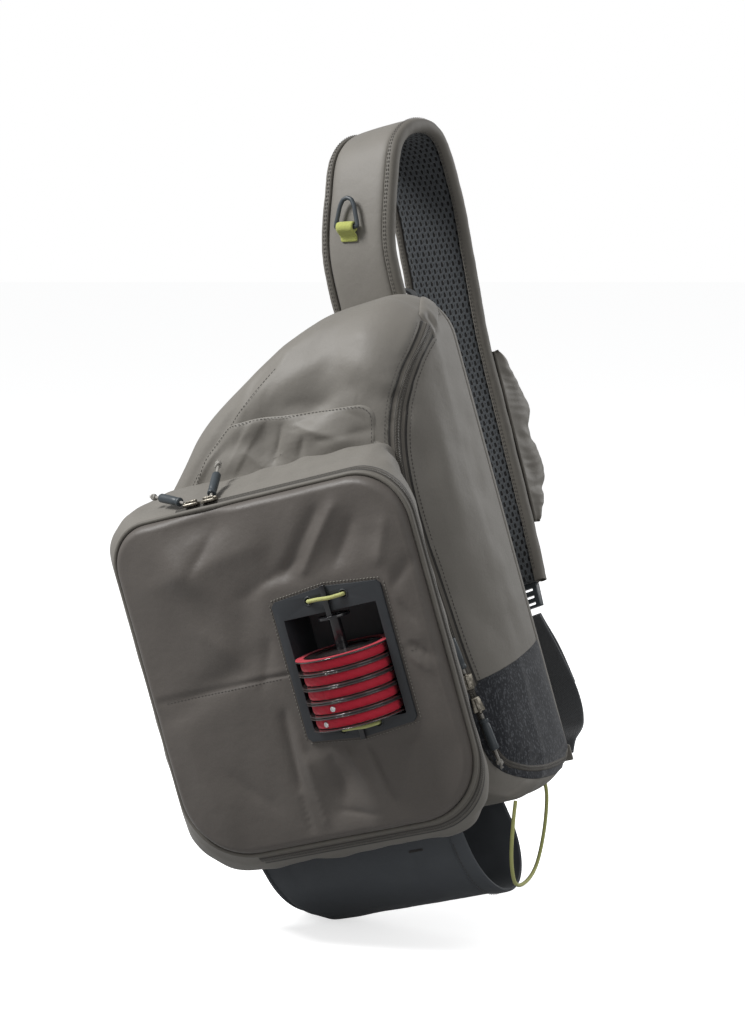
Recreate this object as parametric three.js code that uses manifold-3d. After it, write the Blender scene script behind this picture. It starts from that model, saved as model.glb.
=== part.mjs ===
// A fishing sling bag: a soft main pack with a zipped side panel, a deep front pocket that holds a
// moulded spool tray, a bottle sleeve slung under the base, and one padded shoulder strap.
//
// Millimetres, +Z up, +X to the right as seen from the front, +Y towards the wearer's back.
// The bag is laid out from its own datum: x = 0 on the middle of the pack, y = 0 on the front of the
// main compartment, z = 0 under the bottle sleeve. The whole bag is then moved so that the origin
// lies on the underside of the strap's crown, where a shoulder carries it.

import * as THREE from 'three';
import { mergeVertices } from 'three/addons/utils/BufferGeometryUtils.js';
import Module from 'manifold-3d';

const wasm = await Module();
wasm.setup();

// Main pack.
const PACK_WIDTH = 260;
const PACK_HEIGHT = 389;
const PACK_DEPTH = 112;
const FABRIC = 2;               // laminated cloth and lining
const TOP_THINNING = 14;        // how far the front leans back by the top
const SIDE_FULLNESS = 3;
const FRONT_CROWN = 6;
const BACK_PLATE = 8;           // padded back panel
const GAP = 0.3;                // clearance between sewn or seated pieces
const PATCH = 1.4;              // thickness of a sewn patch

// Main zip.
const ZIP_TAPE = 14;
const ZIP_THICKNESS = 1.2;
const COIL_WIDTH = 4;
const COIL_RISE = 0.9;

// Front pocket.
const POCKET_WIDTH = 244;
const POCKET_SIDE = 6;          // clear strip between the pocket's right edge and the pack's, for the zip
const POCKET_ACROSS = PACK_WIDTH / 2 - POCKET_SIDE - POCKET_WIDTH / 2;
const POCKET_HEIGHT = 264;
const POCKET_DEPTH = 66;
const POCKET_BASE = 12;         // height of the pocket's lower edge above the base of the pack
const POCKET_CROWN = 7;
const POCKET_EDGE = 7;          // depth of the rolled edge of its face
const PIPING = 3.6;

// Spool tray and spools.
const TRAY_WIDTH = 90;
const TRAY_HEIGHT = 116;
const TRAY_PEAK = 4;            // how far the upper and lower edges rise to a peak
const TRAY_ACROSS = 49;         // middle of the tray, to the right of the pack's middle
const TRAY_UP = 144;            // middle of the tray above the base of the pack
const TRAY_WALL = 2;
const TRAY_LIP = 2.4;           // the flange stands this far in front of the pocket's face
const TRAY_FLANGE = 7;          // width of the flange at the sides
const TRAY_END_FLANGE = 17;     // width of the flange above and below
const TRAY_RECESS = 44;
const EYELET_SPREAD = 29;
const EYELET_BORE = 5;
const EYELET_INSET = 8.5;
const SPOOL_DIAMETER = 74;
const SPOOL_PITCH = 10.9;
const SPOOL_COUNT = 5;
const SPOOL_FLANGE = 1.1;
const SPOOL_WEB = 22;           // outer diameter of the spool's hub
const BAND_DIAMETER = 66;
const BAND_THICKNESS = 1.6;
const SPINDLE = 9;
const SPINDLE_SET_BACK = 5;     // spindle axis behind the face of the pocket
const SPINDLE_CLEARANCE = 0.35;
const STOP_DISC = 25;
const BAR_WIDTH = 4;
const ELASTIC = 3;

// Bottle sleeve.
const SLEEVE_DROP = 74;
const SLEEVE_BORE = 90;
const SLEEVE_LENGTH = 174;
const SLEEVE_LEFT = -106;       // left end of the sleeve at the base
const SLEEVE_CLOTH = 1.6;
const SLEEVE_SET_BACK = 49;     // sleeve axis behind the front of the pack

// Shoulder strap.
const STRAP_WIDTH = 66;
const STRAP_THICKNESS = 11;
const STRAP_BINDING = 7.5;
const STRAP_RISE = 138;         // strap crown above the top of the pack
const STRAP_REACH = 116;        // strap's rear run behind the back of the pack
const STRAP_STATIONS = 28;
const WEBBING_WIDTH = 38;
const WEBBING = 1.8;

// Zip pulls.
const PULL_TUBE = 7;
const PULL_TUBE_LENGTH = 25;
const PULL_CORD = 2.2;
const PULL_LEAD = 4;            // bare cord between the slider and its tube
const PULL_KNOT = 7;

// Outline of the pack from the front, anticlockwise from the lower left.
// across: share of half the width. up: share of the height. corner: corner radius as a share of the
// depth. roll: radius of the rolled front edge along the side that follows, as a share of the depth.
const PACK_OUTLINE = [
  { across: -1.03, up: 0.0, corner: 0.18, roll: 0.2, arc: 2, steps: 4 },
  { across: 1.0, up: 0.0, corner: 0.16, roll: 0.44, arc: 2, steps: 7 },
  { across: 1.0, up: 1.0, corner: 0.42, roll: 0.46, arc: 4, steps: 1 },
  { across: 0.32, up: 1.0, corner: 0.9, roll: 0.26, arc: 2, steps: 2 },
  { across: -0.5, up: 0.85, corner: 0.9, roll: 0.24, arc: 2, steps: 2 },
  { across: -1.03, up: 0.66, corner: 0.5, roll: 0.22, arc: 3, steps: 4 },
];

// Soft folds and dents. across, up: middle of the fold, as shares of half the width and of the
// height of the panel it lies in. turn: direction of its length in degrees. long, wide: half length
// and half width as shares of the panel's width. deep: share of the panel's depth, inwards positive.
const PACK_FOLDS = [
  { across: 0.42, up: 0.9, turn: 50, long: 0.14, wide: 0.055, deep: 0.035 },
  { across: -0.02, up: 0.8, turn: 80, long: 0.08, wide: 0.05, deep: 0.045 },
  { across: 0.3, up: 0.78, turn: -20, long: 0.1, wide: 0.06, deep: -0.04 },
  { across: 0.92, up: 0.55, turn: 70, long: 0.16, wide: 0.07, deep: 0.04 },
];
const POCKET_FOLDS = [
  { across: 0.16, up: 0.8, turn: 55, long: 0.2, wide: 0.05, deep: -0.07 },
  { across: -0.05, up: 0.72, turn: 50, long: 0.2, wide: 0.055, deep: 0.07 },
  { across: -0.32, up: 0.97, turn: 90, long: 0.06, wide: 0.1, deep: 0.1 },
  { across: -0.52, up: 0.84, turn: -50, long: 0.12, wide: 0.05, deep: -0.05 },
  { across: -0.45, up: 0.52, turn: 20, long: 0.3, wide: 0.045, deep: 0.05 },
  { across: 0.35, up: 0.1, turn: 70, long: 0.12, wide: 0.05, deep: -0.06 },
  { across: 0.12, up: 0.16, turn: 60, long: 0.14, wide: 0.05, deep: 0.06 },
];

// Route of the main zip, from its top end down the front corner and under the side panel.
// up: distance along the outline as a share of the height. wrap: distance forward from the back
// edge, round the corner, as a share of the depth.
const ZIP_ROUTE = [
  { up: 0.935, wrap: 0.46 },
  { up: 0.892, wrap: 0.7 },
  { up: 0.835, wrap: 0.865 },
  { up: 0.78, wrap: 0.955 },
  { up: 0.72, wrap: 1.005 },
  { up: 0.63, wrap: 1.03 },
  { up: 0.52, wrap: 1.025 },
  { up: 0.41, wrap: 0.99 },
  { up: 0.29, wrap: 0.962 },
  { up: 0.205, wrap: 0.925 },
  { up: 0.135, wrap: 0.905 },
  { up: 0.085, wrap: 0.85 },
  { up: 0.055, wrap: 0.7 },
  { up: 0.038, wrap: 0.5 },
  { up: 0.024, wrap: 0.13 },
  { up: 0.02, wrap: 0.0 },
];
const ZIP_TOP_SEAM = 0.952;     // where the side panel's top seam meets the back edge
const FELT_FROM = 8.5;          // row of the zip route that the felt patch starts from
const FELT_BACK_UP = 0.27;

// Upper pocket sewn on the front, as shares of half the width and of the height.
const UPPER_POCKET = [
  { across: -0.62, up: 0.72 },
  { across: 0.56, up: 0.7 },
  { across: 0.64, up: 0.73 },
  { across: 0.69, up: 0.79 },
  { across: 0.69, up: 0.808 },
  { across: 0.63, up: 0.824 },
  { across: 0.22, up: 0.836 },
  { across: -0.04, up: 0.847 },
  { across: -0.25, up: 0.847 },
  { across: -0.46, up: 0.795 },
];

// Swell of the front pocket's gusset, from the face back to the pack.
// back: share of the way. top, left, right, bottom: growth of the outline as shares of the depth.
const GUSSET = [
  { back: 0.0, top: 0.0, left: 0.0, right: 0.0, bottom: 0.0 },
  { back: 0.28, top: 0.06, left: 0.2, right: -0.02, bottom: 0.19 },
  { back: 0.56, top: 0.14, left: 0.3, right: -0.12, bottom: 0.32 },
  { back: 0.82, top: 0.2, left: 0.2, right: -0.27, bottom: 0.3 },
  { back: 1.0, top: 0.23, left: 0.12, right: -0.38, bottom: 0.2 },
  { back: 1.24, top: 0.23, left: 0.1, right: -0.4, bottom: 0.04 },
];

// Centre line of the shoulder strap. across: share of half the pack's width. back: share of the
// strap's reach, behind the pack's back. up: share of the strap's rise, from the top of the pack.
const STRAP_ROUTE = [
  { across: 0.54, back: -0.09, up: -0.08 },
  { across: 0.56, back: -0.08, up: 0.3 },
  { across: 0.635, back: 0.02, up: 0.62 },
  { across: 0.69, back: 0.17, up: 0.84 },
  { across: 0.73, back: 0.41, up: 0.905 },
  { across: 0.76, back: 0.68, up: 0.84 },
  { across: 0.73, back: 0.86, up: 0.54 },
  { across: 0.67, back: 0.94, up: 0.1 },
  { across: 0.62, back: 0.96, up: -0.35 },
  { across: 0.61, back: 0.94, up: -0.9 },
  { across: 0.63, back: 0.84, up: -1.4 },
  { across: 0.67, back: 0.66, up: -1.84 },
];

// The webbing from the strap's buckle down to its anchor. across and back: as for the strap.
// drop: share of the way down from the strap's low end to the anchor.
const WEBBING_ROUTE = [
  { across: 0.7, back: 0.6, drop: 0.198 },
  { across: 0.74, back: 0.63, drop: 0.42 },
  { across: 0.81, back: 0.56, drop: 0.7 },
  { across: 0.87, back: 0.34, drop: 0.88 },
  { across: 0.87, back: 0.125, drop: 0.94 },
  { across: 0.86, back: 0.057, drop: 1 },
];

const FRONT = new THREE.Vector3(0, -1, 0);
const BACK_Y = PACK_DEPTH;
const BACK_EDGE_Y = PACK_DEPTH - BACK_PLATE - GAP;
const BASE_Z = SLEEVE_DROP;
const TOP_Z = SLEEVE_DROP + PACK_HEIGHT;
const HALF_WIDTH = PACK_WIDTH / 2;

// Finishes.

function finish(color, roughness, metalness = 0) {
  return new THREE.MeshStandardMaterial({ color, roughness, metalness });
}

const FINISH = {
  shell: finish(0x807c74, 0.8),
  face: finish(0x615a54, 0.8),
  lining: finish(0x232628, 0.95),
  felt: finish(0x3c3e42, 1.0),
  zip: finish(0x78726a, 0.75),
  sleeve: finish(0x484c51, 0.8),
  webbing: finish(0x3a3c3f, 0.85),
  moulded: finish(0x3f4347, 0.55),
  gloss: finish(0x0c0d0e, 0.25),
  smoke: finish(0x1b1c1e, 0.15),
  red: finish(0xbe1e32, 0.6),
  lime: finish(0xb2b85a, 0.7),
  brass: finish(0x8a7443, 0.35, 1),
  chrome: finish(0xc8c8c8, 0.15, 1),
  cord: finish(0x96948c, 0.9),
  tube: finish(0x2a3034, 0.5),
};

// Geometry helpers.

const vec = (x, y, z) => new THREE.Vector3(x, y, z);
const mix = (a, b, f) => a + (b - a) * f;
const blend = (p, q, f) => p.clone().lerp(q, f);

function fromTriangles(points, faces) {
  let volume = 0;
  for (const [a, b, c] of faces) {
    volume += points[a].dot(points[b].clone().cross(points[c]));
  }
  const geometry = new THREE.BufferGeometry();
  const position = new Float32Array(points.length * 3);
  points.forEach((p, i) => p.toArray(position, i * 3));
  geometry.setAttribute('position', new THREE.BufferAttribute(position, 3));
  geometry.setIndex(faces.flatMap(([a, b, c]) => (volume < 0 ? [a, c, b] : [a, b, c])));
  return geometry;
}

function strips(rows, columns, loopRows, loopColumns, at) {
  const faces = [];
  for (let i = 0; i < (loopRows ? rows : rows - 1); i += 1) {
    for (let j = 0; j < (loopColumns ? columns : columns - 1); j += 1) {
      const a = at(i, j);
      const b = at(i, (j + 1) % columns);
      const c = at((i + 1) % rows, (j + 1) % columns);
      const d = at((i + 1) % rows, j);
      faces.push([a, b, c], [a, c, d]);
    }
  }
  return faces;
}

// A closed solid through rings of equal count, capped at both ends unless the rings form a loop.
function loft(rings, loop = false) {
  const count = rings[0].length;
  const points = rings.flat();
  const faces = strips(rings.length, count, loop, true, (i, j) => i * count + j);
  if (!loop) {
    for (const end of [0, rings.length - 1]) {
      const hub = points.length;
      const middle = vec(0, 0, 0);
      rings[end].forEach((p) => middle.addScaledVector(p, 1 / count));
      points.push(middle);
      for (let j = 0; j < count; j += 1) {
        const a = end * count + j;
        const b = end * count + ((j + 1) % count);
        faces.push(end === 0 ? [hub, b, a] : [hub, a, b]);
      }
    }
  }
  return fromTriangles(points, faces);
}

// A closed sheet between two grids of points, joined along its free edges.
function sheet(outer, inner, loopColumns = false) {
  const rows = outer.length;
  const columns = outer[0].length;
  const points = [...outer.flat(), ...inner.flat()];
  const low = rows * columns;
  const faces = strips(rows, columns, false, loopColumns, (i, j) => i * columns + j);
  for (const [a, b, c] of strips(rows, columns, false, loopColumns, (i, j) => low + i * columns + j)) {
    faces.push([a, c, b]);
  }
  const rim = [];
  for (let j = 0; j < (loopColumns ? columns : columns - 1); j += 1) {
    const next = (j + 1) % columns;
    rim.push([next, j], [(rows - 1) * columns + j, (rows - 1) * columns + next]);
  }
  if (!loopColumns) {
    for (let i = 0; i < rows - 1; i += 1) {
      rim.push([i * columns, (i + 1) * columns]);
      rim.push([(i + 1) * columns + columns - 1, i * columns + columns - 1]);
    }
  }
  for (const [a, b] of rim) {
    faces.push([a, b, low + b], [a, low + b, low + a]);
  }
  return fromTriangles(points, faces);
}

function toSolid(geometry) {
  const bare = geometry.clone();
  bare.deleteAttribute('normal');
  bare.deleteAttribute('uv');
  const merged = mergeVertices(bare, 1e-3);
  return new wasm.Manifold(new wasm.Mesh({
    numProp: 3,
    vertProperties: new Float32Array(merged.attributes.position.array),
    triVerts: new Uint32Array(merged.index.array),
  }));
}

function toGeometry(solid) {
  const mesh = solid.getMesh();
  const geometry = new THREE.BufferGeometry();
  geometry.setAttribute('position', new THREE.BufferAttribute(mesh.vertProperties, 3));
  geometry.setIndex(new THREE.BufferAttribute(mesh.triVerts, 1));
  return geometry;
}

function cut(geometry, ...cutters) {
  return toGeometry(cutters.reduce((left, cutter) => left.subtract(toSolid(cutter)), toSolid(geometry)));
}

function join(geometry, ...others) {
  return toGeometry(others.reduce((all, other) => all.add(toSolid(other)), toSolid(geometry)));
}

function common(geometry, other) {
  return toGeometry(toSolid(geometry).intersect(toSolid(other)));
}

// The largest body of a cut piece, without the slivers that a trim leaves beside it.
function trimmed(geometry) {
  const bodies = toSolid(geometry).decompose();
  return toGeometry(bodies.reduce((best, body) => (body.volume() > best.volume() ? body : best)));
}

function boxBetween(low, high) {
  const size = high.clone().sub(low);
  const middle = blend(low, high, 0.5);
  return new THREE.BoxGeometry(size.x, size.y, size.z).translate(middle.x, middle.y, middle.z);
}

// A round bar between two points.
function rod(from, to, diameter, sides = 10) {
  const along = to.clone().sub(from);
  const geometry = new THREE.CylinderGeometry(diameter / 2, diameter / 2, along.length(), sides);
  geometry.applyQuaternion(new THREE.Quaternion().setFromUnitVectors(vec(0, 1, 0), along.normalize()));
  const middle = blend(from, to, 0.5);
  return geometry.translate(middle.x, middle.y, middle.z);
}

// A cord of round section swept along a smooth curve through points.
function cordAlong(points, diameter, steps, sides = 8) {
  const section = new THREE.Shape();
  for (let i = 0; i < sides; i += 1) {
    const a = (i / sides) * Math.PI * 2;
    const method = i === 0 ? 'moveTo' : 'lineTo';
    section[method]((diameter / 2) * Math.cos(a), (diameter / 2) * Math.sin(a));
  }
  section.closePath();
  const geometry = new THREE.ExtrudeGeometry(section, {
    steps,
    bevelEnabled: false,
    extrudePath: new THREE.CatmullRomCurve3(points, false, 'centripetal'),
  });
  return toGeometry(toSolid(geometry));
}

// A ring whose section is turned round the Z axis. rings: radius and height pairs, closed on itself.
function turned(profile, segments) {
  const points = [...profile, profile[0]].map(([r, h]) => new THREE.Vector2(r, h));
  return toGeometry(toSolid(new THREE.LatheGeometry(points, segments).rotateX(Math.PI / 2)));
}

// A prism with its outline in the XZ plane, from y = 0 back to y = depth.
function upright(outline, depth) {
  const shape = new THREE.Shape(outline.map(([x, z]) => new THREE.Vector2(x, z)));
  const geometry = new THREE.ExtrudeGeometry(shape, { depth, bevelEnabled: false });
  return geometry.rotateX(Math.PI / 2).translate(0, depth, 0);
}

function foldDepth(folds, across, up, aspect) {
  let sum = 0;
  for (const fold of folds) {
    const turn = THREE.MathUtils.degToRad(fold.turn);
    const dx = (across - fold.across) / 2;
    const dz = (up - fold.up) * aspect;
    const along = (dx * Math.cos(turn) + dz * Math.sin(turn)) / fold.long;
    const aside = (dz * Math.cos(turn) - dx * Math.sin(turn)) / fold.wide;
    sum += fold.deep * Math.exp(-(along * along) - aside * aside);
  }
  return sum;
}

// Main pack: shape of the shell.

function packFrontY(x, z) {
  const up = (z - BASE_Z) / PACK_HEIGHT;
  const lean = TOP_THINNING * Math.max(up, 0) ** 2;
  const fold = foldDepth(PACK_FOLDS, x / HALF_WIDTH, up, PACK_HEIGHT / PACK_WIDTH) * PACK_DEPTH;
  return lean + fold;
}

// A closed outline moved inwards by a distance for each of its sides, with rounded corners.
function roundedOutline(corners, insets, heights) {
  const count = corners.length;
  const sides = corners.map((corner, i) => {
    const next = corners[(i + 1) % count];
    const run = new THREE.Vector2(next.x - corner.x, next.z - corner.z).normalize();
    return { corner, run, out: new THREE.Vector2(run.y, -run.x) };
  });
  const moved = sides.map((side, i) => {
    const before = sides[(i + count - 1) % count];
    const p = new THREE.Vector2(before.corner.x, before.corner.z).addScaledVector(
      before.out, -insets[(i + count - 1) % count]);
    const q = new THREE.Vector2(side.corner.x, side.corner.z).addScaledVector(side.out, -insets[i]);
    const gap = q.clone().sub(p);
    const reach = gap.cross(side.run) / before.run.cross(side.run);
    return p.addScaledVector(before.run, reach);
  });
  const ends = corners.map((corner, i) => {
    const before = sides[(i + count - 1) % count].run;
    const after = sides[i].run;
    const turn = Math.acos(THREE.MathUtils.clamp(before.dot(after), -1, 1));
    const inset = Math.max(insets[(i + count - 1) % count], insets[i]);
    const shortest = Math.min(
      moved[i].distanceTo(moved[(i + 1) % count]), moved[i].distanceTo(moved[(i + count - 1) % count]));
    const radius = Math.max(corner.radius - Math.max(inset, 0), 3);
    const reach = Math.min(radius * Math.tan(turn / 2), shortest * 0.45);
    return { before, after, turn, reach, radius: reach / Math.tan(turn / 2) };
  });
  const points = [];
  corners.forEach((corner, i) => {
    const { before, after, turn, reach, radius } = ends[i];
    const start = moved[i].clone().addScaledVector(before, -reach);
    const hub = start.clone().addScaledVector(new THREE.Vector2(-before.y, before.x), radius);
    for (let k = 0; k <= corner.arc; k += 1) {
      const f = k / corner.arc;
      const p = start.clone().rotateAround(hub, turn * f);
      points.push({ x: p.x, z: p.y, y: mix(heights[(i + count - 1) % count], heights[i], f) });
    }
    const from = moved[i].clone().addScaledVector(after, reach);
    const to = moved[(i + 1) % count].clone().addScaledVector(after, -ends[(i + 1) % count].reach);
    for (let k = 1; k < corner.steps; k += 1) {
      const p = from.clone().lerp(to, k / corner.steps);
      points.push({ x: p.x, z: p.y, y: heights[i] });
    }
  });
  return points;
}

const PACK_CORNERS = PACK_OUTLINE.map((row) => ({
  x: row.across * HALF_WIDTH,
  z: BASE_Z + row.up * PACK_HEIGHT,
  radius: row.corner * PACK_DEPTH,
  roll: row.roll * PACK_DEPTH,
  arc: row.arc,
  steps: row.steps,
}));
const ROLL_STEPS = 4;

// The pack as one filled form, moved inwards by inset and ending at backY.
function packForm(inset, backY) {
  const rolls = PACK_CORNERS.map((corner) => corner.roll);
  const ringAt = (insets, heights, leaning) =>
    roundedOutline(PACK_CORNERS, insets, heights).map(({ x, y, z }) =>
      vec(x, leaning ? y + packFrontY(x, z) * leaning : y, z));
  const same = (value) => PACK_CORNERS.map(() => value);
  const rings = [ringAt(same(inset), same(backY), 0)];
  rings.push(ringAt(same(inset), same(BACK_EDGE_Y - PACK_DEPTH * 0.1), 0));
  rings.push(ringAt(same(inset - SIDE_FULLNESS), rolls.map((r) => mix(BACK_EDGE_Y, r, 0.6)), 0.6));
  for (let k = 0; k <= ROLL_STEPS; k += 1) {
    const a = (k / ROLL_STEPS) * Math.PI / 2;
    rings.push(ringAt(
      rolls.map((r) => r - (r - inset) * Math.cos(a) - (1 - Math.sin(a)) * SIDE_FULLNESS * 0.5 * (k === 0)),
      rolls.map((r) => r - (r - inset) * Math.sin(a)),
      1));
  }
  const edge = rings[rings.length - 1];
  const middle = vec(TRAY_ACROSS * 0.3, 0, BASE_Z + PACK_HEIGHT * 0.46);
  for (const f of [0.2, 0.5, 0.8]) {
    rings.push(edge.map((p) => {
      const q = blend(p, middle, f);
      q.y = inset + packFrontY(q.x, q.z) - FRONT_CROWN * (1 - (1 - f) ** 2);
      return q;
    }));
  }
  return loft(rings);
}

// A point on the right side of the pack and round its front corner, and the direction out of it.
// run: distance up along the outline. wrap: distance forward from the back edge.
const RIGHT = PACK_CORNERS[1];
const TOP_RIGHT = PACK_CORNERS[2];
function rightSide(run, wrap, lift = 0) {
  const straight = PACK_HEIGHT - TOP_RIGHT.radius;
  const angle = Math.min(Math.max(run - straight, 0) / TOP_RIGHT.radius, Math.PI / 2);
  const out = vec(Math.cos(angle), 0, Math.sin(angle));
  const p = run <= straight
    ? vec(HALF_WIDTH, 0, BASE_Z + run)
    : vec(HALF_WIDTH - TOP_RIGHT.radius, 0, BASE_Z + straight).addScaledVector(out, TOP_RIGHT.radius);
  const low = THREE.MathUtils.clamp(1 - run / RIGHT.radius, 0, 1);
  p.addScaledVector(out, -RIGHT.radius * (1 - Math.sqrt(Math.max(1 - low * low, 0))));
  const side = BACK_EDGE_Y - RIGHT.roll;
  const swell = SIDE_FULLNESS * Math.sin(Math.PI * THREE.MathUtils.clamp(wrap / side, 0, 1)) ** 0.8;
  let normal = out;
  if (wrap <= side) {
    p.addScaledVector(out, swell);
    p.y = BACK_EDGE_Y - wrap;
    p.y += packFrontY(p.x, p.z) * THREE.MathUtils.clamp(wrap / side, 0, 1) ** 2;
  } else {
    const turn = Math.min((wrap - side) / RIGHT.roll, Math.PI / 2);
    p.addScaledVector(out, -RIGHT.roll * (1 - Math.cos(turn)));
    p.y = RIGHT.roll * (1 - Math.sin(turn));
    p.y += packFrontY(p.x, p.z);
    normal = out.clone().multiplyScalar(Math.cos(turn)).addScaledVector(FRONT, Math.sin(turn));
  }
  return p.addScaledVector(normal, lift);
}

// The zip's centre line and a line at a set distance beside it, in run and wrap.
const zipLine = new THREE.CatmullRomCurve3(
  ZIP_ROUTE.map((row) => vec(row.up * PACK_HEIGHT, row.wrap * PACK_DEPTH, 0)), false, 'centripetal');

function besideZip(f, offset) {
  const p = zipLine.getPoint(f);
  const t = zipLine.getTangent(f);
  return vec(p.x - t.y * offset, p.y + t.x * offset, 0);
}

// Shares of the zip's length at which its sections lie. The tape stops short of its slot's ends.
const ZIP_ROWS = 23;
const ZIP_SHARES = [
  0, 0.012, ...Array.from({ length: ZIP_ROWS - 1 }, (_, i) => (i + 1) / ZIP_ROWS), 0.985, 1,
];
function zipGrid(offsets) {
  return ZIP_SHARES.map((f) => offsets.map(({ aside, lift }) => {
    const p = besideZip(f, aside);
    return rightSide(Math.max(p.x, 1), Math.max(p.y, -1), lift);
  }));
}

// The side panel's ground, from the back edge to a line beside the zip.
function sidePanelGrid(aside, columns, lift, from, backFrom, backTo, rows, reachBack = 0) {
  return Array.from({ length: rows + 1 }, (_, i) => {
    const f = mix(from, 1, i / rows);
    const edge = besideZip(f, aside);
    const back = vec(mix(backFrom, backTo, (i / rows) ** 0.9) * PACK_HEIGHT, reachBack, 0);
    return Array.from({ length: columns + 1 }, (_, j) => {
      const q = blend(back, edge, j / columns);
      return rightSide(Math.max(q.x, 2), q.y, lift);
    });
  });
}

const SLOT = ZIP_TAPE / 2 + 2 * GAP;
const PANEL_TOP = 0;
const PANEL_BACK_END = 0.05;
const PANEL_ROWS = 14;
const PANEL_COLUMNS = 7;

function zipSlot() {
  const offsets = (lift) => [{ aside: -SLOT, lift }, { aside: 0, lift }, { aside: SLOT, lift }];
  return sheet(zipGrid(offsets(5)), zipGrid(offsets(-5)));
}

function mainShell() {
  const shell = cut(packForm(0, BACK_EDGE_Y), packForm(FABRIC, BACK_Y + 10));
  const opening = sheet(
    sidePanelGrid(0, PANEL_COLUMNS, 9, PANEL_TOP, ZIP_TOP_SEAM, -0.02, PANEL_ROWS, -6),
    sidePanelGrid(0, PANEL_COLUMNS, -9, PANEL_TOP, ZIP_TOP_SEAM, -0.02, PANEL_ROWS, -6));
  return trimmed(cut(shell, opening, zipSlot()));
}

function sidePanel() {
  const panel = sheet(
    sidePanelGrid(0, PANEL_COLUMNS, 0, PANEL_TOP, ZIP_TOP_SEAM - 0.03, PANEL_BACK_END, PANEL_ROWS),
    sidePanelGrid(0, PANEL_COLUMNS, -FABRIC, PANEL_TOP, ZIP_TOP_SEAM - 0.03, PANEL_BACK_END, PANEL_ROWS));
  return trimmed(cut(panel, zipSlot()));
}

function mainZip() {
  const half = ZIP_TAPE / 2;
  const coil = COIL_WIDTH / 2;
  const across = [-half, -coil - 0.8, -coil, coil, coil + 0.8, half];
  const outer = across.map((aside) => ({ aside, lift: Math.abs(aside) > coil ? -0.2 : COIL_RISE }));
  const inner = across.map((aside) => ({ aside, lift: -0.2 - ZIP_THICKNESS }));
  return sheet(zipGrid(outer).slice(1, -1), zipGrid(inner).slice(1, -1));
}

function backPanel() {
  const same = (value) => PACK_CORNERS.map(() => value);
  const ring = (inset, y) =>
    roundedOutline(PACK_CORNERS, same(inset), same(y)).map((p) => vec(p.x, p.y, p.z));
  return loft([
    ring(1.5, BACK_EDGE_Y + GAP), ring(0, BACK_EDGE_Y + GAP + 2), ring(0, BACK_Y - 3),
    ring(4, BACK_Y),
  ]);
}

// Patches sewn over the shell are thick layers trimmed to the shell's own surface.
const SHELL_COVER = packForm(-GAP, BACK_EDGE_Y);

function panelCover() {
  const grid = (lift) => sidePanelGrid(
    0, PANEL_COLUMNS, lift, PANEL_TOP, ZIP_TOP_SEAM - 0.03, PANEL_BACK_END, PANEL_ROWS);
  return sheet(grid(GAP), grid(-9));
}

function zipCover() {
  const half = ZIP_TAPE / 2 + GAP;
  const offsets = (lift) => [{ aside: -half, lift }, { aside: 0, lift }, { aside: half, lift }];
  return sheet(zipGrid(offsets(COIL_RISE + GAP)), zipGrid(offsets(-5)));
}

function feltPatch() {
  const from = FELT_FROM / (ZIP_ROUTE.length - 1);
  const aside = ZIP_TAPE / 2 + 1;
  const grid = (lift) => sidePanelGrid(
    aside, 5, lift, from, FELT_BACK_UP, PANEL_BACK_END + 0.012, 9, 1);
  return trimmed(cut(sheet(grid(GAP + PATCH), grid(0)), panelCover()));
}

function garagePatch() {
  const corner = (up, wrap) => [up * PACK_HEIGHT, wrap * PACK_DEPTH];
  const grid = (lift) => [corner(0.996, 0.01), corner(0.962, 0.01)].map((start, i) => {
    const end = [corner(0.958, 0.5), corner(0.905, 0.5)][i];
    return Array.from({ length: 7 }, (_, j) => rightSide(
      mix(start[0], end[0], j / 6), mix(start[1], end[1], j / 6), lift));
  });
  const middle = (rows) => [rows[0], rows[0].map((p, j) => blend(p, rows[1][j], 0.5)), rows[1]];
  const patch = sheet(middle(grid(COIL_RISE + GAP + PATCH)), middle(grid(-1)));
  return trimmed(cut(patch, SHELL_COVER, panelCover(), zipCover()));
}

function upperPocket() {
  const outline = UPPER_POCKET.map(({ across, up }) =>
    [across * HALF_WIDTH, BASE_Z + up * PACK_HEIGHT]);
  const slab = upright(outline, PACK_DEPTH).translate(0, -PACK_DEPTH * 0.4, 0);
  const skin = cut(packForm(-GAP - PATCH, BACK_EDGE_Y), SHELL_COVER);
  return trimmed(cut(common(slab, skin), zipCover()));
}

// Front pocket.

const POCKET_LOW = BASE_Z + POCKET_BASE;
const POCKET_TOP = POCKET_LOW + POCKET_HEIGHT;
const POCKET_CORNERS = [
  { x: POCKET_ACROSS - POCKET_WIDTH / 2, z: POCKET_LOW, radius: POCKET_DEPTH * 0.8, arc: 4, steps: 5 },
  { x: POCKET_ACROSS + POCKET_WIDTH / 2, z: POCKET_LOW, radius: POCKET_DEPTH * 0.78, arc: 4, steps: 5 },
  { x: POCKET_ACROSS + POCKET_WIDTH / 2, z: POCKET_TOP, radius: POCKET_DEPTH * 0.62, arc: 4, steps: 6 },
  { x: POCKET_ACROSS - POCKET_WIDTH / 2, z: POCKET_TOP, radius: POCKET_DEPTH * 0.5, arc: 4, steps: 5 },
];
const POCKET_SEAM_Y = -POCKET_DEPTH + POCKET_EDGE;
const TRAY_Z = BASE_Z + TRAY_UP;
const TRAY_FRONT_Y = -POCKET_DEPTH - POCKET_CROWN - TRAY_LIP;

function pocketRing(insets, y) {
  const list = Array.isArray(insets) ? insets : [insets, insets, insets, insets];
  return roundedOutline(POCKET_CORNERS, list, list.map(() => y)).map((p) => vec(p.x, p.y, p.z));
}

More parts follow.
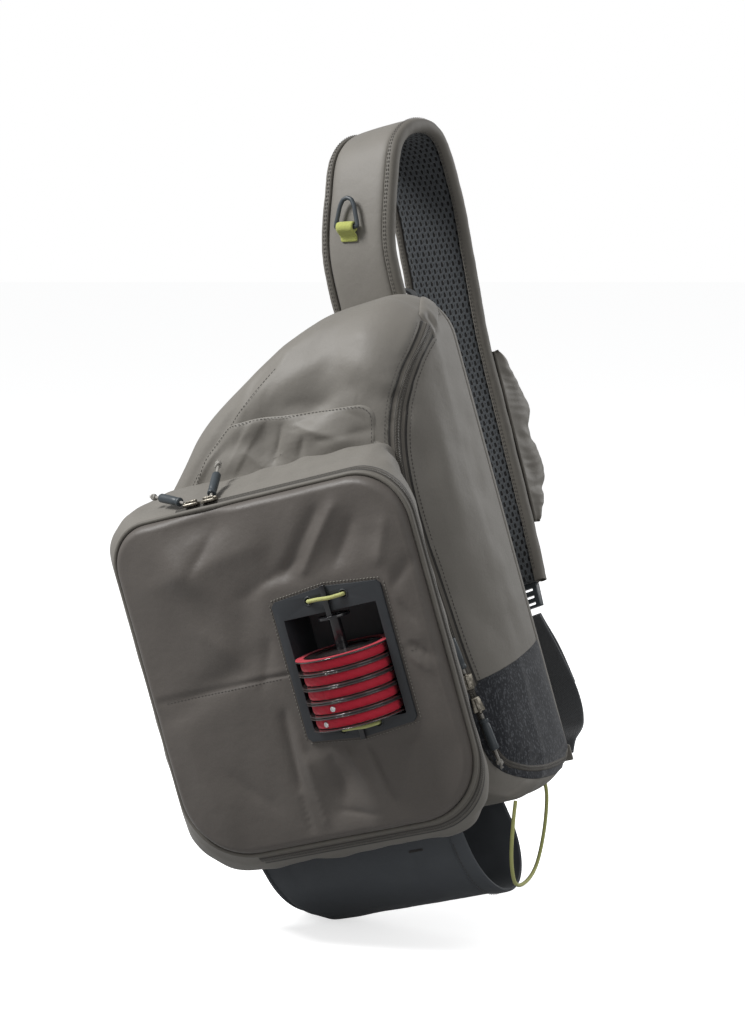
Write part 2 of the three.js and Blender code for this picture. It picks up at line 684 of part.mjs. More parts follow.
function pocketFaceY(x, z) {
  const across = (x - POCKET_ACROSS) / (POCKET_WIDTH / 2);
  const up = (z - POCKET_LOW) / POCKET_HEIGHT;
  const crown = (1 - Math.min(across * across, 1)) * (1 - Math.min((2 * up - 1) ** 2, 1));
  const nearX = Math.abs(x - TRAY_ACROSS) - TRAY_WIDTH / 2;
  const nearZ = Math.abs(z - TRAY_Z) - TRAY_HEIGHT / 2;
  const away = THREE.MathUtils.smoothstep(Math.hypot(Math.max(nearX, 0), Math.max(nearZ, 0)), 3, 34);
  const fold = foldDepth(POCKET_FOLDS, across, up, POCKET_HEIGHT / POCKET_WIDTH) * POCKET_DEPTH;
  return -POCKET_DEPTH + mix(-POCKET_CROWN, fold - POCKET_CROWN * crown ** 0.5, away);
}

function pocketFace() {
  const hub = vec(TRAY_ACROSS * 0.6, 0, TRAY_Z);
  const flat = pocketRing(POCKET_EDGE, 0);
  const surface = (back) => [0.12, 0.42, 0.64, 0.84, 1].map((f) => flat.map((p) => {
    const q = blend(hub, p, f);
    q.y = pocketFaceY(q.x, q.z) + back;
    return q;
  }));
  const front = surface(0);
  front.push(pocketRing(POCKET_EDGE * 0.3, -POCKET_DEPTH + POCKET_EDGE * 0.35));
  front.push(pocketRing(0, POCKET_SEAM_Y));
  const back = surface(FABRIC);
  back.push(pocketRing(POCKET_EDGE * 0.3 + FABRIC, -POCKET_DEPTH + POCKET_EDGE * 0.35 + FABRIC));
  back.push(pocketRing(FABRIC, POCKET_SEAM_Y));
  const solid = loft([...front, ...back.reverse()]);
  return cut(solid, trayPrism(GAP, POCKET_DEPTH * 2, -POCKET_DEPTH * 2));
}

function gussetInsets(back, lift) {
  const next = Math.max(GUSSET.findIndex((row) => row.back >= back), 1);
  const [a, b] = [GUSSET[next - 1], GUSSET[next]];
  const f = (back - a.back) / (b.back - a.back);
  const grow = (key) => -mix(a[key], b[key], f) * POCKET_DEPTH - lift;
  return [grow('bottom'), grow('right'), grow('top'), grow('left')];
}

function gussetRing(back, lift) {
  return pocketRing(gussetInsets(back, lift), mix(POCKET_SEAM_Y + GAP, 0, back));
}

function pocketGusset() {
  const rows = (lift) => GUSSET.map((row) => gussetRing(row.back, lift));
  return trimmed(cut(sheet(rows(0), rows(-FABRIC), true), SHELL_COVER, pocketClearance(), zipCover(),
    sleeveForm(SLEEVE_CLOTH + GAP)));
}

function pocketPiping() {
  const r = PIPING / 2;
  const y = POCKET_SEAM_Y - 0.9 * r;
  const at = (a) => pocketRing(-0.8 * r - r * Math.cos(a), y + r * Math.sin(a));
  const section = Array.from({ length: 6 }, (_, k) => at((k / 6) * Math.PI * 2));
  const rings = section[0].map((_, j) => section.map((ring) => ring[j]));
  return loft(rings, true);
}

// Columns of the pocket's outline that its zip spans, anticlockwise from the lower left.
const POCKET_ZIP_FROM = 4;
const POCKET_ZIP_TO = 27;

function pocketZip() {
  const spans = [0.03, 0.12, 0.18, 0.27];
  const pick = (ring) => ring.slice(POCKET_ZIP_FROM, POCKET_ZIP_TO + 1);
  const outer = spans.map((back, i) => pick(gussetRing(
    back, GAP + ZIP_THICKNESS + (i === 1 || i === 2 ? COIL_RISE : 0))));
  const inner = spans.map((back) => pick(gussetRing(back, GAP)));
  return sheet(outer, inner);
}

// A copy of the upper pocket's outline, grown by the clearance, to trim the gusset.
function pocketClearance() {
  const outline = UPPER_POCKET.map(({ across, up }) => [across, up]);
  const cx = outline.reduce((sum, p) => sum + p[0], 0) / outline.length;
  const cz = outline.reduce((sum, p) => sum + p[1], 0) / outline.length;
  const wide = outline.map(([a, u]) => [
    a * HALF_WIDTH + Math.sign(a - cx) * 1, BASE_Z + u * PACK_HEIGHT + Math.sign(u - cz) * 1]);
  const slab = upright(wide, PACK_DEPTH).translate(0, -PACK_DEPTH * 0.4, 0);
  return common(slab, packForm(-2 * GAP - PATCH, BACK_EDGE_Y));
}

// Spool tray.

function trayOutline(grow) {
  const w = TRAY_WIDTH / 2 + grow;
  const h = TRAY_HEIGHT / 2 + grow;
  return [
    [-w, -h + TRAY_PEAK + 3], [-w + 3, -h + TRAY_PEAK], [0, -h], [w - 3, -h + TRAY_PEAK],
    [w, -h + TRAY_PEAK + 3], [w, h - TRAY_PEAK - 3], [w - 3, h - TRAY_PEAK], [0, h],
    [-w + 3, h - TRAY_PEAK], [-w, h - TRAY_PEAK - 3],
  ];
}

function trayPrism(grow, depth, y) {
  return upright(trayOutline(grow), depth).translate(TRAY_ACROSS, y, TRAY_Z);
}

const TRAY_EDGE = 7;
const RECESS_TOP = TRAY_Z + TRAY_HEIGHT / 2 - TRAY_END_FLANGE - 2;
const STACK_LOW = TRAY_Z - TRAY_HEIGHT / 2 + 13;
const STACK_HIGH = STACK_LOW + SPOOL_PITCH * SPOOL_COUNT;
const RECESS_LOW = STACK_LOW - 1.5;
const SPINDLE_Y = TRAY_FRONT_Y + SPINDLE_SET_BACK;
const EYELET_ROWS = [TRAY_Z - TRAY_HEIGHT / 2 + EYELET_INSET, TRAY_Z + TRAY_HEIGHT / 2 - EYELET_INSET];

function tray() {
  const half = TRAY_WIDTH / 2 - TRAY_FLANGE;
  const y0 = TRAY_FRONT_Y;
  const hole = boxBetween(
    vec(TRAY_ACROSS - half, y0 - 5, RECESS_LOW), vec(TRAY_ACROSS + half, y0 + TRAY_RECESS, RECESS_TOP));
  const shell = boxBetween(
    vec(TRAY_ACROSS - half - TRAY_WALL, y0 + 1, RECESS_LOW - TRAY_WALL),
    vec(TRAY_ACROSS + half + TRAY_WALL, y0 + TRAY_RECESS + TRAY_WALL, RECESS_TOP + TRAY_WALL));
  let solid = join(trayPrism(0, TRAY_EDGE, y0), shell);
  const slots = [];
  for (let i = 0; i <= SPOOL_COUNT; i += 1) {
    const z = STACK_LOW + i * SPOOL_PITCH;
    const radius = SPOOL_DIAMETER / 2 + 1.2;
    const disc = new THREE.CylinderGeometry(radius, radius, 2 * SPOOL_FLANGE + 1.6, 20);
    slots.push(disc.rotateX(Math.PI / 2).translate(TRAY_ACROSS, SPINDLE_Y, z));
  }
  const bores = EYELET_ROWS.flatMap((z) => [-1, 1].map((side) => rod(
    vec(TRAY_ACROSS + side * EYELET_SPREAD / 2, y0 - 5, z),
    vec(TRAY_ACROSS + side * EYELET_SPREAD / 2, y0 + TRAY_EDGE + 5, z), EYELET_BORE, 10)));
  solid = cut(solid, hole, ...slots, ...bores);
  return solid;
}

function spoolBar() {
  const x = TRAY_ACROSS;
  const low = STACK_LOW - 0.9;
  const discZ = RECESS_TOP - 5;
  const arm = BAR_WIDTH / 2;
  const front = TRAY_FRONT_Y - GAP;
  return join(
    rod(vec(x, SPINDLE_Y, low), vec(x, SPINDLE_Y, discZ), SPINDLE, 12),
    rod(vec(x, SPINDLE_Y, discZ - 0.5), vec(x, SPINDLE_Y, discZ + 1.5), STOP_DISC, 16),
    boxBetween(vec(x - arm, front - 2.4, discZ + 1), vec(x + arm, front, TRAY_Z + TRAY_HEIGHT / 2 + 1)),
    boxBetween(vec(x - arm, front - 2.4, discZ + 1), vec(x + arm, SPINDLE_Y + 2, discZ + 3)),
    boxBetween(vec(x - arm, front - 2.4, TRAY_Z - TRAY_HEIGHT / 2 - 1), vec(x + arm, front, low + 0.5)),
    boxBetween(vec(x - arm, front - 2.4, low - 0.1), vec(x + arm, SPINDLE_Y + 2, low + 0.5)));
}

const SPOOL_HEIGHT = SPOOL_PITCH - 0.5;
function spool() {
  const bore = SPINDLE / 2 + SPINDLE_CLEARANCE;
  const web = SPOOL_WEB / 2;
  const rim = SPOOL_DIAMETER / 2;
  const h = SPOOL_HEIGHT / 2;
  const inside = h - SPOOL_FLANGE;
  return turned([
    [bore, -h], [rim, -h], [rim, -inside], [web, -inside],
    [web, inside], [rim, inside], [rim, h], [bore, h],
  ], 14);
}

function spoolBand() {
  const h = SPOOL_HEIGHT / 2 - SPOOL_FLANGE - GAP;
  const rim = BAND_DIAMETER / 2;
  return turned([[rim - BAND_THICKNESS, -h], [rim, -h], [rim, h], [rim - BAND_THICKNESS, h]], 14);
}

function elastic(z) {
  const x = TRAY_ACROSS;
  const s = EYELET_SPREAD / 2;
  const front = TRAY_FRONT_Y - GAP - 2.4 - GAP - ELASTIC / 2;
  return cordAlong([
    vec(x - s, TRAY_FRONT_Y + TRAY_EDGE, z), vec(x - s, TRAY_FRONT_Y - 0.5, z),
    vec(x - s + 3.2, TRAY_FRONT_Y - 2.4, z), vec(x - BAR_WIDTH, front, z), vec(x, front - 0.2, z),
    vec(x + BAR_WIDTH, front, z), vec(x + s - 3.2, TRAY_FRONT_Y - 2.4, z),
    vec(x + s, TRAY_FRONT_Y - 0.5, z), vec(x + s, TRAY_FRONT_Y + TRAY_EDGE, z),
  ], ELASTIC, 14, 6);
}

// Bottle sleeve: a sling of stretch cloth under the base, with a slanted end and a slanted mouth.

const SLEEVE_R = SLEEVE_BORE / 2;
function sleeveSection(drop, lift) {
  const radius = SLEEVE_R + lift;
  const straight = BASE_Z - SLEEVE_R - SLEEVE_CLOTH;
  const points = [];
  for (const f of [0, 0.5]) {
    points.push([-radius, BASE_Z - GAP - f * straight]);
  }
  for (let k = 0; k <= 12; k += 1) {
    const a = (k / 12) * Math.PI;
    points.push([-radius * Math.cos(a), SLEEVE_R + SLEEVE_CLOTH - radius * Math.sin(a)]);
  }
  for (const f of [0.5, 0]) {
    points.push([radius, BASE_Z - GAP - f * straight]);
  }
  return points.map(([y, z]) => [y, mix(BASE_Z - GAP, z, drop)]);
}

// along: share of the sleeve's length. drop: share of its full drop.
const SLEEVE_STATIONS = [
  { along: 0, drop: 0.8, lean: 1 },
  { along: 0.05, drop: 0.92, lean: 0.8 },
  { along: 0.14, drop: 0.99, lean: 0.5 },
  { along: 0.3, drop: 1, lean: 0.2 },
  { along: 0.65, drop: 1, lean: 0 },
  { along: 0.9, drop: 1, lean: -0.6 },
  { along: 1, drop: 1, lean: -1 },
];
const END_LEAN = 22;
const MOUTH_LEAN = 12;

function sleevePoint(station, lift) {
  return sleeveSection(station.drop, lift).map(([y, z]) => {
    const low = 1 - z / BASE_Z;
    const lean = station.lean > 0 ? END_LEAN * station.lean : MOUTH_LEAN * -station.lean;
    const x = SLEEVE_LEFT + station.along * SLEEVE_LENGTH + low * lean;
    return vec(x, SLEEVE_SET_BACK + y, z);
  });
}

function sleeveForm(lift) {
  return loft(SLEEVE_STATIONS.map((station) => sleevePoint(station, lift)));
}

function sleeve() {
  const rows = (lift) => SLEEVE_STATIONS.map((station) => sleevePoint(station, lift));
  return trimmed(cut(sheet(rows(SLEEVE_CLOTH), rows(0)), SHELL_COVER));
}

function sleeveEnd() {
  const ring = (shift) => sleevePoint(SLEEVE_STATIONS[0], -GAP).map((p) => vec(p.x + shift, p.y, p.z));
  return trimmed(cut(loft([ring(1), ring(1 + SLEEVE_CLOTH)]), SHELL_COVER));
}

function retentionCord() {
  const x = HALF_WIDTH * 0.88;
  const half = SLEEVE_BORE * 0.44;
  const top = BASE_Z - GAP;
  const at = (across, y, z) => vec(x + across, SLEEVE_SET_BACK + y, z);
  return cut(cordAlong([
    at(0, -half * 0.85, top), at(-4, -half, top * 0.8), at(-14, -half * 0.97, top * 0.42),
    at(-22, -half * 0.62, top * 0.12), at(-24, 0, 0.04 * top), at(-22, half * 0.62, top * 0.12),
    at(-14, half * 0.97, top * 0.42), at(-4, half, top * 0.8), at(0, half * 0.85, top),
  ], ELASTIC, 24), SHELL_COVER);
}

// Shoulder strap.

const strapLine = new THREE.CatmullRomCurve3(STRAP_ROUTE.map((row) => vec(
  row.across * HALF_WIDTH, BACK_Y + row.back * STRAP_REACH, TOP_Z + row.up * STRAP_RISE,
)), false, 'centripetal');

// Axes of the strap at a share of its length: along it, across its width and out of its upper face.
function strapFrame(curve, f) {
  const along = curve.getTangentAt(f);
  const width = vec(1, -0.16, 0);
  width.addScaledVector(along, -width.dot(along)).normalize();
  const out = width.clone().cross(along).normalize();
  return { middle: curve.getPointAt(f), along, width, out };
}

function strapBar(curve, section, from, to, stations) {
  const rings = Array.from({ length: stations + 1 }, (_, i) => {
    const frame = strapFrame(curve, mix(from, to, i / stations));
    return section(i / stations).map(([w, n]) =>
      frame.middle.clone().addScaledVector(frame.width, w).addScaledVector(frame.out, n));
  });
  return loft(rings);
}

function rectangle(w0, w1, n0, n1) {
  return [[w0, n0], [w1, n0], [w1, n1], [w0, n1]];
}

const PAD_HALF = STRAP_WIDTH / 2 - STRAP_BINDING - GAP;
const STRAP_HALF = STRAP_THICKNESS / 2;

function strapPiece(section, from = 0, to = 1) {
  return trimmed(cut(
    strapBar(strapLine, section, from, to, STRAP_STATIONS), packForm(-GAP, BACK_Y + GAP)));
}

function strapBinding(side) {
  const inner = side * (STRAP_WIDTH / 2 - STRAP_BINDING);
  const outer = side * (STRAP_WIDTH / 2);
  const n = STRAP_HALF;
  return strapPiece(() => [
    [inner, -n], [outer - side * 2, -n], [outer, -n + 2.5],
    [outer, n - 2.5], [outer - side * 2, n], [inner, n],
  ]);
}

// Pocket on the rear face of the strap: a swollen cover with open ground against the strap.
const STRAP_POCKET_SWELL = 34;
const STRAP_POCKET_ENDS = [{ along: 0.665 }, { along: 0.915 }];
// aside: share of its half width. rise: share of its swell.
const STRAP_POCKET_SECTION = [
  { aside: -1, rise: 0 }, { aside: -1.12, rise: 0.5 }, { aside: -0.96, rise: 0.92 },
  { aside: 0, rise: 1 }, { aside: 0.96, rise: 0.92 }, { aside: 1.12, rise: 0.5 }, { aside: 1, rise: 0 },
];
function strapPocket() {
  const rows = 9;
  const half = STRAP_WIDTH / 2 - 1;
  const grid = (cloth) => Array.from({ length: rows + 1 }, (_, i) => {
    const f = i / rows;
    const frame = strapFrame(strapLine, mix(STRAP_POCKET_ENDS[0].along, STRAP_POCKET_ENDS[1].along, f));
    const hill = (1 - Math.abs(2 * f - 1) ** 3) ** 0.7;
    return STRAP_POCKET_SECTION.map(({ aside, rise }) => {
      const pleat = 1 + 0.1 * Math.sin(f * 17 + aside * 2);
      const bed = STRAP_HALF + GAP + cloth * (rise > 0 ? -1 : 0) + 1;
      const n = bed + STRAP_POCKET_SWELL * hill * pleat * rise;
      return frame.middle.clone().addScaledVector(frame.width, aside * (half - cloth))
        .addScaledVector(frame.out, Math.max(n, STRAP_HALF + GAP));
    });
  });
  return sheet(grid(0), grid(1));
}

// Buckle, webbing and anchor at the low end of the strap.

const ANCHOR_LOW = BASE_Z + PACK_HEIGHT * 0.01;
const ANCHOR_RISE = 5.6;        // webbing's end above the foot of its anchor
const STRAP_LOW = TOP_Z + STRAP_ROUTE[STRAP_ROUTE.length - 1].up * STRAP_RISE;
const webbingLine = new THREE.CatmullRomCurve3(WEBBING_ROUTE.map((row) => vec(
  row.across * HALF_WIDTH, BACK_Y + row.back * STRAP_REACH,
  mix(STRAP_LOW, ANCHOR_LOW + ANCHOR_RISE, row.drop),
)), false, 'centripetal');

function buckle() {
  const end = strapFrame(strapLine, 1);
  const half = WEBBING_WIDTH / 2;
  const plate = boxBetween(vec(-half - 5, 0, -3), vec(half + 5, 19, 3));
  const slots = [4.5, 10.5, 16].map((y) => boxBetween(
    vec(-half - 1, y - 1.5, -5), vec(half + 1, y + 1.5, 5)));
  const basis = new THREE.Matrix4().makeBasis(end.width, end.along, end.out);
  basis.setPosition(end.middle.clone().addScaledVector(end.along, GAP).addScaledVector(end.out, 1));
  return cut(plate, ...slots).applyMatrix4(basis);
}

function webbing() {
  return strapBar(webbingLine, () => rectangle(
    -WEBBING_WIDTH / 2, WEBBING_WIDTH / 2, -WEBBING / 2, WEBBING / 2), 0, 1, 12);
}

function buckleTab() {
  const half = WEBBING_WIDTH / 2 + 2;
  const tab = () => rectangle(-half, half, STRAP_HALF + GAP, STRAP_HALF + GAP + 2);
  return strapBar(strapLine, tab, 0.93, 1, 4);
}

// Stitched triangle that holds the webbing to the lower corner of the back panel.
function anchorTab() {
  const end = WEBBING_ROUTE[WEBBING_ROUTE.length - 1];
  const x = end.across * HALF_WIDTH;
  const low = ANCHOR_LOW;
  return upright([
    [x - WEBBING_WIDTH / 2, low], [HALF_WIDTH, low], [HALF_WIDTH, low + 12], [x, low + 22],
    [x - WEBBING_WIDTH / 2, low + 14],
  ], 2).translate(0, BACK_Y + GAP, 0);
}

function grabLoop() {
  const y = BACK_Y + GAP + 5;
  const line = new THREE.CatmullRomCurve3([
    vec(HALF_WIDTH * 0.58, y, TOP_Z - 22), vec(HALF_WIDTH * 0.59, y + 1, TOP_Z - 4),
    vec(HALF_WIDTH * 0.68, y + 2, TOP_Z + 6), vec(HALF_WIDTH * 0.78, y + 1, TOP_Z + 1),
    vec(HALF_WIDTH * 0.8, y, TOP_Z - 20),
  ], false, 'centripetal');
  const rings = Array.from({ length: 13 }, (_, i) => {
    const p = line.getPointAt(i / 12);
    const t = line.getTangentAt(i / 12);
    const out = vec(0, 1, 0).cross(t).normalize();
    const corners = [[-5, -1], [5, -1], [5, 1], [-5, 1]];
    return corners.map(([w, n]) => vec(p.x, p.y + w, p.z).addScaledVector(out, n));
  });
  return loft(rings);
}

// Accessory ring on the strap's front run, hinged in a rolled tab.

const RING_AT = 0.122;
const RING = { width: 20, height: 23, wire: 3.4 };
const TAB_ROLL = 9;
function ringFrame() {
  const frame = strapFrame(strapLine, RING_AT);
  const basis = new THREE.Matrix4().makeBasis(frame.width, frame.along, frame.out);
  const seat = frame.middle.clone().addScaledVector(frame.out, STRAP_HALF + GAP + TAB_ROLL / 2 + 0.4);
  return { basis, seat: seat.addScaledVector(frame.width, -4), frame };
}

// The ring in its own frame: X along its hinge, Y up the strap, Z out of the strap.
function accessoryRing() {
  const w = RING.width / 2;
  const top = RING.height;
  const corners = [[w, 0], [w * 0.98, 2.5], [w * 0.66, top * 0.72], [w * 0.4, top * 0.93], [0, top]];
  const path = [...corners, ...corners.slice(0, -1).reverse().map(([x, y]) => [-x, y])];
  const rings = path.map((p, i) => {
    const before = path[(i + path.length - 1) % path.length];
    const after = path[(i + 1) % path.length];
    const out = vec(after[1] - before[1], before[0] - after[0], 0).normalize();
    return Array.from({ length: 8 }, (_, k) => {
      const a = (k / 8) * Math.PI * 2;
      const place = vec(p[0], p[1], (RING.wire / 2) * Math.sin(a));
      return place.addScaledVector(out, (RING.wire / 2) * Math.cos(a));
    });
  });
  return loft(rings, true);
}

function ringTab() {
  const half = RING.width / 2 - RING.wire / 2 - 0.8;
  const bore = RING.wire / 2 + 0.6;
  const roll = turned([
    [bore, -half], [TAB_ROLL / 2, -half], [TAB_ROLL / 2, half], [bore, half]], 12).rotateY(Math.PI / 2);
  const foot = boxBetween(
    vec(-half, -TAB_ROLL / 2 - 3, -TAB_ROLL / 2 - 0.4), vec(half, -bore - 0.2, -bore * 0.4));
  return join(roll, foot);
}

// Zip sliders with knotted cord pulls. Each is laid out along a line of points: the slider lies at
// the first, the cord starts beside it, runs through its tube and ends in a knot at the last.

function sliderBody(place, along, normal) {
  const across = along.clone().cross(normal).normalize();
  const basis = new THREE.Matrix4().makeBasis(across, along, normal).setPosition(place);
  const half = ZIP_TAPE * 0.34;
  const body = boxBetween(vec(-half, -6, 0), vec(half, 6, 2.6));
  const bridge = boxBetween(vec(-1.4, -4.5, 2), vec(1.4, 4.5, 4.2));
  return join(body, bridge).applyMatrix4(basis);
}

function pullCord(points) {
  const line = cordAlong(points, PULL_CORD, 7, 8);
  const last = points[points.length - 1];
  return join(line, new THREE.IcosahedronGeometry(PULL_KNOT / 2, 0).translate(last.x, last.y, last.z));
}

function pullTube(points) {
  const line = new THREE.CatmullRomCurve3(points, false, 'centripetal');
  const start = line.getPointAt(PULL_LEAD / line.getLength());
  const end = line.getPointAt(Math.min((PULL_LEAD + PULL_TUBE_LENGTH) / line.getLength(), 1));
  const bore = PULL_CORD / 2 + 0.8;
  const tube = turned([
    [bore, 0], [PULL_TUBE / 2, 0], [PULL_TUBE / 2, PULL_TUBE_LENGTH], [bore, PULL_TUBE_LENGTH]], 8);
  tube.applyQuaternion(new THREE.Quaternion().setFromUnitVectors(
    vec(0, 0, 1), end.sub(start).normalize()));
  return tube.translate(start.x, start.y, start.z);
}

function mainPull(share, heading) {
  const at = (f, lift) => {
    const p = zipLine.getPoint(f);
    return rightSide(p.x, p.y, lift);
  };
  const place = at(share, COIL_RISE + GAP);
  const along = at(share + 0.01, 0).sub(at(share - 0.01, 0)).normalize().multiplyScalar(heading);
  const normal = at(share, 1).sub(at(share, 0)).normalize();
  const point = (distance, lift, aside = 0) => place.clone().addScaledVector(along, distance)
    .addScaledVector(normal, lift).addScaledVector(normal.clone().cross(along), aside);
  const lead = 6 + GAP + PULL_CORD / 2;
  return {
    slider: sliderBody(place, along, normal),
    points: [point(lead, 3.2), point(lead + 12, 4.6), point(lead + 24, 5), point(lead + 39, 5)],
  };
}

function pocketPull(column, run) {
  const ring = gussetRing(0.15, GAP + ZIP_THICKNESS + COIL_RISE + GAP);
  const low = Math.floor(column);
  const place = blend(ring[low], ring[low + 1], column - low);
  const ahead = ring[low + 1].clone().sub(ring[low]).normalize();
  const inner = gussetRing(0.05, 0)[low];
  const outer = gussetRing(0.25, 0)[low];
  const normal = ahead.clone().cross(outer.clone().sub(inner)).normalize();
  if (normal.z < 0) normal.negate();
  return {
    slider: sliderBody(place, ahead, normal),
    points: run.map(([x, y, z]) => vec(place.x + x, place.y + y, place.z + z)),
  };
}

// The bag hangs from the underside of the strap's crown, which is where the origin goes.
const crown = Array.from({ length: 201 }, (_, i) => strapFrame(strapLine, i / 200))
  .reduce((best, frame) => (frame.middle.z > best.middle.z ? frame : best));
const bag = new THREE.Group();
bag.position.copy(crown.middle).addScaledVector(crown.out, -STRAP_HALF).negate();
const slingBag = new THREE.Group();
slingBag.name = 'sling_bag';
slingBag.add(bag);

function add(name, geometry, material, parent = bag) {
  const mesh = new THREE.Mesh(geometry, material);
  mesh.name = name;
  parent.add(mesh);
  return mesh;
}

add('main_shell', mainShell(), FINISH.shell);
add('side_panel', sidePanel(), FINISH.shell);
add('back_panel', backPanel(), FINISH.shell);
add('main_zip', mainZip(), FINISH.zip);
add('garage_patch', garagePatch(), FINISH.shell);
add('felt_patch', feltPatch(), FINISH.felt);
add('upper_pocket', upperPocket(), FINISH.shell);
add('pocket_face', pocketFace(), FINISH.face);
add('pocket_gusset', pocketGusset(), FINISH.shell);
add('pocket_piping', pocketPiping(), FINISH.face);
add('pocket_zip', pocketZip(), FINISH.zip);
add('spool_tray', tray(), FINISH.moulded);
add('spool_bar', spoolBar(), FINISH.gloss);
for (let i = 0; i < SPOOL_COUNT; i += 1) {
  const stack = new THREE.Group();
  stack.position.set(TRAY_ACROSS, SPINDLE_Y, STACK_LOW + (i + 0.5) * SPOOL_PITCH);
  bag.add(stack);
  add(`spool_${i + 1}`, spool(), FINISH.smoke, stack);
  add(`spool_band_${i + 1}`, spoolBand(), FINISH.red, stack);
}
add('tray_elastic_lower', elastic(EYELET_ROWS[0]), FINISH.lime);
add('tray_elastic_upper', elastic(EYELET_ROWS[1]), FINISH.lime);
add('bottle_sleeve', sleeve(), FINISH.sleeve);
add('sleeve_end', sleeveEnd(), FINISH.sleeve);
add('retention_cord', retentionCord(), FINISH.lime);
add('strap_pad', strapPiece(() => rectangle(-PAD_HALF, PAD_HALF, GAP / 2, STRAP_HALF)), FINISH.shell);
add('strap_mesh', strapPiece(() => rectangle(-PAD_HALF, PAD_HALF, -GAP / 2, -STRAP_HALF)), FINISH.lining);
add('strap_binding_left', strapBinding(-1), FINISH.face);
add('strap_binding_right', strapBinding(1), FINISH.face);
add('strap_pocket', strapPocket(), FINISH.shell);
add('strap_buckle', buckle(), FINISH.moulded);
add('webbing', webbing(), FINISH.webbing);
add('buckle_tab', buckleTab(), FINISH.shell);
add('anchor_tab', anchorTab(), FINISH.webbing);
add('grab_loop', grabLoop(), FINISH.webbing);

const { basis: ringBasis, seat: ringSeat } = ringFrame();
const ringMount = new THREE.Group();
ringMount.quaternion.setFromRotationMatrix(ringBasis);
ringMount.position.copy(ringSeat);
bag.add(ringMount);
add('accessory_ring', accessoryRing(), FINISH.moulded, ringMount);
add('ring_tab', ringTab(), FINISH.lime, ringMount);

const pulls = {
  main_upper: mainPull(0.563, -1),
  main_lower: mainPull(0.601, 1),
  pocket_left: pocketPull(26.43, [[-7.6, 2, 3], [-17, 7, 6.4], [-29, 14, 9.5], [-40, 21, 11.5]]),
  pocket_right: pocketPull(25.94, [[-0.5, 4.7, 2.6], [-2, 17, 8.4], [-3, 29, 15.5], [-4, 39, 22.5]]),
};
for (const [name, pull] of Object.entries(pulls)) {
  add(`${name}_slider`, pull.slider, FINISH.brass);
  add(`${name}_cord`, pullCord(pull.points), FINISH.cord);
  add(`${name}_tube`, pullTube(pull.points), FINISH.tube);
}

export default slingBag;
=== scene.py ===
import logging
import math
from dataclasses import dataclass, field
from enum import Enum
from typing import Any, Callable, Iterable, Sequence

import bpy
import numpy as np
from mathutils import Matrix, Quaternion, Vector, noise
from mathutils.bvhtree import BVHTree


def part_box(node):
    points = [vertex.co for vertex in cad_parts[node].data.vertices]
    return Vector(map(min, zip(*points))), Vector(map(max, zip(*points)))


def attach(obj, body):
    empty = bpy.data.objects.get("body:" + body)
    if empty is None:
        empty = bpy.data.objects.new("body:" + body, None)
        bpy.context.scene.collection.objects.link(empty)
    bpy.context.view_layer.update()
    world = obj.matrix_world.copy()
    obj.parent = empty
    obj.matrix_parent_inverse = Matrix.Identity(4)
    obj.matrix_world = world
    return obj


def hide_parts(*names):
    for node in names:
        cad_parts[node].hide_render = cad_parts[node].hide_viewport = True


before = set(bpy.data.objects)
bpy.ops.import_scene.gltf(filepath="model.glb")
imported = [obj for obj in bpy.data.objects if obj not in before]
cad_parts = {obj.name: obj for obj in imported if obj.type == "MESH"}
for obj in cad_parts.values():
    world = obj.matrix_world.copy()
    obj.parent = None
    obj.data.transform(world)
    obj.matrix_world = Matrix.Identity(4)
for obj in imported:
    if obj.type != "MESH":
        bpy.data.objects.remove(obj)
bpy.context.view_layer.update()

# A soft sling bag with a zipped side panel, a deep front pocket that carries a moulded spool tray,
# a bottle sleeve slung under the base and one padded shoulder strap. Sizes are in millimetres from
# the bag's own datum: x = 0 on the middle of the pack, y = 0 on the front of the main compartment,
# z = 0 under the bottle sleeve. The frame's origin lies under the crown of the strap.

DATUM = np.array([-94.9117, -159.6330, -582.3905])
LOG = logging.getLogger("sling_bag")
BAG = "bag"

Grid = np.ndarray
Point = Sequence[float]


class Side(Enum):
    """A side of the strap as seen from the front."""

    LEFT = -1
    RIGHT = 1


# Points and curves


def unit(v: np.ndarray) -> np.ndarray:
    """Returns vectors scaled to a length of one."""
    return v / np.maximum(np.linalg.norm(v, axis=-1, keepdims=True), 1e-12)


def mix(a: Any, b: Any, f: Any) -> Any:
    """Returns the value a share of the way from one to another."""
    return a + (b - a) * f


def smoothstep(x: Any, low: float, high: float) -> Any:
    """Returns 0 below the low value, 1 above the high one and a smooth rise between."""
    t = np.clip((x - low) / (high - low), 0.0, 1.0)
    return t * t * (3 - 2 * t)


def in_frame(points: Any) -> np.ndarray:
    """Returns points given in the bag's millimetres in the frame's metres."""
    return (np.asarray(points, float) + DATUM) / 1000.0


def in_bag(points: Any) -> np.ndarray:
    """Returns points given in the frame's metres in the bag's millimetres."""
    return np.asarray(points, float) * 1000.0 - DATUM


